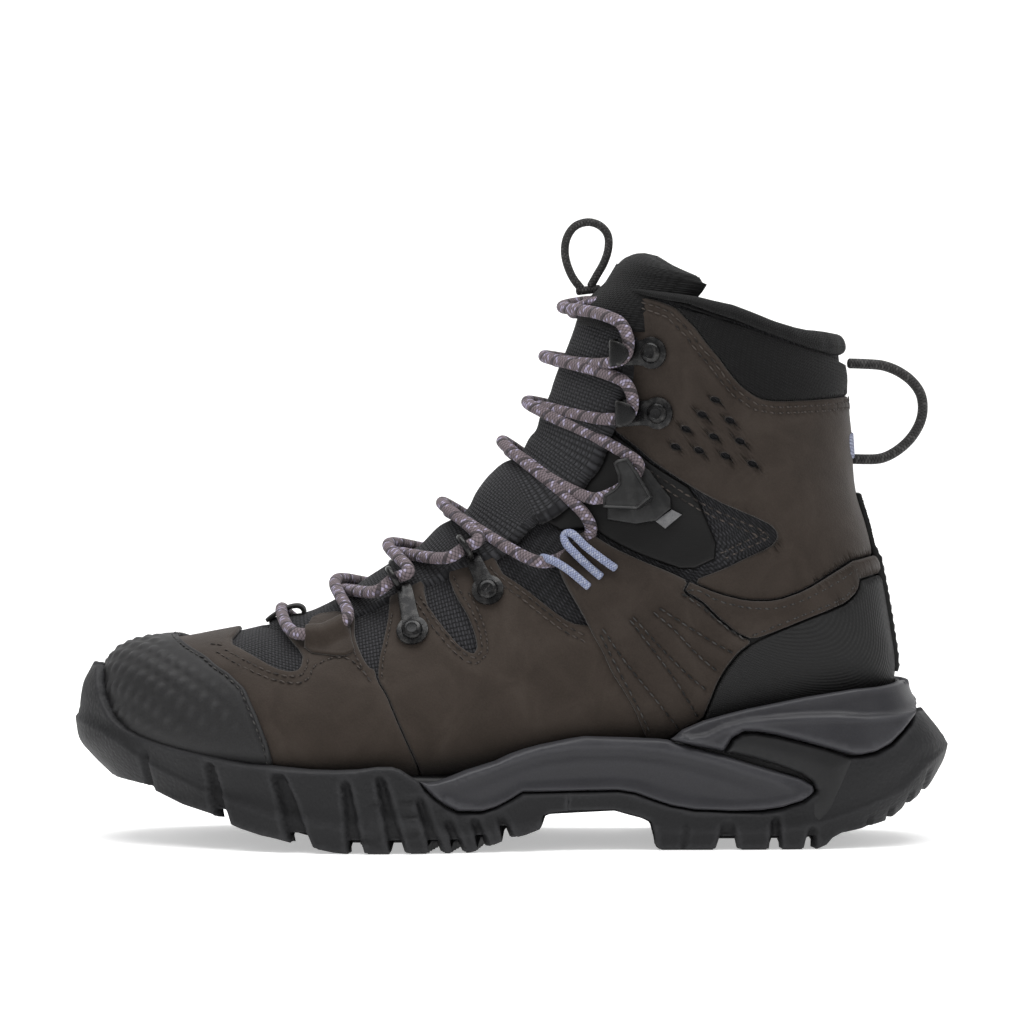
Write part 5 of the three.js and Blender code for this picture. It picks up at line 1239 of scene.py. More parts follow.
def flap_piece():
    """Rows run up the flap. Each is a bow across the shin, bent back round the leg at its ends."""
    front = densify(rounded([(22.0, 178), (24.5, 184), (28, 188.6), (32.4, 192.4), (35.2, 197), (38.4, 200.6),
                             (42.5, 202.4), (46, 202.6)], False, 2), 1.0)
    back_line = np.array([(40, 175), (41.5, 180), (43.5, 185), (45.5, 189.5), (47, 194), (48.2, 197.5), (48.6, 200),
                          (48.4, 201.4)])
    t = np.linspace(0, 1, len(front))
    rear = np.stack([np.interp(t, np.linspace(0, 1, len(back_line)), back_line[:, k]) for k in range(2)], -1)
    across = 56
    outer_face, inner_face, sheets = [], [], []
    arc = np.concatenate([[0], np.cumsum(np.linalg.norm(np.diff(front, axis=0), axis=1))])
    for i, (x, z) in enumerate(front):
        share = np.clip((t[i] - 0.62) / 0.38, 0, 1)
        wide = 29.5 * math.sqrt(max(1 - 0.75 * share ** 2.2, 0.02))
        row, under = [], []
        for j in range(across + 1):
            v = -1 + 2 * j / across
            bow = abs(v) ** 2.3
            y = wide * math.sin(v * math.pi / 2 * 0.96)
            reach = bow * (30 - 16 * share)
            px = x + reach
            pz = z - bow * (3.5 + 5.5 * share)
            thick = 6.5 * (1 - 0.35 * share) * (1 - 0.35 * bow)
            row.append((px, y, pz))
            under.append((px + thick, y * (1 - 0.17 * (1 - bow) * 0.3) * 0.93, pz - 1.0))
            sheets.append((arc[i], y * 1.1))
        outer_face.append(row)
        inner_face.append(under)
    outer_face, inner_face = np.array(outer_face), np.array(inner_face)
    for side in (0, -1):
        mid = (outer_face[:, side] + inner_face[:, side]) / 2
        outer_face[:, side], inner_face[:, side] = mid, mid
        mid = (outer_face[side] + inner_face[side]) / 2
        outer_face[side], inner_face[side] = mid, mid
    w, rows = across + 1, len(front)
    count = rows * w
    faces = []
    for i in range(rows - 1):
        for j in range(across):
            a = i * w + j
            faces.append((a, a + 1, a + w + 1, a + w))
            faces.append((a + count, a + count + w, a + count + w + 1, a + count + 1))
    obj = make_object("Tongue_Flap", np.concatenate([outer_face.reshape(-1, 3), inner_face.reshape(-1, 3)]), faces,
                      MESH_FINE, np.array(sheets + sheets))
    merged(obj, 3e-6)
    face_out(obj)
    pieces["Tongue_Flap"] = obj
    return obj


flap_piece()

# %% [markdown]
# ## Cords
# A lace is a tube along a smooth line, with the braid drawn along and round it. The line goes through the places
# where the lace meets its rings, hooks and tunnels, and crosses over the tongue by turns above and below. Curve
# bevels would do for plain cords, but a tube made from rings also carries flat places for the braid.

# %% Tubes
def smooth_path(points, step=0.7):
    """A centripetal curve through the points, with even steps."""
    p = np.asarray(points, float)
    p = np.concatenate([[2 * p[0] - p[1]], p, [2 * p[-1] - p[-2]]])
    t = np.concatenate([[0], np.cumsum(np.sqrt(np.linalg.norm(np.diff(p, axis=0), axis=1)))])
    out = []
    for i in range(1, len(p) - 2):
        n = max(2, int(np.linalg.norm(p[i + 1] - p[i]) / step))
        s = np.linspace(t[i], t[i + 1], n, endpoint=False)[:, None]
        a1 = (t[i] - s) / (t[i] - t[i - 1]) * p[i - 1] + (s - t[i - 1]) / (t[i] - t[i - 1]) * p[i]
        a2 = (t[i + 1] - s) / (t[i + 1] - t[i]) * p[i] + (s - t[i]) / (t[i + 1] - t[i]) * p[i + 1]
        a3 = (t[i + 2] - s) / (t[i + 2] - t[i + 1]) * p[i + 1] + (s - t[i + 1]) / (t[i + 2] - t[i + 1]) * p[i + 2]
        b1 = (t[i + 1] - s) / (t[i + 1] - t[i - 1]) * a1 + (s - t[i - 1]) / (t[i + 1] - t[i - 1]) * a2
        b2 = (t[i + 2] - s) / (t[i + 2] - t[i]) * a2 + (s - t[i]) / (t[i + 2] - t[i]) * a3
        out.append((t[i + 1] - s) / (t[i + 1] - t[i]) * b1 + (s - t[i]) / (t[i + 1] - t[i]) * b2)
    out.append(p[-2][None])
    return np.concatenate(out)


def eased(path, times=2):
    """Takes the last kinks out of a path, with its ends left where they are."""
    for _ in range(times):
        path[1:-1] = 0.25 * path[:-2] + 0.5 * path[1:-1] + 0.25 * path[2:]
    return path


def tube(name, path, radius, material, sides=14, flat_by=1.0, across=None):
    """A closed tube along a path. radius may change along it, flat_by squeezes it across."""
    path = np.asarray(path, float)
    n = len(path)
    tangent = unit(np.gradient(path, axis=0))
    frame_x = np.empty_like(path)
    start = np.cross([0, 0, 1.0], tangent[0]) if across is None else np.asarray(across, float)
    if np.linalg.norm(start) < 0.1:
        start = np.array([0, 1.0, 0])
    for i in range(n):
        start = start - tangent[i] * np.dot(start, tangent[i])
        start = start / max(np.linalg.norm(start), 1e-9)
        frame_x[i] = start
    frame_y = np.cross(tangent, frame_x)
    r = np.broadcast_to(np.asarray(radius, float), (n,)).copy()
    a = np.linspace(0, 2 * math.pi, sides + 1)[:-1]
    rings = path[:, None] + r[:, None, None] * (frame_x[:, None] * np.cos(a)[None, :, None]
                                                 + frame_y[:, None] * np.sin(a)[None, :, None] * flat_by)
    head = [path[0] - tangent[0] * r[0] * 0.5, path[-1] + tangent[-1] * r[-1] * 0.5]
    small0 = path[0] - tangent[0] * r[0] * 0.35 + (rings[0] - path[0]) * 0.75
    small1 = path[-1] + tangent[-1] * r[-1] * 0.35 + (rings[-1] - path[-1]) * 0.75
    rings = np.concatenate([small0[None], rings, small1[None]])
    n += 2
    points = np.concatenate([rings.reshape(-1, 3), head])
    i, j = np.meshgrid(np.arange(n - 1), np.arange(sides), indexing="ij")
    k = (j + 1) % sides
    quads = np.stack([i * sides + j, i * sides + k, (i + 1) * sides + k, (i + 1) * sides + j], -1).reshape(-1, 4)
    faces = [tuple(q) for q in quads]
    for j in range(sides):
        k = (j + 1) % sides
        faces.append((len(points) - 2, k, j))
        faces.append((len(points) - 1, (n - 1) * sides + j, (n - 1) * sides + k))
    run = np.concatenate([[0], np.cumsum(np.linalg.norm(np.diff(rings.mean(1), axis=0), axis=1))])
    mesh = bpy.data.meshes.new(name)
    mesh.from_pydata(((points + MOVE) / 1000).tolist(), [], [list(map(int, f)) for f in faces])
    mesh.polygons.foreach_set("use_smooth", [True] * len(mesh.polygons))
    mesh.materials.append(material)
    layer = mesh.uv_layers.new(name="UVMap")
    coords = []
    for f in faces:
        if len(f) == 4:
            i0, j0 = divmod(f[0], sides)
            coords += [(run[i0] / 1000, j0 / sides), (run[i0] / 1000, (j0 + 1) / sides),
                       (run[i0 + 1] / 1000, (j0 + 1) / sides), (run[i0 + 1] / 1000, j0 / sides)]
        else:
            end = run[0] if f[0] == len(points) - 2 else run[-1]
            coords += [(end / 1000, 0.0)] * 3
    layer.data.foreach_set("uv", np.array(coords).ravel())
    mesh.update()
    obj = bpy.data.objects.new(name, mesh)
    root.objects.link(obj)
    pieces[name] = obj
    print(name, round(float(run[-1])), "mm long")
    return obj


# %% The lace
LOW, HIGH, RING, HOOK = 3.6, 7.6, 5.4, 3.9
HOLDERS = [
    [(-55, 75, 3.4), (-63.5, 71, 2.7), (-72.5, 70.5, 2.9)],
    [(-43, 83.5, 5.5), (-38, 87.5, RING), (-33, 89.5, 5.7)],
    [(-19.5, 95.5, 5.5), (-14.5, 99, RING), (-9.5, 101.5, 5.7)],
    [(9, 96.5, 3.4), (14.5, 97.5, 0.6), (21, 101.5, -0.4), (27.5, 107.5, 1.6), (26, 112.5, 3.2)],
    [(29, 118, 4), (36, 120.5, HOOK), (42, 125, HOOK), (44.5, 130, 4.6), (38, 135, 4)],
    [(34, 145.5, 4), (41.5, 147, HOOK), (43, 152, HOOK), (41, 158, HOOK), (35, 161, 4)],
    [(34, 164.5, 4), (40.5, 167, HOOK), (42, 171.5, HOOK), (40, 177.5, HOOK), (33.5, 180.5, 4)],
]
CROSSINGS = [(-57, 83.5), (-38, 97.5), (-19.5, 111), (1.5, 131.5), (11.2, 149), (17.3, 165.5), (23.4, 181.5)]


def ridge_place(x, z, out):
    u, _ = on_face(x, z)
    return face(u, np.zeros_like(u)) + outward(u, np.zeros_like(u)) * out


def lace_half(side, high):
    points = [at(x, z, side, out) for x, z, out in HOLDERS[0][::-1]]
    for k, (x, z) in enumerate(CROSSINGS):
        points.append(ridge_place(x, z, HIGH if high else LOW))
        side, high = -side, not high
        if k + 1 < len(HOLDERS):
            points += [at(hx, hz, side, out) for hx, hz, out in HOLDERS[k + 1]]
    u, _ = on_face(28.5, 186.5)
    for x, z, out, wide in ((29.0, 186.5, 0.4, 12.5), (34, 184.5, -6.2, 14.5), (40.5, 176, -8.9, 15.5)):
        u, _ = on_face(x, z)
        turn = turn_at_width(u, wide) * side
        points.append(face(u, turn) + outward(u, turn) * out)
    return points


one, two = lace_half(-1, True), lace_half(1, False)
middle = ridge_place(-79, 78.5, 2.4)
route = np.array(one[::-1] + [middle] + two)
lace_path = eased(smooth_path(route, 0.8), 3)
tube("Lace", lace_path, 2.1, LACE_BRAID, 16)
lace_length = np.linalg.norm(np.diff(lace_path, axis=0), axis=1).sum()
print("lace", round(float(lace_length)), "mm")

# %% Loops and blue cords
BLUE_SINGLE = [(26, 88.5, 3.3), (20, 93, 5.2), (15.5, 95.8, 5.2), (12.6, 97.2, 4.1), (10.8, 98.4, 1.2)]
BLUE_HAIRPIN = [(30.5, 92, 3.3), (26.5, 95.2, 3.7), (22, 99, 5.2), (18.8, 102.6, 4.9), (18.6, 105.4, 3.9),
                (21, 105.8, 5.2), (26, 101.6, 5.2), (31, 98, 5.2), (35.5, 95, 3.3)]
for side, word in ((-1, "outer"), (1, "inner")):
    for kind, line in (("single", BLUE_SINGLE), ("hairpin", BLUE_HAIRPIN)):
        path = eased(smooth_path([at(x, z, side, out) for x, z, out in line], 0.5), 2)
        tube(f"Blue_Cord_{kind}_{word}", path, 1.4, BLUE_BRAID, 14)

HEEL_PATH = [(116.6, 164.5), (119.5, 164.4), (124, 164.2), (128, 163.8), (133, 162), (138, 158.5), (141.2, 154),
             (142, 149),
             (141.2, 144.5), (138.5, 139.5), (135, 135.8), (130.5, 132.8), (127, 131.6), (121.1, 131.4), (118.2, 131.5)]
heel_path = eased(smooth_path([(x, 0, z) for x, z in HEEL_PATH], 0.6), 3)
tube("Heel_Loop", heel_path, 1.75, BLACK_BRAID, 18, flat_by=1.42, across=(0, 0, 1))
TONGUE_CORD = [(24.0, 190.4), (21.5, 193.5), (19.4, 198), (18.4, 203), (19.2, 208), (22, 211.8), (26.5, 213.2),
               (30.5, 212), (33.2, 208.8), (33.4, 204), (31.8, 199), (29.4, 194.8), (27.4, 191.2)]
cord_path = eased(smooth_path([(x, 0, z) for x, z in TONGUE_CORD], 0.5), 3)
tube("Tongue_Loop", cord_path, 1.4, BLACK_BRAID, 16)
bar = np.linspace((22.9, 0, 189.4), (30.2, 0, 190.2), 12)
tube("Tongue_Loop_Bar", bar, 1.45, BLACK_BRAID, 14)

# %% [markdown]
# ## The sole
# The sole's wall runs round the whole foot, so it is a surface of its own: a height, and a place along the
# outline counted from the toe, negative on the outer side. Its pieces are panels on that wall: black rubber with
# side lugs, the grey foam bridge under the arch, and the heel cradle with a black wing. The tread underneath is
# one sheet whose grooves rise between the lugs and meet the notches in the wall.

# %% The wall of the sole
SOLE_LEVELS = np.array([[0, -132, 128, 1.5], [10, -132, 130, 0], [20, -133, 142.5, 0], [29, -142.5, 147.5, 0],
                        [35, -148, 149, 0.4], [42, -149, 143.5, 1], [48, -149, 139.2, 1.6],
                        [54, -148, 136.6, 2.2], [62, -143.5, 134.5, 3.2]])
SOLE_PLAN = np.array([[-1, 0, 8], [-0.985, 11, 8], [-0.95, 21, 8], [-0.9, 29.5, 7.6], [-0.83, 37.5, 7],
                      [-0.74, 44.5, 5.4], [-0.62, 50.5, 3.2], [-0.5, 53.6, 1], [-0.37, 54.5, -1.2],
                      [-0.24, 52.3, -2.4], [-0.1, 47.8, -2.6], [0.02, 44, -2.2], [0.16, 41.5, -1.6],
                      [0.32, 40.6, -0.6], [0.5, 40.6, 0], [0.66, 40, 0], [0.8, 37.6, 0], [0.9, 32.2, 0],
                      [0.96, 23.5, 0], [0.99, 12, 0], [1, 0, 0]])
level_z = np.linspace(0, 62, 249)
level_rows = np.stack([np.interp(level_z, SOLE_LEVELS[:, 0], SOLE_LEVELS[:, c]) for c in (1, 2, 3)], -1)
bell = np.exp(-(np.arange(-12, 13) / 7.0) ** 2)
bell /= bell.sum()
padded_rows = np.pad(level_rows, ((12, 12), (0, 0)), mode="reflect", reflect_type="odd")
level_rows = np.stack([np.convolve(padded_rows[:, c], bell, "valid") for c in range(3)], -1)
around_plan = np.concatenate([SOLE_PLAN * [1, -1, 1], (SOLE_PLAN * [1, 1, 1])[::-1][1:-1]])


def plan_at(b):
    """Place, signed half width and shift along the outline. b is 0 at the toe and 20 at the heel."""
    k = np.mod(-np.asarray(b, float), 40)
    i = k.astype(int) % 40
    t = (k - k.astype(int))[..., None]
    p = [around_plan[(i + s) % 40] for s in (-1, 0, 1, 2)]
    return p[1] + 0.5 * t * (p[2] - p[0] + t * (2 * p[0] - 5 * p[1] + 4 * p[2] - p[3]
                                                 + t * (3 * (p[1] - p[2]) + p[3] - p[0])))


def wall_point(z, b):
    z, b = np.broadcast_arrays(np.asarray(z, float), np.asarray(b, float))
    q = plan_at(b)
    front, rear, taper = (np.interp(z, level_z, level_rows[:, c]) for c in range(3))
    x = np.where(q[..., 0] < 0, -q[..., 0] * front, q[..., 0] * rear)
    wide = np.abs(q[..., 1])
    y = q[..., 2] + np.sign(q[..., 1]) * np.maximum(wide - taper * np.minimum(1, wide / 20), 0)
    return np.stack([x, y, z], -1)


def wall_slopes(z, b):
    z = np.asarray(z, float)
    low, high = np.clip(z - 0.6, 0, 62), np.clip(z + 0.6, 0, 62)
    along = (wall_point(high, b) - wall_point(low, b)) / (high - low)[..., None]
    round_ = (wall_point(z, np.asarray(b) + 0.04) - wall_point(z, np.asarray(b) - 0.04)) / 0.08
    return along, round_


table_b = np.linspace(-40, 40, 3201)
table_arc = np.concatenate([[0], np.cumsum(np.linalg.norm(np.diff(wall_point(np.full(3201, 30.0), table_b), axis=0),
                                                          axis=1))])
table_arc -= np.interp(0, table_b, table_arc)
table_place = plan_at(table_b)[:, 0]


class Wall:
    point = staticmethod(wall_point)
    slopes = staticmethod(wall_slopes)

    @staticmethod
    def normal(z, b):
        along, round_ = wall_slopes(z, b)
        return unit(np.cross(along, round_))

    @staticmethod
    def flat(z, b):
        return np.stack([z, np.interp(b, table_b, table_arc)], -1)


def wall_line(points, step=0.8, inner=False):
    """A side-view line laid on the sole's wall: height, and place along the outline."""
    p = densify(points, step)
    front, rear = (np.interp(p[:, 1], level_z, level_rows[:, c]) for c in (0, 1))
    place = np.clip(np.where(p[:, 0] < 0, p[:, 0] / np.abs(front), p[:, 0] / rear), -1, 1)
    half = (table_b >= 0) & (table_b <= 20)
    b = np.interp(place, table_place[half], table_b[half])
    return np.stack([p[:, 1], b if inner else -b], -1)


def past_toe(top, bottom):
    """A loop round the toe from an upper and a lower line, both drawn from the toe backwards."""
    t, s = wall_line(top), wall_line(bottom)
    t[0, 1] = s[0, 1] = 0
    one = np.concatenate([t[::-1][:-1], [[t[0, 0], 0]]])
    return np.concatenate([one, (one * [1, -1])[::-1][1:], (s * [1, -1])[::-1], s[1:]])


def past_heel(top, bottom):
    """A loop round the heel from two lines, both drawn towards the heel."""
    t, s = wall_line(top, inner=True), wall_line(bottom, inner=True)
    t[-1, 1] = s[-1, 1] = 20
    mirror = lambda line: np.stack([line[:, 0], 40 - line[:, 1]], -1)[::-1]
    return np.concatenate([s, mirror(s)[1:], np.concatenate([t, mirror(t)[1:]])[::-1]])


FOXING = [(-142.5, 61.5), (-142, 56), (-141, 51), (-139, 47), (-136, 43), (-132, 40), (-127, 38), (-120, 36),
          (-112, 34), (-105, 32.5), (-98, 31), (-90, 29.5), (-82, 29), (-68, 28), (-60, 28), (-52, 28.5),
          (-45, 29.5), (-40, 29.5), (-37, 28.5), (-34, 26.5), (-31, 24.5), (-29, 21.5), (-26, 18.6), (-22, 15.7),
          (-18, 13.8), (-10, 13.5), (-5, 14.8), (0, 17.3), (4, 19.7), (20, 19.8)]
TOE_UNDER = [(-134.5, 22.6), (-130, 22.2), (-124, 21.2), (-122, 19), (-118, 17),
             (-112, 14.5), (-106, 13), (-102, 12), (-97, 9.5), (-92, 7.5), (-85, 5.5), (-80, 4.6), (-70, 2.2),
             (-60, 0.3), (-56, 0), (-14, 0), (-8, 1.6), (-2, 4.0), (5, 5.6), (9.6, 7.4), (10.5, 9), (11, 11.8),
             (13, 12.6), (20, 13.3)]
REAR_TOP = [(18, 19.8), (36, 20), (42, 19.1), (48, 16.8), (54, 14.8), (62, 13.3), (75, 12.8), (85, 13), (92, 14.1),
            (99, 16.3), (103.6, 19.5), (104.5, 23), (108, 31), (116, 31.6), (119, 31.6), (124, 32.6),
            (129.3, 35.1), (133.3, 38.6), (136.5, 41.6), (139.3, 46)]
REAR_UNDER = [(18, 13.3), (35, 13.5), (40, 12), (44, 11), (47, 9.5), (48, 6), (48.6, 1.5), (50.5, 0), (104, 0),
              (107, 1.2), (109, 3.6), (112, 5.2), (117, 6), (123, 7.4), (127, 8.6), (130, 10)]
# Grooves in the wall: upper end, lower end, width at each, and how deep they are.
SIDE_GROOVES = [
    (-124.5, 34, -121.5, 18, 1.2, 2.2, 2.0), (-102.5, 30.5, -96.5, 8, 2.6, 4.6, 3.2),
    (-79, 27.5, -70, 1, 4.0, 7.5, 3.6),
    (-56, 25.5, -52, 0, 2.2, 5.0, 3.0), (-44.5, 27, -38, 0, 2.5, 5.4, 3.2), (-31.5, 20, -25, 0, 2.0, 4.4, 2.8),
    (-22, 12.5, -17.5, 0, 2.0, 4.0, 2.6), (-13, 12.5, -9, 0, 2.0, 4.0, 2.6), (-4, 13, -0.5, 2, 2.0, 4.0, 2.4),
    (60, 11, 58, 0, 0.8, 1.4, 1.0), (73.5, 10, 73, 0, 3.0, 8.0, 3.2), (89.5, 12, 89.5, 0, 2.0, 4.0, 3.0),
    (102, 9, 101, 0, 1.5, 3.4, 2.6), (121, 13, 120, 5, 1.0, 1.8, 1.4), (128.5, 16, 127.5, 8, 1.0, 1.8, 1.4),
    (135.5, 21, 134, 12, 1.0, 1.8, 1.4), (141.5, 28, 139.5, 17, 1.0, 1.8, 1.4)]
LEDGE = np.array([(-150, 44), (-140, 41), (-133, 37.5), (-124, 31.5), (-117.5, 28.5), (-103.5, 22), (-95, 19.5),
                  (-80, 14.5), (-69, 13), (-57, 11), (-44, 13.5), (-34, 13), (-24, 9), (-10, 8.5), (0, 10.5),
                  (10, 12), (48, 9.5), (60, 8.8), (90, 9), (104, 11), (118, 16), (132, 22), (140, 30), (150, 36)])


def groove_depth(x, z):
    """How deep the side grooves are at a side-view place, and how near their middle it is."""
    deep = np.zeros_like(x)
    for x1, z1, x2, z2, w1, w2, d in SIDE_GROOVES:
        t = np.clip((z1 - z) / (z1 - z2), 0, 1)
        mid, wide = x1 + t * (x2 - x1), w1 + t * (w2 - w1)
        side = np.clip((wide / 2 + 0.5 - np.abs(x - mid)) / 1.0, 0, 1)
        start = np.clip((z1 - z) / 3.0, 0, 1)
        deep = np.maximum(deep, d * side * side * (3 - 2 * side) * start)
    return deep


def lug_relief(base, far, pts):
    x, z = base[:, 0], base[:, 2]
    ledge = np.interp(x, LEDGE[:, 0], LEDGE[:, 1])
    step = np.clip((ledge - z) / 1.6, 0, 1)
    relief = 1.5 * step * step * (3 - 2 * step)
    relief += 0.45 * np.exp(-((ledge + 0.2 - z) / 0.8) ** 2)
    deep = groove_depth(x, z)
    for z0 in (17.5, 12.0, 6.5):
        sipe = np.exp(-((z - z0 - 0.12 * (x + 40)) / 0.45) ** 2)
        sipe *= ((x > -50) & (x < -44.5)) | ((x > -37.5) & (x < -31.5))
        deep = np.maximum(deep, 0.9 * sipe)
    panel_wave = 0.25 * np.sin(x * 0.31) * np.clip((z - ledge) / 4, 0, 1)
    return relief - deep + panel_wave


def notch(x1, z1, x2, z2, w1, w2, top):
    """The open lower end of a groove, as a side-view loop that runs below the tread."""
    t = np.clip((z1 - top) / (z1 - z2), 0, 1)
    mid, wide = x1 + t * (x2 - x1), (w1 + t * (w2 - w1)) * 0.8
    return [(mid - wide / 2, top), (mid + wide / 2, top), (x2 + w2 * 0.45, z2 - 0.2), (x2 + w2 * 0.45, -3),
            (x2 - w2 * 0.45, -3), (x2 - w2 * 0.45, z2 - 0.2)]


NOTCH_HEIGHT = 4.2
front_notches, rear_notches = [], []
for x1, z1, x2, z2, w1, w2, d in SIDE_GROOVES:
    under = TOE_UNDER if x2 < 15 else REAR_UNDER
    base = np.interp(x2, [p[0] for p in under], [p[1] for p in under])
    open_end = notch(x1, z1, x2, z2, w1, w2, base + NOTCH_HEIGHT)
    loop = wall_line(open_end + open_end[:1], 0.6)[:-1]
    loop[:, 0] = np.maximum(loop[:, 0], -3)
    if w2 > 2.5:
        (front_notches if x2 < 15 else rear_notches).append(loop)
mirrored = [l * [1, -1] for l in front_notches]
panel("Outsole_Front", [past_toe(FOXING, TOE_UNDER)], SOLE_RUBBER, -3.2, 0.9, cuts=front_notches + mirrored, roll=1.1,
      spacing=1.05, relief=lug_relief, surface=Wall, mirror=False)
rear_loops = [np.stack([l[:, 0], -l[:, 1]], -1) for l in rear_notches]
rear_loops += [np.stack([l[:, 0], 40 + l[:, 1]], -1) for l in rear_notches]
panel("Outsole_Heel", [past_heel(REAR_TOP, REAR_UNDER)], SOLE_RUBBER, -3.2, 0.8, cuts=rear_loops, roll=1.1,
      spacing=1.05, relief=lug_relief, surface=Wall, mirror=False)

# %% Bridge, cradle and wing
BRIDGE = [(-31, 24.5), (-28, 24), (-25, 24.3), (-20, 26), (-15, 28), (-10, 29.5), (-5, 31), (0, 33.3), (5, 35),
          (10, 36.3), (15, 37.3), (20, 38.3), (25, 39), (40, 38.5), (50, 38), (53.2, 37.6), (56, 36.5), (62, 35),
          (72, 32.4), (88, 27.5), (98, 24.5), (102.5, 22), (103, 19.5), (99, 16.5), (92, 14.3), (85, 13.2),
          (75, 13), (62, 13.5), (54, 15), (48, 17), (42, 19.3), (36, 20.3), (15, 20), (4, 20), (0, 17.5), (-5, 15),
          (-10, 13.7), (-18, 14), (-22, 16), (-26, 19), (-29, 22)]
RIDGE = np.array([(-31, 23), (-20, 24), (-10, 27), (0, 30.5), (5, 32), (10, 33.5), (20, 35), (40, 35), (50, 34),
                  (60, 32),
                  (70, 29.5), (80, 26), (90, 23), (96, 19.5), (104, 17)])
INNER_LINE = np.array([(-20, 19), (-5, 24), (5, 28), (15, 30), (25, 31), (40, 31), (55, 28.5), (70, 24), (85, 19)])


def bridge_relief(base, far, pts):
    x, z = base[:, 0], base[:, 2]
    ridge = np.interp(x, RIDGE[:, 0], RIDGE[:, 1])
    second = np.interp(x, INNER_LINE[:, 0], INNER_LINE[:, 1])
    below = np.clip((ridge - z) / 2.2, 0, 1)
    floor_ = np.clip((second - z) / 7.0, 0, 1)
    ends = np.clip((x + 18) / 16, 0, 1) * np.clip((94 - x) / 26, 0, 1)
    dish = -(1.3 * below * below * (3 - 2 * below) + 1.4 * np.sin(floor_ * math.pi / 2) ** 2) * ends
    crest = 0.8 * np.exp(-((z - ridge - 0.6) / 1.3) ** 2)
    lower = 1.1 * np.exp(-((far - 1.6) / 1.5) ** 2) * (z < second)
    return dish + crest + lower


panel("Midsole_Bridge", [wall_line(BRIDGE + BRIDGE[:1])[:-1]], MIDSOLE_FOAM, -3.0, 1.3, roll=1.4, spacing=1.2,
      relief=bridge_relief, surface=Wall)
CRADLE_TOP = [(54, 37.9), (55, 38.4), (58, 41), (65, 44), (72, 46), (80, 48), (90, 50), (100, 52), (110, 53.5),
              (117, 54.5), (125, 55), (130, 55.5), (138, 56.3)]
CRADLE_LOW = [(54, 37.3), (56, 36.8), (62, 35.3), (72, 33.5), (75, 38), (79, 40.2), (84, 40), (90, 39), (98, 37),
              (105, 35), (112, 33), (116, 32), (119, 32), (124, 33), (129, 35.5), (133, 39), (136, 42), (140, 47)]
CREST = np.array([(50, 36), (60, 37), (66, 38), (72, 41), (80, 43), (90, 44), (100, 44.5), (110, 44.5), (120, 43.5),
                  (130, 43.5), (150, 45)])


def cradle_relief(base, far, pts):
    x, z = base[:, 0], base[:, 2]
    crest = np.interp(x, CREST[:, 0], CREST[:, 1])
    above = np.clip((z - crest) / 2.5, 0, 1)
    return 1.5 * (1 - above) - 0.6 * above + 0.7 * np.exp(-((z - crest) / 1.1) ** 2) \
        + 0.5 * np.exp(-((far - 1.8) / 1.2) ** 2) * (z > crest)


panel("Heel_Cradle", [past_heel(CRADLE_TOP, CRADLE_LOW)], MIDSOLE_FOAM, -2.5, 1.0, roll=1.3, spacing=1.2,
      relief=cradle_relief, surface=Wall, mirror=False)
WING = [(72.5, 33), (75, 37.6), (78, 39.6), (82, 40), (90, 38.7), (98, 36.7), (106, 34.7), (112, 32.7),
        (116.2, 31.2), (115.6, 29), (112.6, 22), (109.6, 15), (106.6, 9.5), (105, 6.5), (101.5, 7.5), (101.5, 16),
        (103.5, 20), (102, 23), (98, 25.8), (90, 28.8), (82, 31.2), (75, 32.8)]


def wing_relief(base, far, pts):
    return 1.1 * (1 - np.exp(-(far / 3.0) ** 2))


panel("Heel_Wing", [wall_line(WING + WING[:1])[:-1]], WING_RUBBER, -2.6, 0.9, roll=1.3, spacing=1.2,
      relief=wing_relief, surface=Wall)

# %% The tread
under_x = np.array([p[0] for p in TOE_UNDER[:-1]] + [p[0] for p in REAR_UNDER[1:]])
under_z = np.array([p[1] for p in TOE_UNDER[:-1]] + [p[1] for p in REAR_UNDER[1:]])


def tread_height(x, y):
    """The sole's underside: lugs at the level of the ground, grooves raised between them."""
    base = np.interp(x, under_x, under_z)
    groove = np.zeros_like(x)
    for x1, z1, x2, z2, w1, w2, d in SIDE_GROOVES:
        if w2 < 2.5:
            continue
        lean = 0.16 if x2 < 15 else 0.0
        mid = x2 + lean * (48 - np.abs(y)) * (1 if int(abs(x2)) % 2 else -0.6)
        side = np.clip((w2 * 0.5 - np.abs(x - mid)) / 0.8 + 0.5, 0, 1)
        groove = np.maximum(groove, side)
    for x0, x1, y0, y1 in ((-112, -60, 13, 19), (-60, -4, 19, 14), (58, 104, 16, 13)):
        t = np.clip((x - x0) / (x1 - x0), 0, 1)
        mid = y0 + t * (y1 - y0)
        side = np.clip((2.5 - np.abs(np.abs(y) - mid)) / 0.8 + 0.5, 0, 1) * (x > x0) * (x < x1)
        groove = np.maximum(groove, side)
    hex_ = np.clip((1.1 - np.abs(np.mod(x + 0.5 * np.abs(y), 14) - 7)) / 0.7 + 0.5, 0, 1) * (np.abs(y) < 12)
    groove = np.maximum(groove, 0.55 * hex_)
    depth = np.where((x > 9) & (x < 47.5), 0.0, 4.2)
    return base + groove * depth


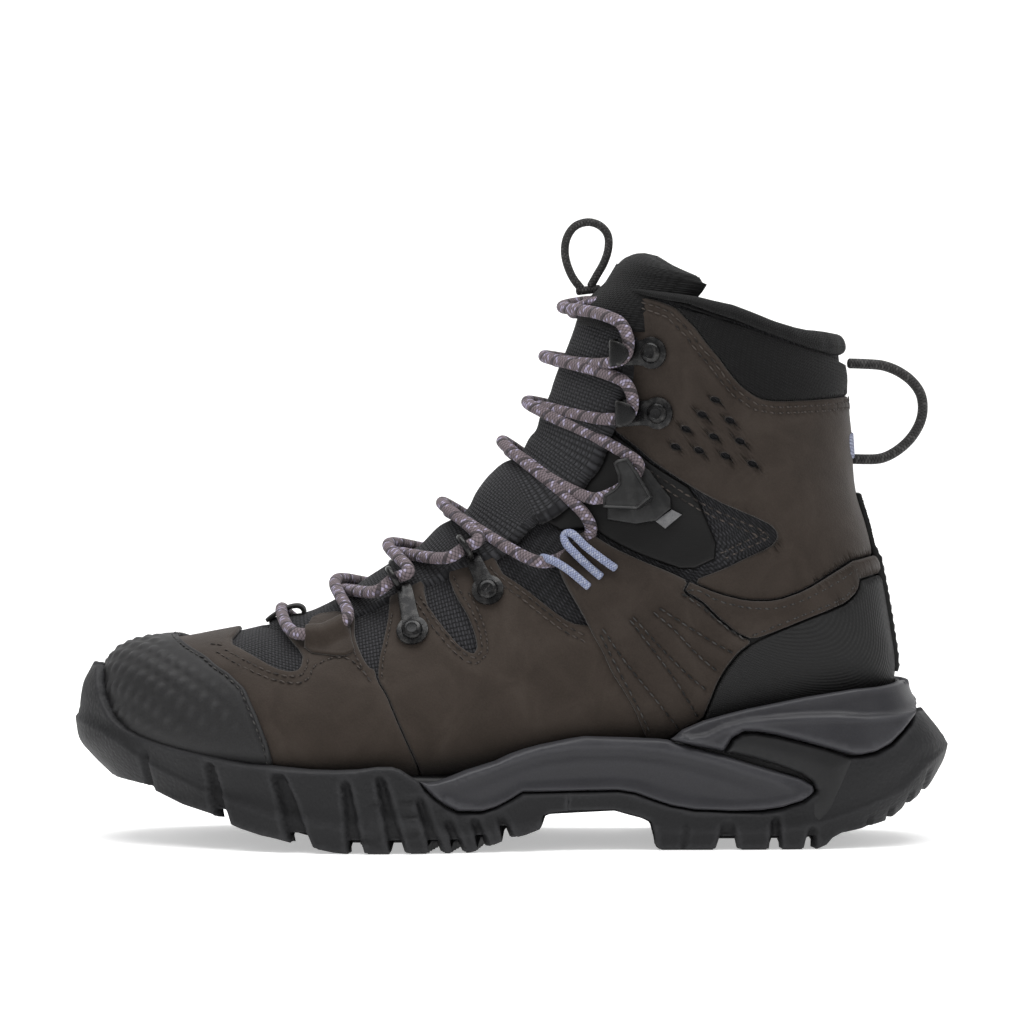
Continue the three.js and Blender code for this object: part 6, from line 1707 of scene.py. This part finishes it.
def tread():
    ks = np.concatenate([np.linspace(0, 1, 26)[:-1], np.linspace(1, 19, 380)[:-1], np.linspace(19, 20, 26)])
    v = np.sin(np.linspace(-1, 1, 81) * math.pi / 2 * 0.999)
    z = np.full(len(ks), 10.0)
    for _ in range(8):
        x = wall_point(z, -ks)[:, 0]
        z = np.interp(x, under_x, under_z)
    outer_rim, inner_rim = wall_point(z, -ks), wall_point(z, ks)
    mid, half = (outer_rim + inner_rim) / 2, (inner_rim - outer_rim) / 2
    grid = mid[:, None] + half[:, None] * v[None, :, None] * 0.998
    grid[..., 2] = tread_height(grid[..., 0], grid[..., 1])
    top = grid.copy()
    top[..., 2] = np.interp(grid[..., 0], under_x, under_z) + 7.0
    top[..., 1] = mid[:, None, 1] + (grid[..., 1] - mid[:, None, 1]) * 0.93
    top[..., 0] *= 0.985
    w, rows_ = len(v), len(ks)
    count = rows_ * w
    i, j = np.meshgrid(np.arange(rows_ - 1), np.arange(w - 1), indexing="ij")
    q = (i * w + j).ravel()
    quads = np.stack([q, q + w, q + w + 1, q + 1], -1)
    faces = [quads, quads[:, ::-1] + count]
    r = np.arange(rows_ - 1) * w
    faces.append(np.stack([r, r + w, r + w + count, r + count], -1))
    faces.append(np.stack([r + w - 1, r + 2 * w - 1, r + 2 * w - 1 + count, r + w - 1 + count], -1))
    k = np.arange(w - 1)
    faces.append(np.stack([k, k + 1, k + 1 + count, k + count], -1))
    e = (rows_ - 1) * w
    faces.append(np.stack([e + k, e + k + 1, e + k + 1 + count, e + k + count], -1))
    obj = make_object("Tread", np.concatenate([grid.reshape(-1, 3), top.reshape(-1, 3)]), np.concatenate(faces),
                      SOLE_RUBBER)
    merged(obj, 3e-6)
    face_out(obj)
    obj.data.set_sharp_from_angle(angle=math.radians(38))
    pieces["Tread"] = obj
    print("tread", len(obj.data.polygons), "faces")


tread()


def sole_core():
    """The body of the sole behind its panels: dark rubber between the tread and the midsole's edge."""
    b = np.linspace(0, 20, 220)
    z = np.full(len(b), 20.0)
    for _ in range(8):
        x = wall_point(z, -b)[:, 0]
        low = np.interp(x, under_x, under_z) + 3.0
        z = np.maximum(low, 12.0)
    high_line = np.array(FOXING[:20] + [(-20, 26), (0, 33), (20, 38), (50, 37.5), (60, 40), (80, 46), (110, 52),
                                        (136, 55)])
    high = np.interp(x, high_line[:, 0], high_line[:, 1]) - 1.2
    levels = np.linspace(0, 1, 16)
    rings = []
    for t in levels:
        zz = np.clip(low + (high - low) * t, 0, 61)
        for sign in (-1, 1):
            p = wall_point(zz, sign * b) - Wall.normal(zz, sign * b) * 3.6
            rings.append(p)
    grid = np.array(rings).reshape(len(levels), 2, len(b), 3)
    grid[:, :, 0, 1] = grid[:, :, 0, 1].mean(1, keepdims=True)
    grid[:, :, -1, 1] = grid[:, :, -1, 1].mean(1, keepdims=True)
    n, m = len(levels), len(b)
    index = np.arange(n * 2 * m).reshape(n, 2, m)
    faces = []
    for s in (0, 1):
        a = index[:, s]
        faces.append(np.stack([a[:-1, :-1], a[:-1, 1:], a[1:, 1:], a[1:, :-1]], -1).reshape(-1, 4))
    for level in (0, -1):
        a = index[level]
        faces.append(np.stack([a[0, :-1], a[0, 1:], a[1, 1:], a[1, :-1]], -1).reshape(-1, 4))
    obj = make_object("Sole_Core", grid.reshape(-1, 3), np.concatenate(faces), WING_RUBBER)
    merged(obj, 3e-6)
    face_out(obj)
    pieces["Sole_Core"] = obj


sole_core()

# %% [markdown]
# ## Webbing, rivets, rings and hooks
# Hardware is made flat at the origin, X towards the heel, Y up the boot and Z outwards, then seated on the face.
# Stamped parts are outlines with a rounded edge, bent ones are a band swept along a path, rivets are turned.
# A bevel modifier would round every corner alike, so the rounding is drawn in.

# %% Makers for hardware
PLATE, GAP = 1.2, 0.3


def seated(points, x, z, side, out):
    u, turn = on_face(x, z)
    normal = outward(u, turn * side)
    up = unit(np.array([0, 0, 1.0]) - normal * normal[2])
    back = np.cross(up, normal) * (1 if side < 0 else -1)
    points = np.asarray(points, float)
    return at(x, z, side, out) + points @ np.stack([back, up, normal])


def layered(rings):
    """A closed solid from rings of points with the same count, capped at both ends."""
    n = len(rings[0])
    faces = []
    for i in range(len(rings) - 1):
        for j in range(n):
            k = (j + 1) % n
            faces.append((i * n + j, i * n + k, (i + 1) * n + k, (i + 1) * n + j))
    faces += [tuple(range(n))[::-1], tuple((len(rings) - 1) * n + j for j in range(n))]
    return np.concatenate(rings), faces


def slab(outline, thick, lift, edge=0.35, times=2):
    """A stamped plate with rounded edges. Its outline is rounded too, times over."""
    p = densify(rounded(outline, True, times) if times else np.array(list(outline) + [outline[0]], float), 0.7)
    p = p[:-1] if np.linalg.norm(p[0] - p[-1]) < 1e-6 else p
    tangent = np.roll(p, -1, 0) - np.roll(p, 1, 0)
    inward = unit(np.stack([-tangent[:, 1], tangent[:, 0]], -1))
    area = (p[:, 0] * np.roll(p[:, 1], -1) - p[:, 1] * np.roll(p[:, 0], -1)).sum()
    inward *= np.sign(area)
    rings = []
    for inset_by, up in ((edge, 0), (edge * 0.3, edge * 0.3), (0, edge), (0, thick - edge),
                         (edge * 0.3, thick - edge * 0.3), (edge, thick)):
        q = p + inward * inset_by
        rings.append(np.column_stack([q, np.full(len(q), lift + up)]))
    return layered(rings)


def turned(profile, around=36):
    """A turned piece from radius and height pairs."""
    a = np.linspace(0, 2 * math.pi, around + 1)[:-1]
    return layered([np.stack([r * np.cos(a), r * np.sin(a), np.full(around, h)], -1) for r, h in profile])


def band(path, widths, thick, times=2):
    """A bent strip: path holds X and Z, widths the half width along Y at each place of the path."""
    p = np.column_stack([path, widths])
    for _ in range(times):
        mid = np.concatenate([p[:1], (0.75 * p[:-1] + 0.25 * p[1:]), (0.25 * p[:-1] + 0.75 * p[1:]), p[-1:]])
        order = [0] + [v for k in range(len(p) - 1) for v in (1 + k, len(p) + k)] + [len(mid) - 1]
        p = mid[order]
    tangent = unit(np.gradient(p[:, :2], axis=0))
    normal = np.stack([-tangent[:, 1], tangent[:, 0]], -1)
    rings = []
    a = np.linspace(0, 2 * math.pi, 21)[:-1]
    cy, cz = np.sign(np.cos(a)) * np.abs(np.cos(a)) ** 0.35, np.sign(np.sin(a)) * np.abs(np.sin(a)) ** 0.6
    shares = [0.8] + [1.0] * (len(p) - 2) + [0.8]
    for (x, z, w), n, share in zip(p, normal, shares):
        h = thick / 2 * share
        rings.append(np.stack([x + n[0] * h * cz, w * share * cy, z + n[1] * h * cz], -1))
    return layered(rings)


def torus(centre, axis, big, small, around=44, sides=14):
    axis = unit(np.asarray(axis, float))
    a_dir = unit(np.cross(axis, [0.3, 0.2, 1.0]))
    b_dir = np.cross(axis, a_dir)
    points, faces = [], []
    for i in range(around):
        t = 2 * math.pi * i / around
        arm = a_dir * math.cos(t) + b_dir * math.sin(t)
        for j in range(sides):
            s = 2 * math.pi * j / sides
            points.append(centre + arm * (big + small * math.cos(s)) + axis * small * math.sin(s))
            faces.append((i * sides + j, ((i + 1) % around) * sides + j,
                          ((i + 1) % around) * sides + (j + 1) % sides, i * sides + (j + 1) % sides))
    return np.array(points), faces


def built(name, parts, material, sharp=34):
    """One object out of several closed solids."""
    points, faces, start = [], [], 0
    for p, f in parts:
        points.append(p)
        faces += [tuple(i + start for i in q) for q in f]
        start += len(p)
    obj = make_object(name, np.concatenate(points), faces, material)
    face_out(obj)
    obj.data.set_sharp_from_angle(angle=math.radians(sharp))
    pieces[name] = obj
    return obj


def on_boot(solid, x, z, side, out):
    return seated(solid[0], x, z, side, out), solid[1]


DOME = [(0.05, 0), (3.6, 0), (3.6, 0.35), (3.45, 0.75), (3.1, 1.1), (2.5, 1.4), (1.9, 1.5), (1.75, 1.35), (1.2, 1.3),
        (0.05, 1.3)]
disc = [(5.5 * math.cos(a), 5.5 * math.sin(a)) for a in np.linspace(0, 2 * math.pi, 37)[:-1]]

# %% Rings, hooks and rivets
for side, word in ((-1, "outer"), (1, "inner")):
    for i, (x, z, lx, lz) in enumerate([(-33.5, 74, -38, 87.5), (-8, 87.5, -14.5, 99)]):
        base, tip = at(x, z, side, 0.0), at(lx, lz, side, 0.0)
        reach = np.linalg.norm(tip - base) * 0.985
        lean = math.asin(max(-1, min(1, (lx - x) / reach)))
        ux, uy = math.sin(lean), math.cos(lean)
        half_neck = [(0, 4.6), (4.5, 3.0), (reach - 3.0, 2.7), (reach - 0.6, 1.7)]
        neck = [(ux * s + uy * w, uy * s - ux * w) for s, w in half_neck + [(s, -w) for s, w in half_neck[::-1]]]
        a_in, a_out = (at(h[0], h[1], side, 5.0) for h in HOLDERS[i + 1][::2])
        centre = at(lx, lz, side, RING)
        built(f"Lace_Ring_{i + 1}_{word}",
              [on_boot(slab(disc, PLATE, 0, 0.4, 0), x, z, side, GAP),
               on_boot(slab(neck, PLATE, 0.02, 0.4, 1), x, z, side, GAP),
               torus(centre, a_out - a_in, 3.75, 1.15)], BLACK_METAL)
        built(f"Ring_Rivet_{i + 1}_{word}", [on_boot(turned(DOME), x, z, side, 1.6)], BLACK_METAL)
    for i, (x, z) in enumerate([(50, 148), (48, 168.5)]):
        foot = [(5.5 * math.cos(a), 5.5 * math.sin(a)) for a in np.linspace(-2.2, 2.2, 25)] \
            + [(-6, 4.2), (-12.6, 4.7), (-12.6, -4.7), (-6, -4.2)]
        hook = band(np.array([(-9, 0.6), (-12.2, 0.6), (-13.2, 1.4), (-13.3, 3.4), (-13.1, 5.6), (-12.0, 6.7),
                              (-9.5, 7.0), (-7.4, 6.9), (-5.8, 6.5)]),
                    np.array([4.6, 4.7, 4.7, 4.6, 4.6, 4.6, 4.1, 3.2, 1.0]), 1.3)
        built(f"Speed_Hook_{i + 1}_{word}", [on_boot(slab(foot, PLATE, 0, 0.4, 0), x, z, side, GAP),
                                            on_boot(hook, x, z, side, GAP)], BLACK_METAL)
        built(f"Speed_Rivet_{i + 1}_{word}", [on_boot(turned(DOME), x, z, side, 1.6)], BLACK_METAL)
    local = lambda pts: [(a - 40, b - 120.5) for a, b in pts]
    rim = [(36.3, 130.2), (38, 126), (38.2, 123), (36.6, 120.9), (33, 118.7), (33, 114.9), (44.4, 114.5), (49.3, 118.5),
           (44, 127), (40.6, 131.7), (37.6, 131.1)]
    top = np.array(local(rim), float)
    rim_path = densify(np.concatenate([top, top[:1]]), 0.7)[:-1]
    around_rim = np.column_stack([rim_path * 0.965, np.full(len(rim_path), 7.55)])
    a = np.linspace(0, 2 * math.pi, 9)[:-1]
    tangent = unit(np.roll(around_rim, -1, 0) - np.roll(around_rim, 1, 0))
    out_dir = np.cross(tangent, [0, 0, 1.0])
    m, s = len(around_rim), 8
    rim_points = (around_rim[:, None] + 0.55 * (out_dir[:, None] * np.cos(a)[None, :, None]
                                               + np.array([0, 0, 1.0]) * np.sin(a)[None, :, None])).reshape(-1, 3)
    rim_faces = [(i * s + j, ((i + 1) % m) * s + j, ((i + 1) % m) * s + (j + 1) % s, i * s + (j + 1) % s)
                 for i in range(m) for j in range(s)]
    built(f"Lock_Hook_{word}", [
        on_boot(slab(local([(33, 111.5), (43, 110), (50, 111.2), (55, 115.5), (54.6, 119), (47, 128.5), (40, 132.4),
                            (36.5, 130.5), (38, 122), (33, 118.5)]), 1.3, 0, 0.45, 0), 40, 120.5, side, 0.6),
        on_boot(slab(local([(42.4, 114.6), (44.3, 114.7), (49, 118.6), (47.2, 121.6), (45.3, 119.8), (43.2, 117)]),
                     6.2, 0.6, 0.4, 1), 40, 120.5, side, 0.6),
        on_boot(slab(local(rim), 1.5, 6.1, 0.5, 0), 40, 120.5, side, 0.6),
        on_boot((rim_points, rim_faces), 40, 120.5, side, 0.6)], HOOK_PLASTIC)
    built(f"Grey_Tab_{word}", [on_boot(slab([(9.6, -9.4), (15.1, -5.4), (18.6, -7.1), (13, -11.9)], 0.9, 0, 0.25, 0),
                                       40, 120.5, side, 0.2)], GREY_TAB)

# %% Tunnels, webbing loop, spine and heel tab
TUNNEL = [(-70.5, 66.8), (-70.3, 74), (-68, 77.6), (-57, 79.6), (-55, 76), (-54.2, 71), (-52.7, 67.2), (-57, 65.4)]
tunnel_run = np.array([at(x, z, -1, 0.0) for x, z, _ in HOLDERS[0]])


def tunnel_relief(base, far, pts):
    """The tunnel stands up in a ridge where the lace runs through it."""
    near = np.full(len(base), 1e9)
    for p, q in zip(densify(tunnel_run, 1.0)[:-1], densify(tunnel_run, 1.0)[1:]):
        d = base - p
        along = unit(q - p)
        off = np.linalg.norm(d - along * np.clip((d @ along), 0, np.linalg.norm(q - p))[:, None], axis=1)
        near = np.minimum(near, off)
    return 4.6 * np.exp(-(near / 3.5) ** 4) - 0.25 * np.exp(-((far - 1.4) / 0.35) ** 2)


panel("Lace_Tunnel", [side_loop(TUNNEL)], LEATHER_BROWN, 0.1, 1.2, relief=tunnel_relief, spacing=0.9)
built("Throat_Loop", [(np.column_stack([p[:, 0], p[:, 1] + MIDDLE(-78), p[:, 2]]), f) for p, f in [
    band(np.array([(-84.6, 75.6), (-82.6, 77.2), (-79.5, 79.2), (-76, 80.6), (-73.4, 80.8), (-71.9, 79.8),
                   (-71.6, 78.2),
                   (-73.2, 76.6)]), np.full(8, 6.0), 1.5)]], WEBBING)
spine_loop = []
for _, z in densify([(0, 57.4), (0, 119.2)], 0.9):
    far_x = np.interp(z, [56, 66, 80, 95, 105, 119.5], [133, 132.4, 130, 127.6, 125.8, 120.8])
    u, _ = on_face(far_x - 1.0, z)
    spine_loop.append((u, z))
spine_u = np.array([u for u, _ in spine_loop])


def turn_off_back(u, wide):
    """The turn, short of the back, at which the face stands wide from the middle."""
    low, high = np.full(len(u), math.pi * 0.6), np.full(len(u), math.pi)
    for _ in range(30):
        mid = (low + high) / 2
        y = np.abs(face(u, mid)[:, 1])
        low, high = np.where(y > wide, mid, low), np.where(y > wide, high, mid)
    return (low + high) / 2


def both_ways(u, turn):
    """A loop over the back of the heel from its one side."""
    return np.concatenate([np.stack([u, turn], -1), np.stack([u, 2 * math.pi - turn], -1)[::-1]])


spine_turn = turn_off_back(spine_u, 5.5)


def spine_relief(base, far, pts):
    """Ribbed strip that sinks to the leather above the heel band."""
    return 0.3 * np.sin(base[:, 2] * 1.9) * (far > 1.6) - 0.3 * np.exp(-((far - 1.6) / 0.4) ** 2) \
        - 1.4 * np.clip((base[:, 2] - 97) / 5, 0, 1)


panel("Heel_Spine", [both_ways(spine_u, spine_turn)], SMOOTH_FILM, -0.6, 2.9, mirror=False, spacing=1.1,
      relief=spine_relief)
tab_z = np.linspace(131.2, 140.6, 40)
tab_u, _ = on_face(np.full(40, 117.8), tab_z)
tab_wide = 9.5 * np.clip(1 - (np.abs(tab_z - 135.9) / 4.75) ** 4, 0.02, 1) ** 0.5
tab_turn = turn_off_back(tab_u, tab_wide)
panel("Heel_Tab", [both_ways(tab_u, tab_turn)],
      BLUE_TAB, -1.2, 0.7, mirror=False, spacing=0.7, roll=0.6)

# %% [markdown]
# ## The stitching
# Each seam was sewn with a thick thread, about three stitches to the centimetre. The rows are known already, so a
# cloud of points is laid along them with the way the seam runs, and Geometry Nodes put one rounded stitch on each
# point. One stitch then has few faces, the rows stay even, and thickness and length can be changed in one place.

# %% Stitches on the seams
def stitch_cloud(name, rows, pitch):
    places, runs, outs = [], [], []
    for line, height in rows:
        p = face(line[:, 0], line[:, 1])
        n = outward(line[:, 0], line[:, 1])
        p = p + n * (height + 0.02)
        arc = np.concatenate([[0], np.cumsum(np.linalg.norm(np.diff(p, axis=0), axis=1))])
        marks = np.arange(pitch * 0.5, arc[-1], pitch)
        if not len(marks):
            continue
        here = np.stack([np.interp(marks, arc, p[:, k]) for k in range(3)], -1)
        fore = np.stack([np.interp(marks + 0.5, arc, c) - np.interp(marks - 0.5, arc, c) for c in p.T], -1)
        up = np.stack([np.interp(marks, arc, n[:, k]) for k in range(3)], -1)
        fore = unit(fore) + 0.07 * rng.standard_normal(fore.shape)
        places.append(here)
        runs.append(unit(fore))
        outs.append(unit(up))
    places, runs, outs = map(np.concatenate, (places, runs, outs))
    mesh = bpy.data.meshes.new(name)
    mesh.from_pydata(((places + MOVE) / 1000).tolist(), [], [])
    for key, values in (("run", runs), ("out", outs)):
        attribute = mesh.attributes.new(key, "FLOAT_VECTOR", "POINT")
        attribute.data.foreach_set("vector", values.ravel())
    obj = bpy.data.objects.new(name, mesh)
    root.objects.link(obj)
    return obj


def stitch_tree_of(name, material):
    tree = bpy.data.node_groups.new(name, "GeometryNodeTree")
    tree.interface.new_socket("Geometry", in_out="INPUT", socket_type="NodeSocketGeometry")
    length = tree.interface.new_socket("Stitch Length", in_out="INPUT", socket_type="NodeSocketFloat")
    width = tree.interface.new_socket("Thread Width", in_out="INPUT", socket_type="NodeSocketFloat")
    uneven = tree.interface.new_socket("Unevenness", in_out="INPUT", socket_type="NodeSocketFloat")
    seed = tree.interface.new_socket("Seed", in_out="INPUT", socket_type="NodeSocketInt")
    tree.interface.new_socket("Geometry", in_out="OUTPUT", socket_type="NodeSocketGeometry")
    add, link = tree.nodes.new, tree.links.new
    entry, exit_ = add("NodeGroupInput"), add("NodeGroupOutput")
    points = add("GeometryNodeMeshToPoints")
    ball = add("GeometryNodeMeshUVSphere")
    ball.inputs["Segments"].default_value, ball.inputs["Rings"].default_value = 8, 6
    ball.inputs["Radius"].default_value = 0.5
    size = add("ShaderNodeCombineXYZ")
    vary = add("FunctionNodeRandomValue")
    vary.inputs["Min"].default_value = 0.0
    stretch = add("ShaderNodeMath")
    stretch.operation = "MULTIPLY_ADD"
    run, out = add("GeometryNodeInputNamedAttribute"), add("GeometryNodeInputNamedAttribute")
    for node, key in ((run, "run"), (out, "out")):
        node.data_type = "FLOAT_VECTOR"
        node.inputs["Name"].default_value = key
    first, second = add("FunctionNodeAlignRotationToVector"), add("FunctionNodeAlignRotationToVector")
    first.axis, second.axis = "X", "Z"
    second.pivot_axis = "X"
    place = add("GeometryNodeInstanceOnPoints")
    real = add("GeometryNodeRealizeInstances")
    smooth = add("GeometryNodeSetShadeSmooth")
    finish = add("GeometryNodeSetMaterial")
    finish.inputs["Material"].default_value = material
    link(entry.outputs["Geometry"], points.inputs["Mesh"])
    link(points.outputs[0], place.inputs["Points"])
    link(ball.outputs["Mesh"], place.inputs["Instance"])
    link(entry.outputs["Seed"], vary.inputs["Seed"])
    link(entry.outputs["Unevenness"], vary.inputs["Max"])
    link(vary.outputs["Value"], stretch.inputs[0])
    link(entry.outputs["Stitch Length"], stretch.inputs[1])
    link(entry.outputs["Stitch Length"], stretch.inputs[2])
    link(stretch.outputs[0], size.inputs["X"])
    link(entry.outputs["Thread Width"], size.inputs["Y"])
    link(entry.outputs["Thread Width"], size.inputs["Z"])
    link(size.outputs[0], place.inputs["Scale"])
    link(run.outputs[0], first.inputs["Vector"])
    link(first.outputs["Rotation"], second.inputs["Rotation"])
    link(out.outputs[0], second.inputs["Vector"])
    link(second.outputs["Rotation"], place.inputs["Rotation"])
    link(place.outputs["Instances"], real.inputs[0])
    link(real.outputs[0], smooth.inputs[0])
    link(smooth.outputs[0], finish.inputs["Geometry"])
    link(finish.outputs[0], exit_.inputs[0])
    return tree, [s.identifier for s in (length, width, uneven, seed)]


for name, rows, material in (("Stitches_Upper", [s for s in STITCHES if s[1] == 0], THREAD_BROWN),
                             ("Stitches_Overlay", [s for s in STITCHES if s[1] > 0], THREAD_BLACK)):
    cloud = stitch_cloud(name + "_Rows", rows, 3.0)
    tree, keys = stitch_tree_of(name, material)
    sewn = cloud.modifiers.new("Stitches", "NODES")
    sewn.node_group = tree
    for key, value in zip(keys, (0.0023, 0.00062, 0.12, 7)):
        sewn[key] = value
    mesh = bpy.data.meshes.new_from_object(cloud.evaluated_get(bpy.context.evaluated_depsgraph_get()))
    mesh.name = name
    obj = bpy.data.objects.new(name, mesh)
    root.objects.link(obj)
    mesh.materials.clear()
    mesh.materials.append(material)
    mesh.polygons.foreach_set("material_index", [0] * len(mesh.polygons))
    cloud.modifiers.clear()
    bpy.data.objects.remove(cloud)
    pieces[name] = obj
    print(name, len(mesh.polygons), "faces")

# %% Pieces that stay as the frame has them
for key, finish in (("footbed", BED_FOAM), ("insole_board", BOARD), ("toe_puff", SMOOTH_FILM),
                    ("heel_stiffener", SMOOTH_FILM), ("shank", STEEL), ("lace_tip_1", HOOK_PLASTIC),
                    ("lace_tip_2", HOOK_PLASTIC)):
    kept = nodes[key]
    if not kept.data.materials:
        kept.data.materials.append(finish)
    for k in range(len(kept.data.materials)):
        kept.data.materials[k] = finish
print("hardware and stitches done")

# %% [markdown]
# ## The bodies of the frame
# Every piece rides on its body of the frame, and the frame pieces that it stands for are hidden.

# %% Bodies, slots and what each piece stands for
SIDES = ("outer", "inner")
STANDS = {
    "Vamp": ("boot", "nubuck", ["vamp"]),
    "Ankle_Panel": ("boot", "nubuck", ["ankle_panel_outer", "ankle_panel_inner"]),
    "Heel_Band": ("boot", "nubuck", ["heel_band_outer", "heel_band_inner"]),
    "Heel_Counter": ("boot", "counter_film", ["heel_counter_cover"]),
    "Toe_Cap": ("boot", "cap_rubber", ["toe_cap"]),
    "Bootie": ("boot", "bootie_mesh", ["bootie"]),
    "Collar_Padding": ("boot", "bootie_mesh", ["collar_padding"]),
    "Collar_Roll": ("boot", "bootie_mesh", ["collar_roll"]),
    "Tongue": ("boot", "bootie_mesh", ["tongue"]),
    "Tongue_Flap": ("boot", "bootie_mesh", ["tongue"]),
    "Lace": ("boot", "lace_braid", ["lace"]),
    "Heel_Loop": ("heel_pull", "black_webbing", ["heel_loop"]),
    "Tongue_Loop": ("tongue_pull", "black_webbing", ["tongue_loop"]),
    "Tongue_Loop_Bar": ("tongue_pull", "black_webbing", ["tongue_loop"]),
    "Outsole_Front": ("boot", "sole_rubber", ["outsole"]),
    "Outsole_Heel": ("boot", "sole_rubber", ["outsole"]),
    "Sole_Core": ("boot", "sole_rubber", ["midsole", "outsole"]),
    "Tread": ("boot", "sole_rubber", ["outsole"]),
    "Throat_Loop": ("boot", "black_webbing", ["throat_loop"]),
    "Heel_Spine": ("boot", "counter_film", ["heel_spine"]),
    "Heel_Tab": ("boot", "blue_webbing", ["heel_tab"]),
    "Heel_Cradle": ("boot", "midsole_foam", ["heel_cradle"]),
}
for w in SIDES:
    STANDS[f"Quarter_{w}"] = ("boot", "nubuck", [f"quarter_{w}"])
    STANDS[f"Facing_{w}"] = ("boot", "counter_film", [f"facing_{w}"])
    STANDS[f"Saddle_{w}"] = ("boot", "nubuck", [f"saddle_{w}"])
    STANDS[f"Blue_Cord_single_{w}"] = ("boot", "blue_webbing", [f"blue_cord_single_{w}"])
    STANDS[f"Blue_Cord_hairpin_{w}"] = ("boot", "blue_webbing", [f"blue_cord_hairpin_{w}"])
    STANDS[f"Midsole_Bridge_{w}"] = ("boot", "midsole_foam", ["midsole"])
    STANDS[f"Heel_Wing_{w}"] = ("boot", "sole_rubber", ["heel_cradle"])
    STANDS[f"Lace_Tunnel_{w}"] = ("boot", "nubuck", [f"lace_tunnel_{w}"])
    STANDS[f"Lock_Hook_{w}"] = ("boot", "hard_plastic", [f"lock_hook_{w}"])
    STANDS[f"Grey_Tab_{w}"] = ("boot", "hard_plastic", [f"lock_hook_{w}"])
    for i in (1, 2):
        STANDS[f"Lace_Ring_{i}_{w}"] = ("boot", "black_metal", [f"lace_ring_{i}_{w}"])
        STANDS[f"Ring_Rivet_{i}_{w}"] = ("boot", "black_metal", [f"ring_rivet_{i}_{w}"])
        STANDS[f"Speed_Hook_{i}_{w}"] = ("boot", "black_metal", [f"speed_hook_{i}_{w}"])
        STANDS[f"Speed_Rivet_{i}_{w}"] = ("boot", "black_metal", [f"speed_rivet_{i}_{w}"])
for name, obj in pieces.items():
    body, slot, stands = STANDS.get(name, ("boot", None, []))
    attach(obj, body)
    if stands:
        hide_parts(*stands)
print(len(pieces), "pieces,", sum(len(p.data.polygons) for p in pieces.values() if p.type == "MESH"), "faces")
